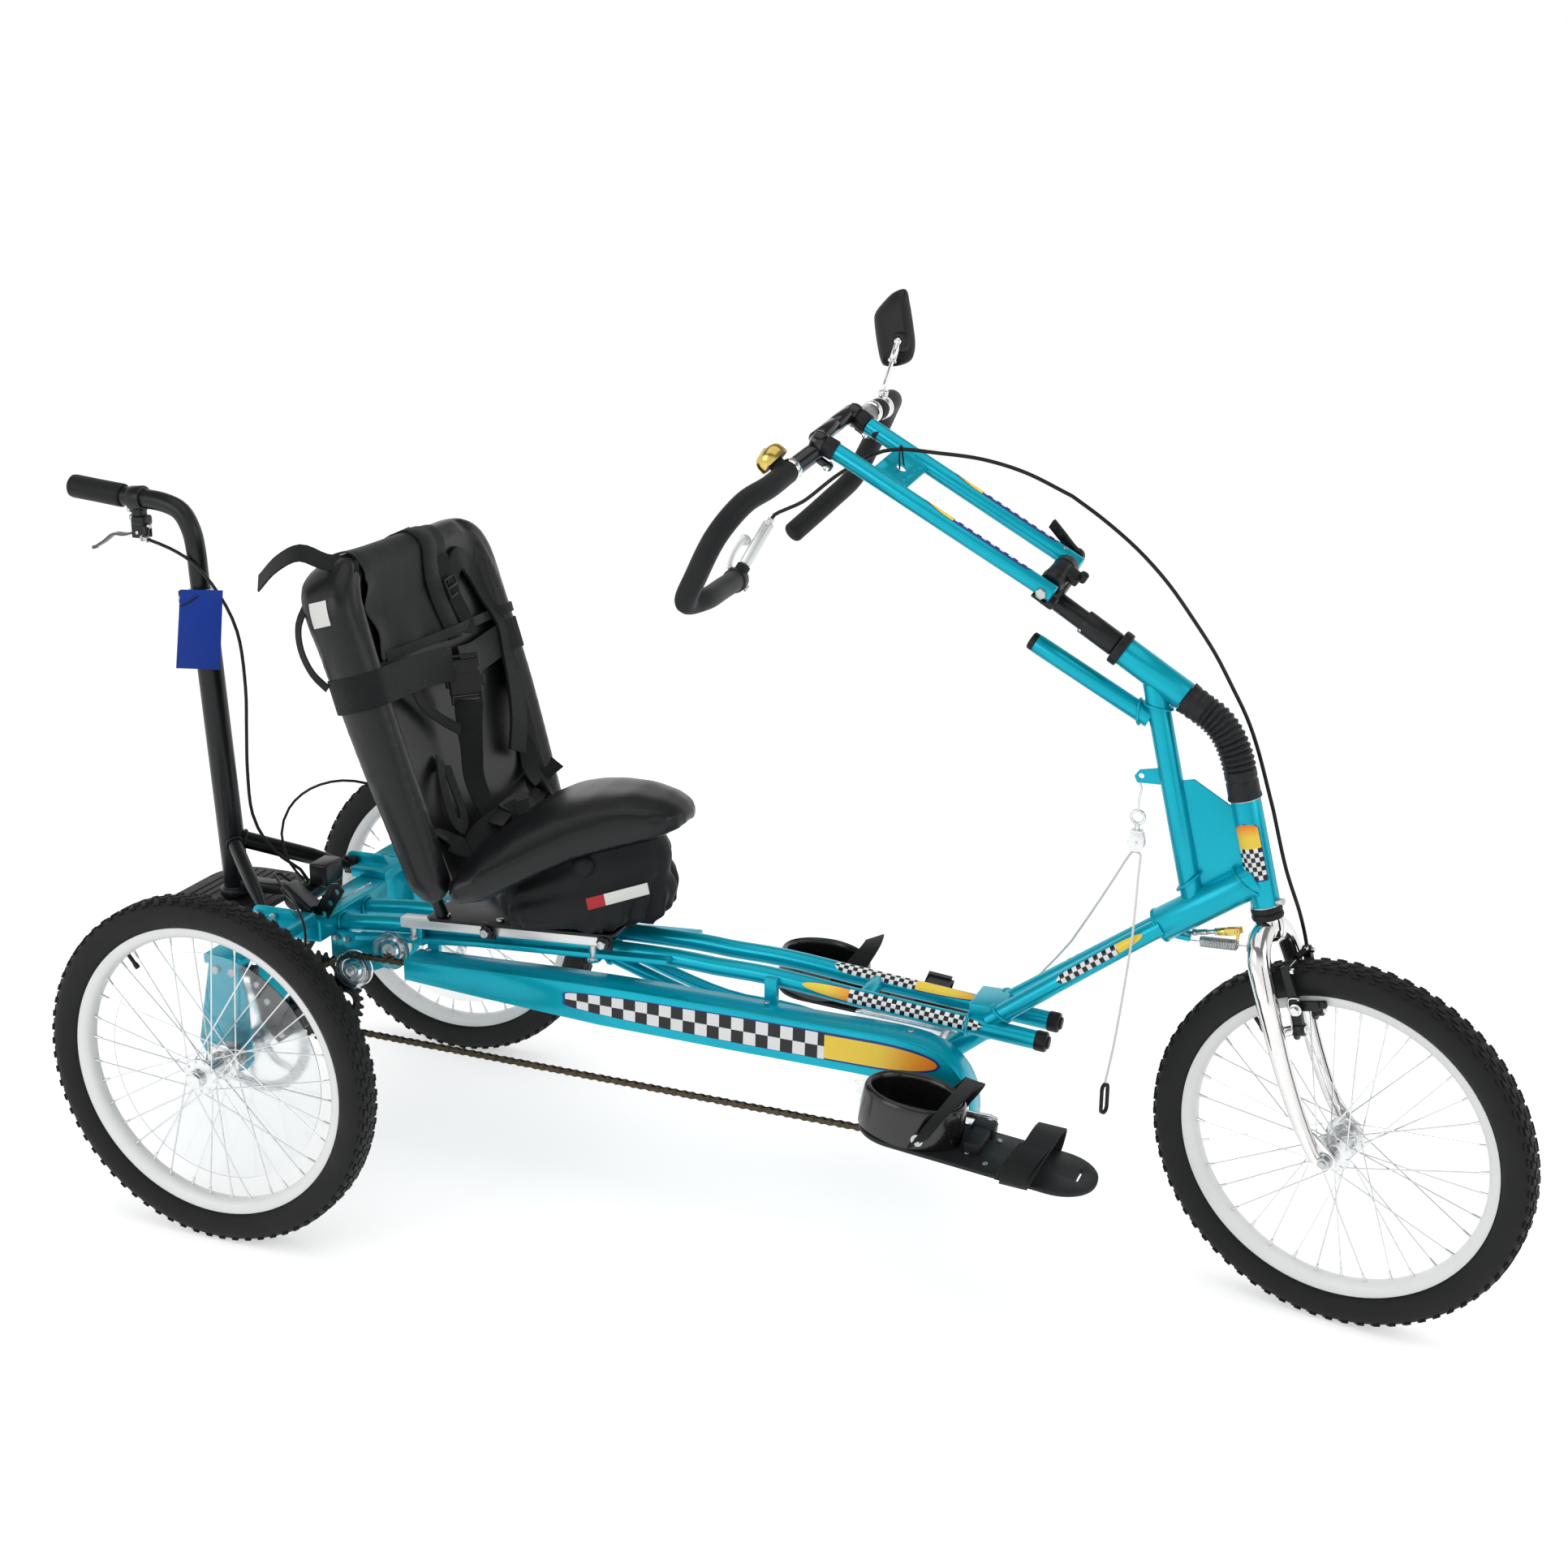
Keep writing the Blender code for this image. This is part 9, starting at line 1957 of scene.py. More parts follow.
post_foot, post_head = from_axle(-0.181, 0.0, 0.366), from_axle(-0.208, 0.0, 0.828)
post_up = (post_head - post_foot).normalized()
post = pin("post", post_foot, post_head, 0.019, 56, 0.0006)
take_away(post, pin("bore", post_head - post_up * 0.245, post_head + post_up * 0.02, 0.0152, 56, 0.0))
post_parts = [
    post,
    pin("foot ring", post_foot - post_up * 0.003, post_foot + post_up * 0.01, 0.0262, 48, 0.003),
    cross_pin("cross socket", -0.058, 0.382, -0.04, 0.04, 0.016, 40, 0.0015),
    block("forward arm", (0.124, 0.024, 0.016), from_axle(-0.1195, 0.0, 0.382), 0.0025),
    block("cable box", (0.03, 0.046, 0.034), from_axle(-0.037, 0.02, 0.411), 0.003),
    bead(post_foot + post_up * 0.0102, post_up, 0.02)]
brace_top = post_foot.lerp(post_head, 0.19)
for side, brace_radius in ((-1.0, 0.0105), (1.0, 0.0128)):
    brace_end = from_axle(-0.056, side * 0.1142, 0.386)
    brace = tube("brace", [brace_top.lerp(brace_end, step / 12.0) for step in range(13)], brace_radius, 28, [
        brace_radius * (1.0 if step < 9 else 1.0 - 0.1 * (step - 8)) for step in range(13)])
    post_parts.append(brace)
    post_parts.append(bead(brace_top + (brace_end - brace_top).normalized() * 0.019, brace_end - brace_top,
        brace_radius + 0.0008))
    post_parts.append(block("brace tab", (0.022, 0.0085, 0.028), from_axle(-0.056, side * 0.1198, 0.386), 0.002))
pad_turn = Matrix.Rotation(math.radians(38.0), 3, "Y") @ Matrix.Rotation(math.radians(-12.0), 3, "X")
post_parts.append(block("rest pad", (0.056, 0.046, 0.014), from_axle(-0.02, -0.074, 0.4045), 0.005, pad_turn, 4))
link_line = [from_axle(x, -0.072, z) for x, z in (
    (0.0515, 0.4218), (0.042, 0.433), (0.03, 0.431), (-0.0335, 0.334), (-0.035, 0.326), (-0.024, 0.318),
    (-0.013, 0.32))]
link_holes = [
    cross_pin("hole", 0.04 - step * 0.0118, 0.42 - step * 0.0185, -0.085, -0.06, 0.0042, 20, 0.0)
    for step in range(5)]
post_parts.append(cut_plate("perforated link", link_line, (0.0, 0.0035, 0.0), 0.0006, link_holes))
clamp_ring = pin("post clamp", post_head - post_up * 0.022, post_head - post_up * 0.001, 0.0222, 48, 0.0015)
take_away(clamp_ring, pin("bore", post_head - post_up * 0.05, post_head + post_up * 0.02, 0.0189, 48, 0.0))
clamp_ears = block("clamp ears", (0.02, 0.012, 0.019), post_head - post_up * 0.0115 + Vector((-0.027, 0.0, 0.0)),
    0.0015)
post_parts += [clamp_ring, clamp_ears]
fit(post_parts, "push_post_and_braces", "trike", "black_paint", black_enamel, "push_handle_post")
shim = pin("shim", post_head - post_up * 0.0005, post_head + post_up * 0.0035, 0.0186, 48, 0.0006)
take_away(shim, pin("bore", post_head - post_up * 0.02, post_head + post_up * 0.02, 0.0146, 48, 0.0))
fixings = [
    shim,
    pin("clamp bolt", post_head - post_up * 0.0115 + Vector((-0.03, -0.01, 0.0)),
        post_head - post_up * 0.0115 + Vector((-0.03, 0.01, 0.0)), 0.004, 6),
    cross_pin("link bolt", -0.0156, 0.3395, -0.0765, -0.066, 0.0078, 6),
    cross_pin("link bolt end", -0.0156, 0.3395, -0.08, -0.075, 0.0042, 20),
    block("release tongue", (0.052, 0.018, 0.0025), from_axle(0.063, -0.06, 0.4195), 0.001,
          Matrix.Rotation(math.radians(-32.0), 3, "Y"))]
for side in (-1.0, 1.0):
    fixings.append(cross_pin(
        "brace bolt", -0.056, 0.386, side * 0.1235, side * 0.1135, 0.0055, 6))
fit(fixings, "push_post_fixings", "trike", "steel", zinc_plated)

tube_knee = post_head + post_up * 0.03
bend_line = smooth_route([tube_knee, *[from_axle(x, 0.0, z) for x, z in (
    (-0.2112, 0.884), (-0.2165, 0.915), (-0.232, 0.942), (-0.26, 0.9535), (-0.324, 0.9585))]], 0.008)
push_end = from_axle(-0.414, 0.0, 0.9675)
push_tube = tube("push tube", [post_head - post_up * 0.2, *bend_line, push_end], 0.0142, 40)
clamp_at = from_axle(-0.3048, 0.0, 0.957)
lever_pivot = from_axle(-0.304, 0.0, 0.908)
mount_parts = [
    push_tube,
    pin("lever band", clamp_at - Vector((0.0115, 0.0, 0.001)), clamp_at + Vector((0.0115, 0.0, 0.001)), 0.0182, 48,
        0.0016),
    block("lever bracket", (0.017, 0.018, 0.034), from_axle(-0.305, 0.0, 0.934), 0.003),
    block("lever body", (0.023, 0.0235, 0.015), from_axle(-0.3015, -0.0005, 0.925), 0.004, None, 4)]
for side in (-1.0, 1.0):
    mount_parts.append(block(
        "cheek", (0.023, 0.0032, 0.027), lever_pivot + Vector((0.001, side * 0.0079, 0.005)), 0.0014))
cable_start = push_cable_path[0]
cable_run = (push_cable_path[1] - cable_start).normalized()
mount_parts.append(tube("cable arm", smooth_route([
    lever_pivot + Vector((0.005, -0.003, 0.015)), lever_pivot + Vector((0.013, -0.006, 0.004)),
    cable_start - cable_run * 0.009], 0.003), 0.0048, 16))
fit(mount_parts, "push_tube_and_mount", "push_handle", "black_paint", black_enamel, "push_handle_tube")
mount_fixings = [
    pin("band screw", from_axle(-0.3215, -0.0035, 0.9415), from_axle(-0.3155, -0.0035, 0.94), 0.0042, 20),
    pin("bracket screw", from_axle(-0.3195, -0.002, 0.929), from_axle(-0.313, -0.002, 0.9275), 0.0046, 20),
    pin("adjuster screw", from_axle(-0.2895, -0.004, 0.9185), from_axle(-0.284, -0.004, 0.9175), 0.0036, 20),
    pin("lever pin", lever_pivot - leftwards(0.0112), lever_pivot + leftwards(0.0112), 0.0028, 20),
    pin("cable barrel", cable_start - cable_run * 0.0095, cable_start - cable_run * 0.0003, 0.0052, 6, 0.0005),
    pin("barrel collar", cable_start - cable_run * 0.0125, cable_start - cable_run * 0.0092, 0.006, 24, 0.0006)]
fit(mount_fixings, "push_lever_fixings", "push_handle", "steel", zinc_plated)

# Foam rubber sleeve: dark, matt and softly pored, with a skin that picks up a pale film along its top
foam_rubber, tree, shader, place = finish("moulded_foam_rubber", Roughness=0.62, Specular_IOR_Level=0.25,
    Sheen_Weight=0.08, Sheen_Roughness=0.5)
cells = noise(tree, place, 900.0, 3.0)
handling = noise(tree, place, 26.0, 4.0)
tint(tree, shader, "#101213", "#1f2123", handling, cells, "#b4b4b6")
shine(tree, shader, 0.48, 0.68, handling)
relief = over(tree, 0.2, cells, handling)
emboss(tree, shader, 0.2, 0.0008, relief)

grip_from = from_axle(-0.3294, 0.0, 0.95904)
grip_to = push_end + (push_end - from_axle(-0.324, 0.0, 0.9585)).normalized() * 0.006
grip_run = (grip_to - grip_from).length
push_grip = turned("push grip", [
    (0.0144, 0.0), (0.0162, 0.0), (0.0172, 0.0015), (0.0173, 0.01), (0.0171, grip_run * 0.5),
    (0.0173, grip_run - 0.008), (0.0166, grip_run - 0.003), (0.014, grip_run - 0.0006), (0.006, grip_run)],
    grip_from, grip_to - grip_from, 56)
fit(push_grip, "push_grip_sleeve", "push_handle", "foam_grip", foam_rubber, "push_grip")

# Bronze anodised blade of the push handle's brake lever: satin, with faint rolling lines
bronze_alloy, tree, shader, place = finish("bronze_anodised_alloy", Metallic=0.85, Roughness=0.38)
lines = noise(tree, place, 240.0, 3.0)
tint(tree, shader, "#4d4a47", "#6e6a65", lines)
lever_line = smooth_route([lever_pivot + Vector(point) for point in (
    (0.002, 0.0, 0.002), (-0.012, 0.0, -0.002), (-0.028, 0.0, -0.006), (-0.046, 0.0, -0.006), (-0.05, 0.0, -0.0075),
    (-0.066, 0.0, -0.019), (-0.08, 0.0, -0.027), (-0.084, 0.0, -0.029))], 0.003)
lever_count = len(lever_line)
lever_blade = flat_strip("push brake blade", lever_line, [
    leftwards(0.0072 - 0.0016 * index / lever_count) for index in range(lever_count)], 0.0032)
lever_parts = [
    lever_blade,
    pin("lever hub", lever_pivot - leftwards(0.0058), lever_pivot + leftwards(0.0058), 0.006, 28),
    pin("rolled tip", lever_line[-1] - leftwards(0.0056), lever_line[-1] + leftwards(0.0056),
        0.0026, 20)]
fit(lever_parts, "push_brake_blade", "push_lever", "aluminium", bronze_alloy, "push_brake_lever")

# The card that hangs on the post: coated blue board, plain, on a black elastic loop
blue_board, tree, shader, place = finish("coated_blue_board", Roughness=0.4, Specular_IOR_Level=0.15,
    Coat_Weight=0.03, Coat_Roughness=0.2)
ink = noise(tree, place, 700.0)
drift = noise(tree, place, 18.0)
tint(tree, shader, "#05389a", "#1341a4", drift, ink, "#c8cce0")
tag_line = [from_axle(x, -0.0235, z) for x, z in (
    (-0.2268, 0.8329), (-0.1536, 0.8378), (-0.1683, 0.7185), (-0.2446, 0.7135))]
post_tag = cut_plate("post tag", tag_line, (0.0, 0.0008, 0.0), 0.0002)
fit(post_tag, "post_tag", "trike", None, blue_board)
loop_line = smooth_route((
    from_axle(-0.179, 0.011, 0.8255), from_axle(-0.184, -0.015, 0.829), from_axle(-0.2, -0.0252, 0.824),
    from_axle(-0.215, -0.0252, 0.815), from_axle(-0.229, -0.0252, 0.809), from_axle(-0.231, -0.0225, 0.8085),
    from_axle(-0.229, -0.016, 0.811), from_axle(-0.224, -0.003, 0.818), from_axle(-0.216, 0.016, 0.822),
    from_axle(-0.2, 0.0215, 0.824), from_axle(-0.186, 0.016, 0.825)), 0.004)
tag_loop = tube("tag loop", loop_line, 0.001, 10)
fit(tag_loop, "tag_loop", "trike", None, cable_sleeve)


# The fork: a bent and swaged pair of chromed steel legs on a steerer that turns in the head tube. The
# wheel's axle is held by a hex nut in each dropout, and two long black brake arms hang on bosses.
fork_turn = Matrix((head_forward, leftwards(1.0), head_up)).transposed() @ Matrix.Rotation(
    math.radians(-12.5), 3, "Z")


def on_fork(x, y, z):
    """A point in the turned fork's own axes: forward, left and up from the head tube's foot."""
    return head_foot + fork_turn @ Vector((x, y, z))


# Chrome plate over polished steel: a mirror with very faint polishing lines
chrome_plate, tree, shader, place = finish("bright_chrome_plate", Metallic=1.0, Roughness=0.07)
polish = noise(tree, place, 160.0, 5.0)
tint(tree, shader, "#dddcdb", "#f4f2f1", polish)
shine(tree, shader, 0.04, 0.11, polish)

leg_sizes = [(-0.026, 0.015), (-0.033, 0.0152), (-0.05, 0.015), (-0.091, 0.0146), (-0.15, 0.0132), (-0.214, 0.0118),
             (-0.275, 0.0104), (-0.318, 0.0086)]


def leg_radius(height):
    """The radius of a fork leg at a height below the head tube's foot."""
    for (top, wide), (low, slim) in zip(leg_sizes, leg_sizes[1:]):
        if height >= low:
            return wide + (slim - wide) * min(1.0, (top - height) / (top - low))
    return leg_sizes[-1][1]


fork_parts = [
    pin("steerer", on_fork(0.0, 0.0, -0.03), on_fork(0.0, 0.0, 0.1474), 0.0143, 40, 0.001),
    pin("joint neck", on_fork(0.0, 0.0, 0.1414), on_fork(0.0, 0.0, 0.22), 0.005, 24, 0.0),
    turned("crown", [
        (0.0, -0.048), (0.0105, -0.046), (0.0165, -0.039), (0.0178, -0.03), (0.0176, -0.02), (0.0165, -0.0165),
        (0.0, -0.0165)], on_fork(0.0, 0.0, 0.0), head_up, 48)]
for side in (-1.0, 1.0):
    leg = smooth_route([Vector((x, side * y, z)) for x, y, z in (
        (-0.003, 0.004, -0.028), (-0.004, 0.024, -0.0345), (-0.003, 0.0425, -0.052), (0.0, 0.0515, -0.091),
        (0.002, 0.052, -0.15), (0.006, 0.052, -0.214), (0.014, 0.052, -0.275), (0.024, 0.052, -0.318),
        (0.0265, 0.0515, -0.3235))], 0.007)
    fork_parts.append(tube(
        "fork leg", [on_fork(*point) for point in leg], 0.0145, 40, [leg_radius(point.z) for point in leg]))
    drop_line = [on_fork(x, side * 0.0472, z) for x, z in (
        (0.013, -0.29), (0.02, -0.2865), (0.027, -0.289), (0.04, -0.308), (0.047, -0.32), (0.049, -0.327),
        (0.0465, -0.3345), (0.04, -0.3385), (0.032, -0.337), (0.026, -0.331), (0.016, -0.318))]
    fork_parts.append(cut_plate("dropout", drop_line, fork_turn @ leftwards(0.005), 0.0008, [pin(
        "axle slot", on_fork(0.036, side * 0.04, -0.3256), on_fork(0.036, side * 0.054, -0.3256), 0.0048, 24, 0.0)]))
    fork_parts.append(pin(
        "brake boss", on_fork(0.002, side * 0.049, -0.154), on_fork(0.019, side * 0.037, -0.154), 0.0068, 28))
fit(fork_parts, "chromed_fork", "steered_fork", "chrome", chrome_plate, "fork")
crown_race = [
    turned("crown race", [
        (0.015, -0.0165), (0.0196, -0.0165), (0.0206, -0.0135), (0.02, -0.01), (0.0186, -0.0085), (0.02, -0.007),
        (0.0202, -0.003), (0.019, -0.0004), (0.015, -0.0004)], on_fork(0.0, 0.0, 0.0), head_up, 56)]
fit(crown_race, "crown_race", "steered_fork", "black_plastic", moulded_black)
axle_parts = [pin("front axle", on_fork(0.036, -0.0632, -0.3256), on_fork(0.036, 0.0632, -0.3256), 0.0045, 28)]
for side in (-1.0, 1.0):
    axle_parts += [
        pin("axle washer", on_fork(0.036, side * 0.0499, -0.3256), on_fork(0.036, side * 0.0518, -0.3256), 0.0105, 32,
            0.0004),
        pin("axle nut", on_fork(0.036, side * 0.0518, -0.3256), on_fork(0.036, side * 0.0592, -0.3256), 0.0088, 6,
            0.001)]
axle_parts.append(pin("cable stop bolt", on_fork(0.027, -0.004, 0.005), on_fork(0.015, -0.004, 0.005), 0.005, 6))
fit(axle_parts, "front_axle_and_nuts", "steered_fork", "steel", zinc_plated, "front_axle")

for label, side, node in (("right", -1.0, "brake_arm_right"), ("left", 1.0, "brake_arm_left")):
    def on_brake(x, y, z):
        """A point in a brake arm's own axes, from its boss."""
        return on_fork(0.027 + x, side * (0.033 + y), -0.154 + z)
    brake_body = label + "_brake_arm"
    arm_line = route_on(on_brake, (
        (0.001, 0.0, -0.006), (0.0015, 0.0, 0.01), (0.0015, -0.001, 0.03), (0.001, 0.0, 0.052),
        (0.0005, 0.003, 0.07), (0.0, 0.004, 0.084)), 0.004)
    arm_count = len(arm_line) - 1
    arm_blade = flat_strip("brake arm", arm_line, [
        fork_turn @ Vector((0.0072 - 0.0022 * index / arm_count, 0.0, 0.0)) for index in range(arm_count + 1)],
        0.0085)
    brake_parts = [
        arm_blade,
        pin("arm boss", on_brake(-0.005, 0.0, 0.0), on_brake(0.0085, 0.0, 0.0), 0.0088, 32, 0.0012),
        pin("spring cover", on_brake(-0.005, 0.0, -0.004), on_brake(-0.001, 0.0, -0.004), 0.0098, 32, 0.001),
        pin("pad rod", on_brake(0.003, -0.008, 0.0278), on_brake(0.003, 0.009, 0.0278), 0.0036, 20),
        block("pad", (0.052, 0.0085, 0.01), on_brake(0.012, -0.012, 0.0278), 0.003, fork_turn),
        block("pad holder", (0.036, 0.004, 0.0125), on_brake(0.012, -0.0065, 0.0278), 0.0014, fork_turn),
        block("cable head", (0.012, 0.0075, 0.011), on_brake(0.0, 0.004, 0.08), 0.002, fork_turn)]
    fit(brake_parts, label + "_brake_lever_arm", brake_body, "black_paint", black_enamel, node)
    bright = [
        pin("pivot bolt", on_brake(0.0085, 0.0, 0.0), on_brake(0.0125, 0.0, 0.0), 0.0062, 28, 0.0012),
        pin("pivot socket", on_brake(0.0125, 0.0, 0.0), on_brake(0.0133, 0.0, 0.0), 0.0034, 6, 0.0),
        pin("pad nut", on_brake(0.003, 0.0065, 0.0278), on_brake(0.003, 0.0125, 0.0278), 0.0062, 6),
        pin("pad washer", on_brake(0.003, 0.005, 0.0278), on_brake(0.003, 0.0066, 0.0278), 0.008, 28, 0.0004),
        pin("anchor bolt", on_brake(0.0055, 0.004, 0.079), on_brake(0.0105, 0.004, 0.079), 0.0042, 6),
        pin("spring pin", on_brake(0.006, 0.001, 0.04), on_brake(0.009, 0.001, 0.04), 0.0026, 16),
        tube("return spring", route_on(on_brake, (
            (-0.0035, 0.005, -0.01), (-0.005, 0.008, 0.0), (-0.0048, 0.006, 0.02), (-0.003, 0.0055, 0.042),
            (0.008, 0.0045, 0.0425)), 0.004), 0.001, 10)]
    fit(bright, label + "_brake_fixings", brake_body, "steel", polished_steel)

across_from, across_to = on_fork(0.0285, 0.033, -0.0745), on_fork(0.0265, -0.033, -0.0745)
noodle_line = route_on(on_fork, (
    (0.0275, 0.0395, -0.068), (0.028, 0.0385, -0.07), (0.0283, 0.035, -0.0712), (0.0283, 0.022, -0.0712)), 0.002)
fit(tube("noodle", noodle_line, 0.003, 20), "cable_noodle", "left_brake_arm", "steel", polished_steel)
bellows = turned("bellows", [
    (0.0026 if place_on % 2 else 0.0044, 0.0016 * place_on) for place_on in range(17)],
    on_fork(0.0283, 0.023, -0.0712), across_to - across_from, 24)
fit(bellows, "noodle_bellows", "left_brake_arm", "black_rubber", moulded_black)
inner_wire = pin("inner wire", on_fork(0.0283, 0.001, -0.0714), across_to, 0.0009, 10, 0.0)
fit(inner_wire, "brake_inner_wire", "right_brake_arm", "steel", polished_steel)


# The steering joint's boot: a black rubber bellows over the universal joint, with a smooth cuff pushed
# over the column tube's end and another over the head tube's top.
boot_start = from_axle(1.232, 0.0, 0.816) - column_back * 0.0003
boot_end = head_foot + head_up * 0.1417
bend_from, bend_to = boot_start - column_back * 0.036, boot_end + head_up * 0.036
corner = from_axle(1.2924, 0.0, 0.7777)
boot_line = [boot_start.lerp(bend_from, step / 12.0) for step in range(12)]
boot_line += [bend_from.lerp(corner, step / 96.0).lerp(corner.lerp(bend_to, step / 96.0), step / 96.0)
    for step in range(96)]
boot_line += [bend_to.lerp(boot_end, step / 12.0) for step in range(13)]
boot_run = [0.0]
for first, second in zip(boot_line, boot_line[1:]):
    boot_run.append(boot_run[-1] + (second - first).length)
boot_rings = []
for index, centre in enumerate(boot_line):
    before, after = boot_line[max(0, index - 1)], boot_line[min(len(boot_line) - 1, index + 1)]
    along = (after - before).normalized()
    level = leftwards(1.0)
    rise = level.cross(along).normalized()
    at, left = boot_run[index], boot_run[-1] - boot_run[index]
    if at < 0.0225:
        radius = 0.0206 if at > 0.004 else 0.0213
        if 0.011 < at < 0.014 or at > 0.02:
            radius = 0.0192
    elif left < 0.031:
        radius = 0.0204 if left > 0.005 else 0.0214
        if 0.0225 < left < 0.0265:
            radius = 0.019
    else:
        ribs = (at - 0.0225) / (boot_run[-1] - 0.0535) * 14.0
        radius = 0.018 + 0.0034 * (1.0 - abs(2.0 * (ribs % 1.0) - 1.0)) ** 0.7
    boot_rings.append([
        centre + (level * math.cos(turn) + rise * math.sin(turn)) * radius
        for turn in [math.tau * step / 56 for step in range(56)]])
boot_inner = []
for index in range(len(boot_line) - 1, -1, -4):
    before, after = boot_line[max(0, index - 1)], boot_line[min(len(boot_line) - 1, index + 1)]
    level = leftwards(1.0)
    rise = level.cross((after - before).normalized()).normalized()
    boot_inner.append([
        boot_line[index] + (level * math.cos(turn) + rise * math.sin(turn)) * 0.0155
        for turn in [math.tau * step / 56 for step in range(56)]])
boot = ring_mesh("steering boot", boot_rings + boot_inner + [boot_rings[0]], False)
bpy.ops.object.shade_smooth_by_angle(angle=math.radians(32.0))

# Moulded boot rubber: charcoal black and softly shiny, with pale dust caught between the ribs
boot_rubber, tree, shader, place = finish("moulded_boot_rubber", Roughness=0.5, Specular_IOR_Level=0.3,
    Sheen_Weight=0.05)
dusting = noise(tree, place, 60.0, 5.0)
tint(tree, shader, "#0e1012", "#1d2023", dusting)
shine(tree, shader, 0.36, 0.58, dusting)
emboss(tree, shader, 0.12, 0.0006, dusting)
fit(boot, "ribbed_steering_boot", "trike", "black_rubber", boot_rubber, "steering_boot")


# Under the boom: a close-wound centring spring that pulls the fork straight, and the limit rod above it
# with a steel turnbuckle and a brass clevis. Both hook on a teal lug and on the fork's crown.
spring_from, spring_to = from_axle(1.27, 0.01, 0.493), from_axle(1.3165, 0.002, 0.4975)
spring_axis = (spring_to - spring_from).normalized()
spring_turn = axis_turn(spring_axis, (0.0, 0.0, 1.0))
coils, coil_steps = 21, 20
spring_line = [spring_from - spring_axis * 0.016, spring_from - spring_axis * 0.002]
spring_line += [
    spring_from + spring_turn @ Vector((
        0.0064 * math.cos(math.tau * step / coil_steps), 0.0064 * math.sin(math.tau * step / coil_steps),
        (spring_to - spring_from).length * step / (coils * coil_steps))) for step in range(coils * coil_steps + 1)]
spring_line += [spring_to + spring_axis * 0.002, spring_to + spring_axis * 0.015]
fit(tube("centring spring", spring_line, 0.001, 10), "wound_centring_spring", "trike", "steel", zinc_plated,
    "centering_spring")
spring_lug = block("spring lug", (0.034, 0.013, 0.007), from_axle(1.24, 0.006, 0.499), 0.0015,
                   Matrix.Rotation(math.radians(6.0), 3, "Y"))
fit(spring_lug, "spring_lug", "trike", "teal_paint", teal_enamel)
limit_from, limit_to = from_axle(1.196, 0.0312, 0.485), from_axle(1.323, -0.004, 0.52)
limit_axis = (limit_to - limit_from).normalized()
limit_parts = [
    pin("limit rod", limit_from, limit_from.lerp(limit_to, 0.62), 0.0021, 20),
    pin("rod eye", limit_from - Vector((0.0, 0.0, 0.004)), limit_from + Vector((0.0, 0.0, 0.004)), 0.005, 28),
    pin("lock nut", limit_from.lerp(limit_to, 0.49), limit_from.lerp(limit_to, 0.53), 0.0052, 6),
    pin("turnbuckle", limit_from.lerp(limit_to, 0.53), limit_from.lerp(limit_to, 0.64), 0.0044, 6),
    pin("turnbuckle neck", limit_from.lerp(limit_to, 0.64), limit_from.lerp(limit_to, 0.72), 0.0031, 20),
    pin("lock nut", limit_from.lerp(limit_to, 0.72), limit_from.lerp(limit_to, 0.75), 0.0054, 6)]
fit(limit_parts, "limit_rod_and_turnbuckle", "trike", "steel", zinc_plated, "steering_limit_rod")
clevis_side = limit_axis.cross(Vector((0.0, 0.0, 1.0))).normalized()
clevis_parts = [pin("clevis shank", limit_from.lerp(limit_to, 0.75), limit_from.lerp(limit_to, 0.84), 0.0052, 24)]
clevis_turn = Matrix((limit_axis, clevis_side, clevis_side.cross(limit_axis) * -1.0)).transposed()
for side in (-1.0, 1.0):
    clevis_parts.append(block(
        "clevis cheek", (0.021, 0.0022, 0.009), limit_from.lerp(limit_to, 0.91) + clevis_side * side * 0.0046, 0.0008,
        clevis_turn))
clevis_parts.append(pin(
    "clevis pin", limit_from.lerp(limit_to, 0.955) - clevis_side * 0.007,
    limit_from.lerp(limit_to, 0.955) + clevis_side * 0.007, 0.0026, 20))
clevis_parts.append(block("clevis tail", (0.004, 0.005, 0.012),
    limit_from.lerp(limit_to, 0.955) - Vector((0.0, 0.0, 0.007)), 0.001))

# Turned brass: warm yellow, polished under a clear lacquer, with faint lathe lines
turned_brass, tree, shader, place = finish("lacquered_turned_brass", Metallic=1.0, Roughness=0.16, Coat_Weight=0.3,
    Coat_Roughness=0.05)
lathe = noise(tree, place, 220.0, 4.0)
tint(tree, shader, "#c4a645", "#e8d07a", lathe)
shine(tree, shader, 0.12, 0.24, lathe)
fit(clevis_parts, "brass_clevis", "trike", "brass", turned_brass)


# The cord's pulley hangs by an eye from the mast's tab: two pressed steel cheeks on a nylon sheave.
eye_line = [
    from_axle(1.1815, 0.0, 0.6525) + Vector((0.0085 * math.sin(turn), 0.0, 0.0085 * math.cos(turn)))
    for turn in [math.tau * step / 40 for step in range(41)]]
pulley_parts = [
    tube("hook wire", route_on(from_axle, (
        (1.1815, 0.0, 0.699), (1.1838, 0.0, 0.69), (1.182, 0.0, 0.678), (1.1815, 0.0, 0.661)), 0.003), 0.0016, 16),
    tube("eye", eye_line, 0.0021, 16),
    pin("shank", from_axle(1.1815, 0.0, 0.6445), from_axle(1.1815, 0.0, 0.635), 0.0034, 20),
    cross_pin("sheave axle", 1.1815, 0.619, -0.0082, 0.0082, 0.0026, 20),
    block("yoke", (0.015, 0.0125, 0.0035), from_axle(1.1815, 0.0, 0.6345), 0.001)]
for side in (-1.0, 1.0):
    cheek_line = [from_axle(1.1815 + x, side * 0.0056, 0.6215 + z) for x, z in rounded_outline(0.01, 0.014, 0.009, 8)]
    pulley_parts.append(cut_plate("cheek", cheek_line, (0.0, 0.0012, 0.0), 0.0003))
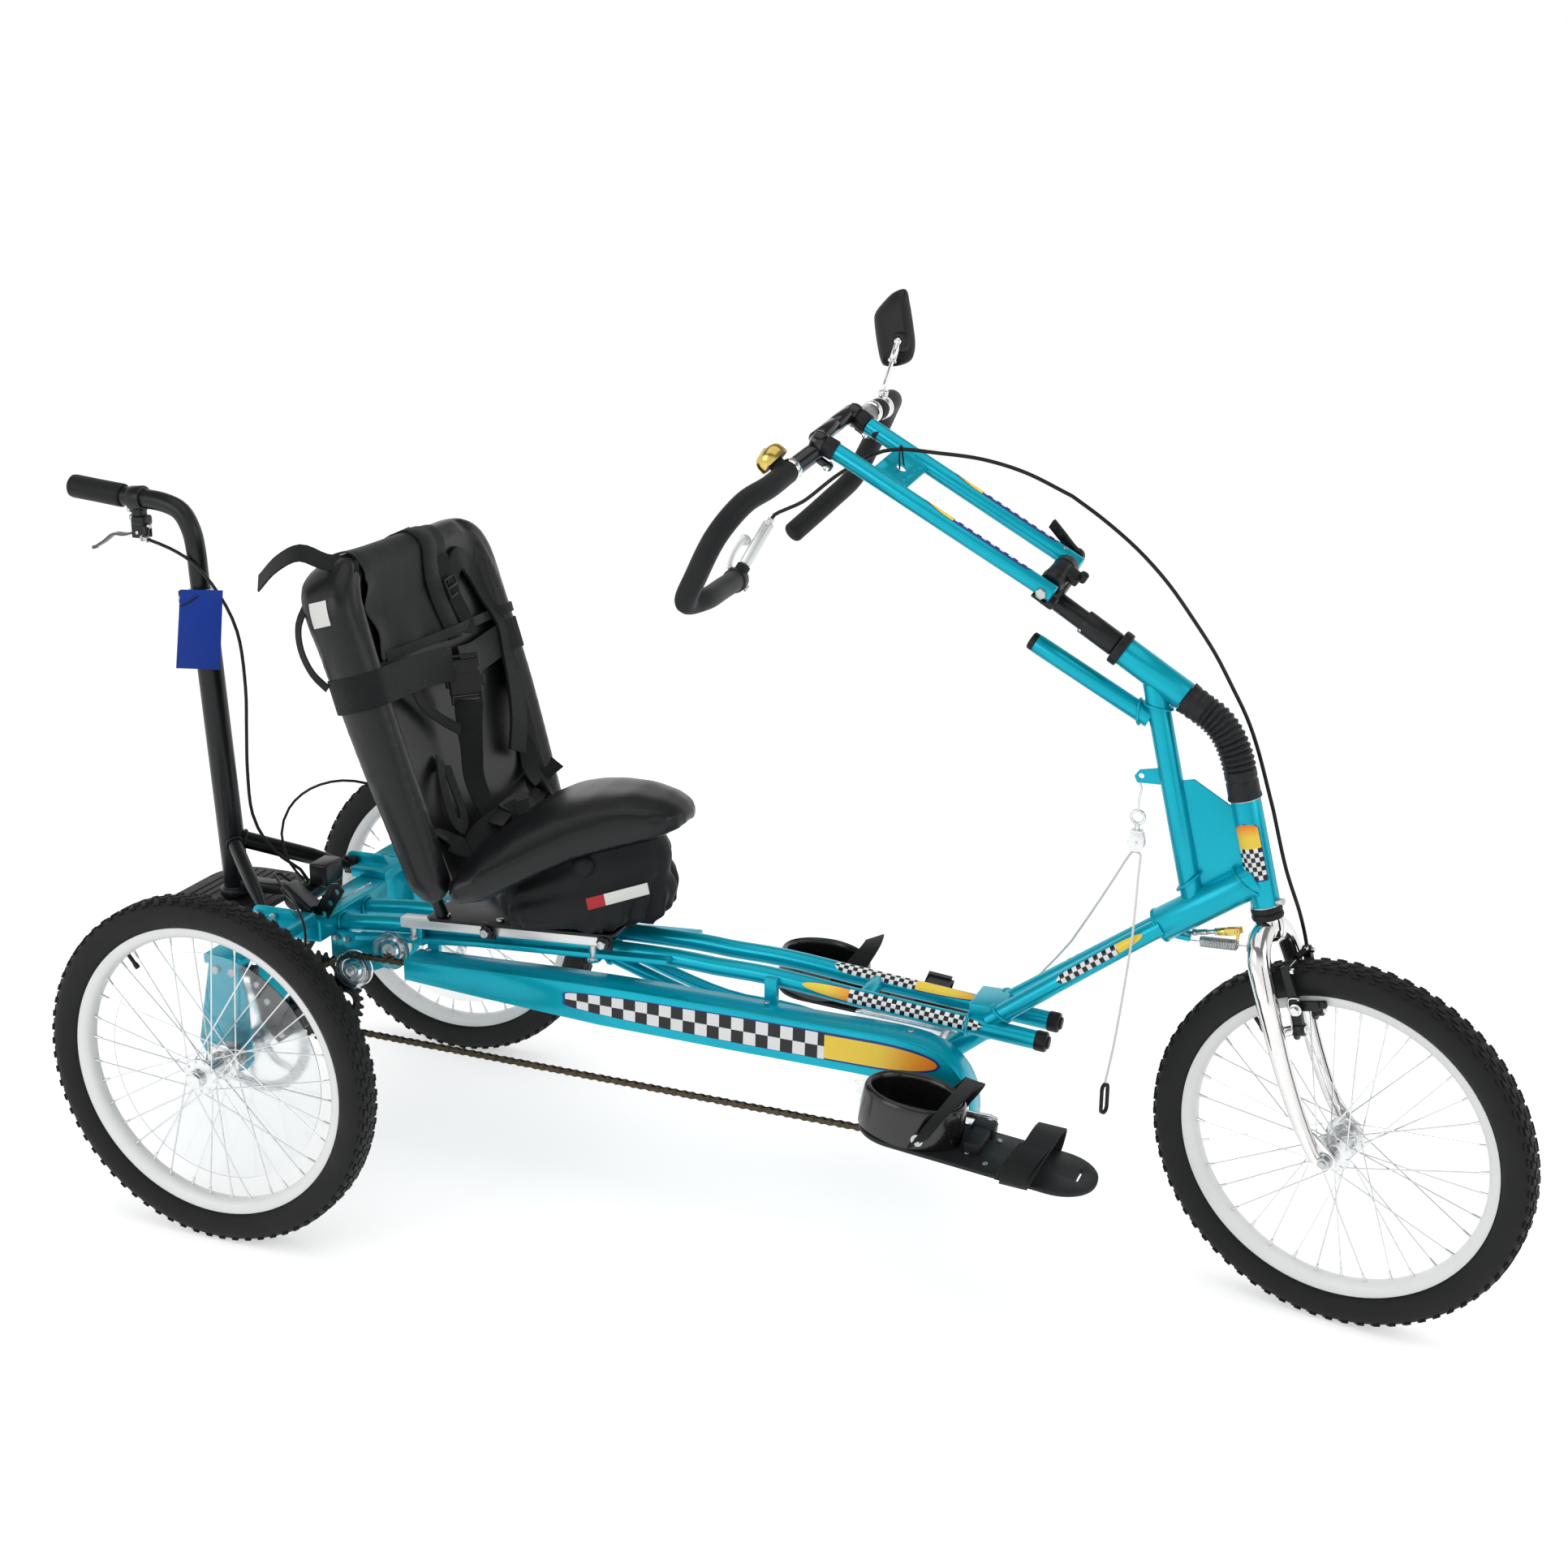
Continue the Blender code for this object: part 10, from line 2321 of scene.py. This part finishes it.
fit(pulley_parts, "pulley_and_hook", "trike", "steel", polished_steel, "cord_pulley")
sheave = turned("sheave", [
    (0.003, -0.0044), (0.0108, -0.0044), (0.0112, -0.0036), (0.0086, 0.0), (0.0112, 0.0036), (0.0108, 0.0044),
    (0.003, 0.0044)], from_axle(1.1815, 0.0, 0.619), AXLE, 40, closed=True)
fit(sheave, "pulley_sheave", "trike", None, white_coat)
hook_mesh = bpy.data.objects["snap_hook"].data
hook_mesh.materials.clear()
hook_mesh.materials.append(moulded_black)


# The steering column: a black steel shaft with a thicker sleeve where it enters the frame's column tube,
# turned to the side like the fork, and a cast clamp at its top in which the handlebar arms tilt.
column_turn = Matrix((
    column_back, Vector((0.0, 0.0, 1.0)).cross(column_back).cross(column_back).normalized() * -1.0,
    leftwards(1.0))).transposed() @ Matrix.Rotation(math.radians(-17.6), 3, "X")


def on_column(along, rise, out):
    """A point in the turned column's own axes: back along the shaft, up and left from its top."""
    return column_rear + column_turn @ Vector((along, rise, out))


def on_arms(along, rise, out):
    """The same axes, measured from the bolt on which the arms tilt."""
    return on_column(along + 0.009, rise + 0.033, out)


shaft_parts = [
    pin("shaft", on_column(-0.2076, 0.0, 0.0), on_column(0.012, 0.0, 0.0), 0.0125, 40, 0.0015),
    pin("sleeve", on_column(-0.0997, 0.0, 0.0), on_column(-0.0486, 0.0, 0.0), 0.0158, 40, 0.002),
    pin("joint neck", on_column(-0.2771, 0.0, 0.0), on_column(-0.2056, 0.0, 0.0), 0.005, 24, 0.0),
    block("clamp casting", (0.026, 0.03, 0.03), on_column(0.0025, 0.015, 0.0), 0.0055, column_turn, 4),
    pin("clamp barrel", on_column(0.009, 0.033, -0.0292), on_column(0.009, 0.033, 0.0292), 0.015, 44, 0.0018),
    pin("barrel rib", on_column(0.009, 0.033, -0.018), on_column(0.009, 0.033, -0.015), 0.0158, 44, 0.001),
    pin("barrel rib", on_column(0.009, 0.033, 0.015), on_column(0.009, 0.033, 0.018), 0.0158, 44, 0.001),
    block("clamp ear", (0.022, 0.01, 0.024), on_column(-0.006, 0.042, 0.003), 0.003, column_turn, 4),
    pin("ear bolt", on_column(-0.017, 0.04, 0.008), on_column(-0.017, 0.052, 0.008), 0.0058, 24, 0.0012),
    turned("joint ball", [
        (0.0, -0.0055), (0.0021, -0.0051), (0.0039, -0.0039), (0.0051, -0.0021), (0.0055, 0.0), (0.0051, 0.0021),
        (0.0039, 0.0039), (0.0, 0.005)], from_axle(1.2924, 0.0, 0.7777), column_back, 28)]
fit(shaft_parts, "column_and_clamp", "column", "black_paint", black_enamel, "steering_column")
sleeve_bolt = pin("sleeve bolt", on_column(-0.052, -0.004, -0.015), on_column(-0.052, -0.0046, -0.0172), 0.0028, 20)
fit(sleeve_bolt, "sleeve_bolt", "column", "steel", zinc_plated)


# The handlebar arms: two teal steel tubes that tilt on the clamp, tied by a drilled plate. Each has a black
# plug in its upper end, a bracket bolted at its lower end and a strip of the trim film.
arm_parts, plug_parts, arm_checkers, arm_flashes, arm_keylines, arm_bolts = [], [], [], [], [], []
for side in (-1.0, 1.0):
    low, high = on_arms(0.0, 0.0, side * 0.0413), on_arms(0.314, -0.0203, side * 0.0435)
    run = (high - low).normalized()
    arm = pin("arm", low - run * 0.012, high, 0.0111, 48, 0.001)
    take_away(arm, pin("bore", high - run * 0.03, high + run * 0.01, 0.0098, 48, 0.0))
    arm_parts.append(arm)
    end = on_arms(0.331, -0.0212, side * 0.0455)
    plug_parts.append(turned("arm plug", [
        (0.0097, -0.02), (0.0097, 0.0002), (0.0124, 0.0002), (0.0132, 0.002), (0.0132, (end - high).length - 0.002),
        (0.012, (end - high).length), (0.0, (end - high).length)], high, end - high, 44))
    arm_bolts += [
        pin("tilt bolt", low + column_turn @ Vector((0.0, 0.0, side * 0.0113)),
            low + column_turn @ Vector((0.0, 0.0, side * (0.0113 if side > 0.0 else 0.016))) * 1.0, 0.0075, 6)
        if side < 0.0 else pin("arm rivet", low + run * 0.016,
                low + run * 0.016 + column_turn @ leftwards(0.0118), 0.003, 20)]
    facing = column_turn @ Vector((0.0, 0.81, 0.59))
    arm_checkers.append(film(
        "arm checker", low.lerp(high, 0.085), low.lerp(high, 0.45), 0.01125, facing, 0.56, [("start", 0.12)],
        ((high - low).length * 0.365 * 0.82, 0.014 * 0.82), (70, 10)))
    arm_flashes.append(film(
        "arm flash", low.lerp(high, 0.45), low.lerp(high, 0.58), 0.01128, facing, 0.84, [("end", 0.95, 0.12)],
        (0.12, 0.014), (40, 10)))
    arm_keylines.append(film(
        "arm keyline", low.lerp(high, 0.078), low.lerp(high, 0.595), 0.01118, facing, 0.92,
        [("start", 0.08), ("end", 0.27, 0.12)], (0.16, 0.016), (90, 10)))
bridge_half = 0.0413
bridge_line = [on_arms(0.24 + x, -0.013, z) for x, z in rounded_outline(0.024, bridge_half, 0.004, 5)]
bridge_holes = [
    pin("hole", on_arms(0.24, -0.03, 0.0), on_arms(0.24, 0.004, 0.0), 0.007, 28, 0.0),
    pin("hole", on_arms(0.226, -0.03, 0.016), on_arms(0.226, 0.004, 0.016), 0.003, 20, 0.0),
    pin("hole", on_arms(0.226, -0.03, -0.016), on_arms(0.226, 0.004, -0.016), 0.003, 20, 0.0)]
arm_parts.append(cut_plate("arm bridge", bridge_line, column_turn @ leftwards(0.004), 0.0006, bridge_holes))
for side in (-1.0, 1.0):
    arm_parts.append(block(
        "bridge weld", (0.046, 0.0055, 0.006), on_arms(0.24, -0.0125, side * 0.0325), 0.0022, column_turn))
fit(arm_parts, "teal_arms", "arms", "teal_paint", teal_enamel, "handlebar_arms")
fit(plug_parts, "arm_plugs", "arms", "black_plastic", moulded_black)
fit(arm_checkers, "arm_checker_film", "arms", None, checker_film)
fit(arm_flashes, "arm_flash_film", "arms", None, flash_film)
fit(arm_keylines, "arm_keyline_film", "arms", None, keyline_ink)
guide_at = lever_to_bridge[-1]
guide_line = smooth_route([
    on_arms(0.24, -0.011, 0.006), guide_at + Vector((0.0, 0.0062, -0.006)), guide_at + Vector((0.0, 0.004, 0.0025)),
    guide_at + Vector((0.0, 0.0, 0.0046)), guide_at + Vector((0.0, -0.004, 0.0025)),
    guide_at + Vector((0.0, -0.0062, -0.006)), on_arms(0.24, -0.011, -0.006)], 0.002)
guide_loop = tube("cable guide", guide_line, 0.0011, 12)
arm_bolts.append(pin("end bracket bolt", on_arms(-0.006, -0.0125, -0.0413), on_arms(-0.006, -0.0185, -0.0413), 0.006,
    6))
fit(arm_bolts, "arm_bolts", "arms", "steel", zinc_plated)
fit(guide_loop, "cable_guide_loop", "arms", None, moulded_black)
bracket_parts = [
    block("end bracket", (0.028, 0.005, 0.016), on_arms(-0.004, -0.014, -0.0413), 0.0016, column_turn),
    block("end bracket", (0.012, 0.011, 0.016), on_arms(-0.015, -0.011, -0.0413), 0.0024, column_turn)]
fit(bracket_parts, "arm_end_bracket", "arms", "black_paint", black_enamel)

# The tilt lock: a black cam lever on the far end of the tilting bolt.
cam_line = route_on(on_arms, (
    (-0.006, 0.0, 0.058), (0.01, 0.003, 0.0585), (0.03, 0.008, 0.061), (0.05, 0.012, 0.0645)), 0.004)
cam_parts = [
    pin("cam", on_arms(0.0, 0.0, 0.0532), on_arms(0.0, 0.0, 0.062), 0.0095, 36, 0.0014),
    flat_strip("cam lever", cam_line, [column_turn @ leftwards(0.0062)] * len(cam_line), 0.0062)]
fit(cam_parts, "tilt_cam_lever", "cam_lever", "black_paint", black_enamel, "quick_release_lever")


# The handles: bent steel tubes in thick foam sleeves, each held to its arm's plug by a chrome elbow with a bright
# band; the elbows' colour is painted dark, a painted dark reflection. The right one carries the hand lever and the
# bell, the left one the mirror.
# Chrome for the elbows with its base colour painted dark: a painted dark reflection, so that they show black under
# bright lamp highlights
chrome_painted_dark, tree, shader, place = finish("chrome_with_painted_dark_reflection", Metallic=0.6, Roughness=0.14, Coat_Weight=0.6,
    Coat_Roughness=0.04)
casting = noise(tree, place, 120.0, 4.0)
tint(tree, shader, "#121214", "#2b2c2f", casting)
shine(tree, shader, 0.08, 0.24, casting)

handle_routes = {
    "right": (-1.0, [
        (0.336, -0.034, 0.064), (0.34, -0.043, 0.105), (0.34, -0.043, 0.155), (0.347, -0.052, 0.196),
        (0.347, -0.082, 0.24), (0.343, -0.14, 0.255), (0.341, -0.19, 0.249), (0.332, -0.201, 0.21),
        (0.336, -0.226, 0.145), (0.342, -0.256, 0.071)]),
    "left": (1.0, [
        (0.336, -0.034, 0.064), (0.336, -0.047, 0.105), (0.332, -0.054, 0.148), (0.337, -0.066, 0.188),
        (0.343, -0.108, 0.222), (0.343, -0.15, 0.232), (0.341, -0.19, 0.228), (0.334, -0.212, 0.2),
        (0.336, -0.23, 0.145), (0.342, -0.256, 0.071)])}
handle_lines = {}
cross_middle = on_arms(0.3431, -0.0218, 0.0)
for label, (side, route) in handle_routes.items():
    line = smooth_route([on_arms(along, rise, side * out) for along, rise, out in route], 0.007)
    handle_lines[label] = line
    bare = {"right": 6, "left": 8}[label]
    grip_line = line[bare:]
    first_run, last_run = (grip_line[1] - grip_line[0]).normalized(), (line[-1] - line[-2]).normalized()
    sleeve = tube("foam sleeve", [
        grip_line[0] + first_run * 0.0005, grip_line[0] + first_run * 0.0022, *grip_line[1:-1],
        line[-1] - last_run * 0.003, line[-1] - last_run * 0.0008, line[-1]], 0.0142, 40,
        [0.0128, 0.0142, *[0.0142] * (len(grip_line) - 2), 0.0142, 0.013, 0.0096])
    fit(sleeve, label + "_handle_sleeve", "arms", "foam_grip", foam_rubber, label + "_handle")
    face_from, face_to = on_arms(0.314, -0.0203, side * 0.0435), on_arms(0.331, -0.0212, side * 0.0455)
    face_run = (face_to - face_from).normalized()
    face = face_to + face_run * 0.0004
    cross_at = face + face_run * 0.0117
    elbow_at = face + face_run * 0.006
    knee_at = line[0] - (line[1] - line[0]).normalized() * 0.012
    elbow_line = smooth_route([face, face + face_run * 0.003, elbow_at, elbow_at.lerp(knee_at, 0.5), knee_at,
                               *line[0:bare:2], grip_line[0] + first_run * 0.0004], 0.004)
    elbow_parts = [
        tube("elbow", elbow_line, 0.0122, 36),
        turned("elbow boss", [
            (0.0, -0.006), (0.0128, -0.0058), (0.014, -0.002), (0.0138, 0.005), (0.0118, 0.0095), (0.006, 0.0122),
            (0.0, 0.0126)], elbow_at, face_run, 36),
        pin("crossbar", cross_at, cross_middle, 0.0105, 40, 0.0004),
        block("clamp ear", (0.024, 0.01, 0.0085), knee_at + column_turn @ Vector((-0.017, -0.008, 0.0)), 0.003,
              column_turn, 4)]
    fit(elbow_parts, label + "_handle_elbow", "arms", "chrome", chrome_painted_dark, "handle_clamp_" + label)
    clamp_bright = [
        pin("clamp band", grip_line[0] - first_run * 0.01, grip_line[0] - first_run * 0.0005, 0.0146, 48, 0.0014),
        pin("ear bolt", knee_at + column_turn @ Vector((-0.023, -0.008, -0.0075 * side)),
            knee_at + column_turn @ Vector((-0.023, -0.008, 0.0075 * side)), 0.0042, 6)]
    fit(clamp_bright, label + "_clamp_band", "arms", None, chrome_plate)

right_line = handle_lines["right"]
lever_end, lever_run = right_line[-1], (right_line[-1] - right_line[-2]).normalized()
housing_from, housing_to = lever_end - lever_run * 0.016, on_arms(0.351, -0.183, -0.03)
housing_run = (housing_to - housing_from).normalized()
perch_parts = [
    pin("perch ring", lever_end - lever_run * 0.027, lever_end - lever_run * 0.009, 0.0164, 44, 0.0018),
    pin("housing foot", housing_from, housing_from.lerp(housing_to, 0.26), 0.0092, 28, 0.002)]
fit(perch_parts, "lever_perch", "arms", "black_plastic", moulded_black)
housing_turn = axis_turn(housing_run, column_turn @ Vector((1.0, 0.0, 0.0)))
housing_parts = [
    block("lever housing", (0.015, 0.015, (housing_to - housing_from).length * 0.74),
          housing_from.lerp(housing_to, 0.62), 0.0045, housing_turn, 4),
    pin("cable barrel", housing_to - housing_run * 0.004, housing_to + housing_run * 0.0045, 0.0048, 20, 0.0006),
    pin("perch bolt", lever_end - lever_run * 0.018 - column_turn @ Vector((0.0165, 0.0, 0.0)),
        lever_end - lever_run * 0.018 - column_turn @ Vector((0.0205, 0.0, 0.0)), 0.0048, 6),
    pin("perch bolt", lever_end - lever_run * 0.018 + column_turn @ Vector((0.0, 0.0, 0.016)),
        lever_end - lever_run * 0.018 + column_turn @ Vector((0.0, 0.0, 0.02)), 0.0042, 6)]
fit(housing_parts, "lever_housing", "arms", "aluminium", brushed_aluminium)
hand_axis = Matrix((
    (-0.39447, 0.20236, -0.89635, -0.00113), (-0.37501, -0.92598, -0.04401, 0.00225),
    (-0.8389, 0.31878, 0.44116, 0.96677), (0.0, 0.0, 0.0, 1.0)))
blade_line = smooth_route([hand_axis @ Vector(point) for point in (
    (-0.004, 0.0, 0.002), (0.008, 0.0, 0.0045), (0.022, 0.0, 0.005), (0.034, 0.0, 0.003), (0.04, 0.0, 0.0012))],
    0.003)
blade_count = len(blade_line)
hand_blade = [
    flat_strip("hand blade", blade_line, [
        hand_axis.to_3x3() @ leftwards(0.0078 - 0.0018 * index / blade_count)
        for index in range(blade_count)], 0.006),
    pin("blade hub", hand_axis @ leftwards(-0.007), hand_axis @ leftwards(0.007), 0.0072, 32),
    pin("blade tip", hand_axis @ Vector((0.04, -0.006, 0.0012)), hand_axis @ Vector((0.04, 0.006, 0.0012)), 0.0042,
        24)]
fit(hand_blade, "hand_brake_blade", "hand_lever", "aluminium", brushed_aluminium, "brake_lever")

bell_base, bell_top = on_arms(0.3529, -0.0436, -0.1082), on_arms(0.3842, -0.0374, -0.1078)
bell_axis = (bell_top - bell_base).normalized()
bell_cup = turned("bell cup", [
    (0.0198, 0.0075), (0.0212, 0.0068), (0.0214, 0.008), (0.0213, 0.014), (0.0206, 0.0185), (0.0188, 0.0222),
    (0.0158, 0.0248), (0.0115, 0.0266), (0.006, 0.0276), (0.004, 0.0277), (0.004, 0.0286), (0.0, 0.0288),
    (0.0, 0.0262), (0.011, 0.0254), (0.015, 0.0237), (0.0178, 0.0212), (0.0195, 0.018), (0.02, 0.014)],
    bell_base, bell_axis, 72, closed=True)
fit(bell_cup, "brass_bell_cup", "arms", "brass", turned_brass, "bell")
bell_foot = [
    pin("bell foot", bell_base - bell_axis * 0.002, bell_base + bell_axis * 0.01, 0.0105, 32, 0.0015),
    pin("bell plate", bell_base + bell_axis * 0.0062, bell_base + bell_axis * 0.009, 0.0185, 44, 0.0008),
    block("striker", (0.004, 0.012, 0.005), bell_base + bell_axis * 0.006 + column_turn @ leftwards(-0.023),
        0.0012,
          column_turn)]
fit(bell_foot, "bell_foot", "arms", "black_plastic", moulded_black)


# The mirror: a black moulded head with silvered glass on its far face, carried by a ball joint on a
# chromed rod that is clamped to the left handle.
left_line = handle_lines["left"]
mirror_ball = on_arms(0.3666, 0.0139, 0.1883)
mirror_base = on_arms(0.334, -0.042, 0.144)
seat_index = min(range(len(left_line)), key=lambda index: (left_line[index] - mirror_base).length)
seat_at = left_line[seat_index]
seat_run = (left_line[seat_index + 1] - left_line[seat_index - 1]).normalized()
reach = mirror_ball - seat_at
away = (reach - seat_run * reach.dot(seat_run)).normalized()
stem_from = seat_at + away * 0.0134
elbow_knot = stem_from + away * 0.014
stem_line = [stem_from + away * 0.004, elbow_knot,
    *[elbow_knot.lerp(mirror_ball, share) for share in (0.3, 0.6, 1.0)]]
stem_parts = [
    tube("mirror rod", smooth_route(stem_line, 0.004), 0.0028, 20),
    pin("rod foot", stem_from, stem_from + away * 0.01, 0.0072, 6, 0.001),
    pin("rod knuckle", elbow_knot.lerp(mirror_ball, 0.6), elbow_knot.lerp(mirror_ball, 0.98), 0.0046, 28, 0.001),
    pin("rod nut", elbow_knot.lerp(mirror_ball, 0.56), elbow_knot.lerp(mirror_ball, 0.61), 0.006, 6, 0.0006),
    pin("handle band", seat_at - seat_run * 0.007, seat_at + seat_run * 0.007, 0.0148, 44, 0.001),
    turned("mirror ball", [
        (0.0, -0.0062), (0.0024, -0.0057), (0.0044, -0.0044), (0.0057, -0.0024), (0.0062, 0.0), (0.0057, 0.0024),
        (0.0044, 0.0044), (0.0024, 0.0057), (0.0, 0.0062)], mirror_ball, away, 36)]
fit(stem_parts, "mirror_stem_and_ball", "arms", "chrome", chrome_plate, "mirror_stem")
facing = Vector((0.127, 0.98, -0.15)).normalized()
mirror_across = facing.cross(Vector((0.0, 0.0, 1.0))).normalized()
mirror_up = mirror_across.cross(facing)
mirror_outline = [
    (0.003, 0.069), (-0.013, 0.065), (-0.026, 0.053), (-0.038, 0.037), (-0.038, 0.023), (-0.031, -0.006),
    (-0.024, -0.026), (-0.017, -0.032), (0.0, -0.031), (0.016, -0.025), (0.022, -0.016), (0.023, 0.0), (0.018, 0.023),
    (0.01, 0.052)]


def mirror_ring(scale, depth):
    """The mirror's egg-shaped outline at a scale and a depth from its glass."""
    return round_ring([
        mirror_ball + facing * (0.0065 + depth) + mirror_across * (x - 0.009) * scale
        + mirror_up * (0.012 + (z - 0.012) * scale) for x, z in mirror_outline], 72)


shell = ring_mesh("mirror shell", [mirror_ring(scale, depth) for scale, depth in (
    (0.03, 0.0004), (0.25, 0.0), (0.45, 0.0004), (0.62, 0.0015), (0.78, 0.0038), (0.9, 0.0072), (0.965, 0.0108),
    (0.995, 0.0142), (1.0, 0.016), (0.99, 0.0172), (0.955, 0.0174), (0.945, 0.0164), (0.5, 0.0164), (0.03, 0.0164))])
bpy.ops.object.shade_smooth_by_angle(angle=SMOOTH_UNDER)
socket = turned("ball socket", [
    (0.0066, -0.0025), (0.01, -0.0022), (0.0128, 0.003), (0.014, 0.009), (0.0066, 0.009)], mirror_ball, facing, 40,
    closed=True)
fit([shell, socket], "mirror_shell", "mirror", "black_plastic", moulded_black, "mirror_head")

# Silvered glass: a mirror behind clear glass, with the faintest haze
silvered_glass, tree, shader, place = finish("silvered_glass", Metallic=1.0, Roughness=0.03, Coat_Weight=0.5,
    Coat_Roughness=0.02)
haze = noise(tree, place, 30.0, 4.0)
tint(tree, shader, "#dfe3e4", "#eef1f1", haze)
shine(tree, shader, 0.01, 0.06, haze)
glass = ring_mesh("mirror glass", [mirror_ring(scale, depth) for scale, depth in (
    (0.03, 0.0165), (0.5, 0.0165), (0.938, 0.0165), (0.942, 0.0168), (0.938, 0.0171), (0.5, 0.0171), (0.03, 0.0171))])
fit(glass, "mirror_glass", "mirror", None, silvered_glass)
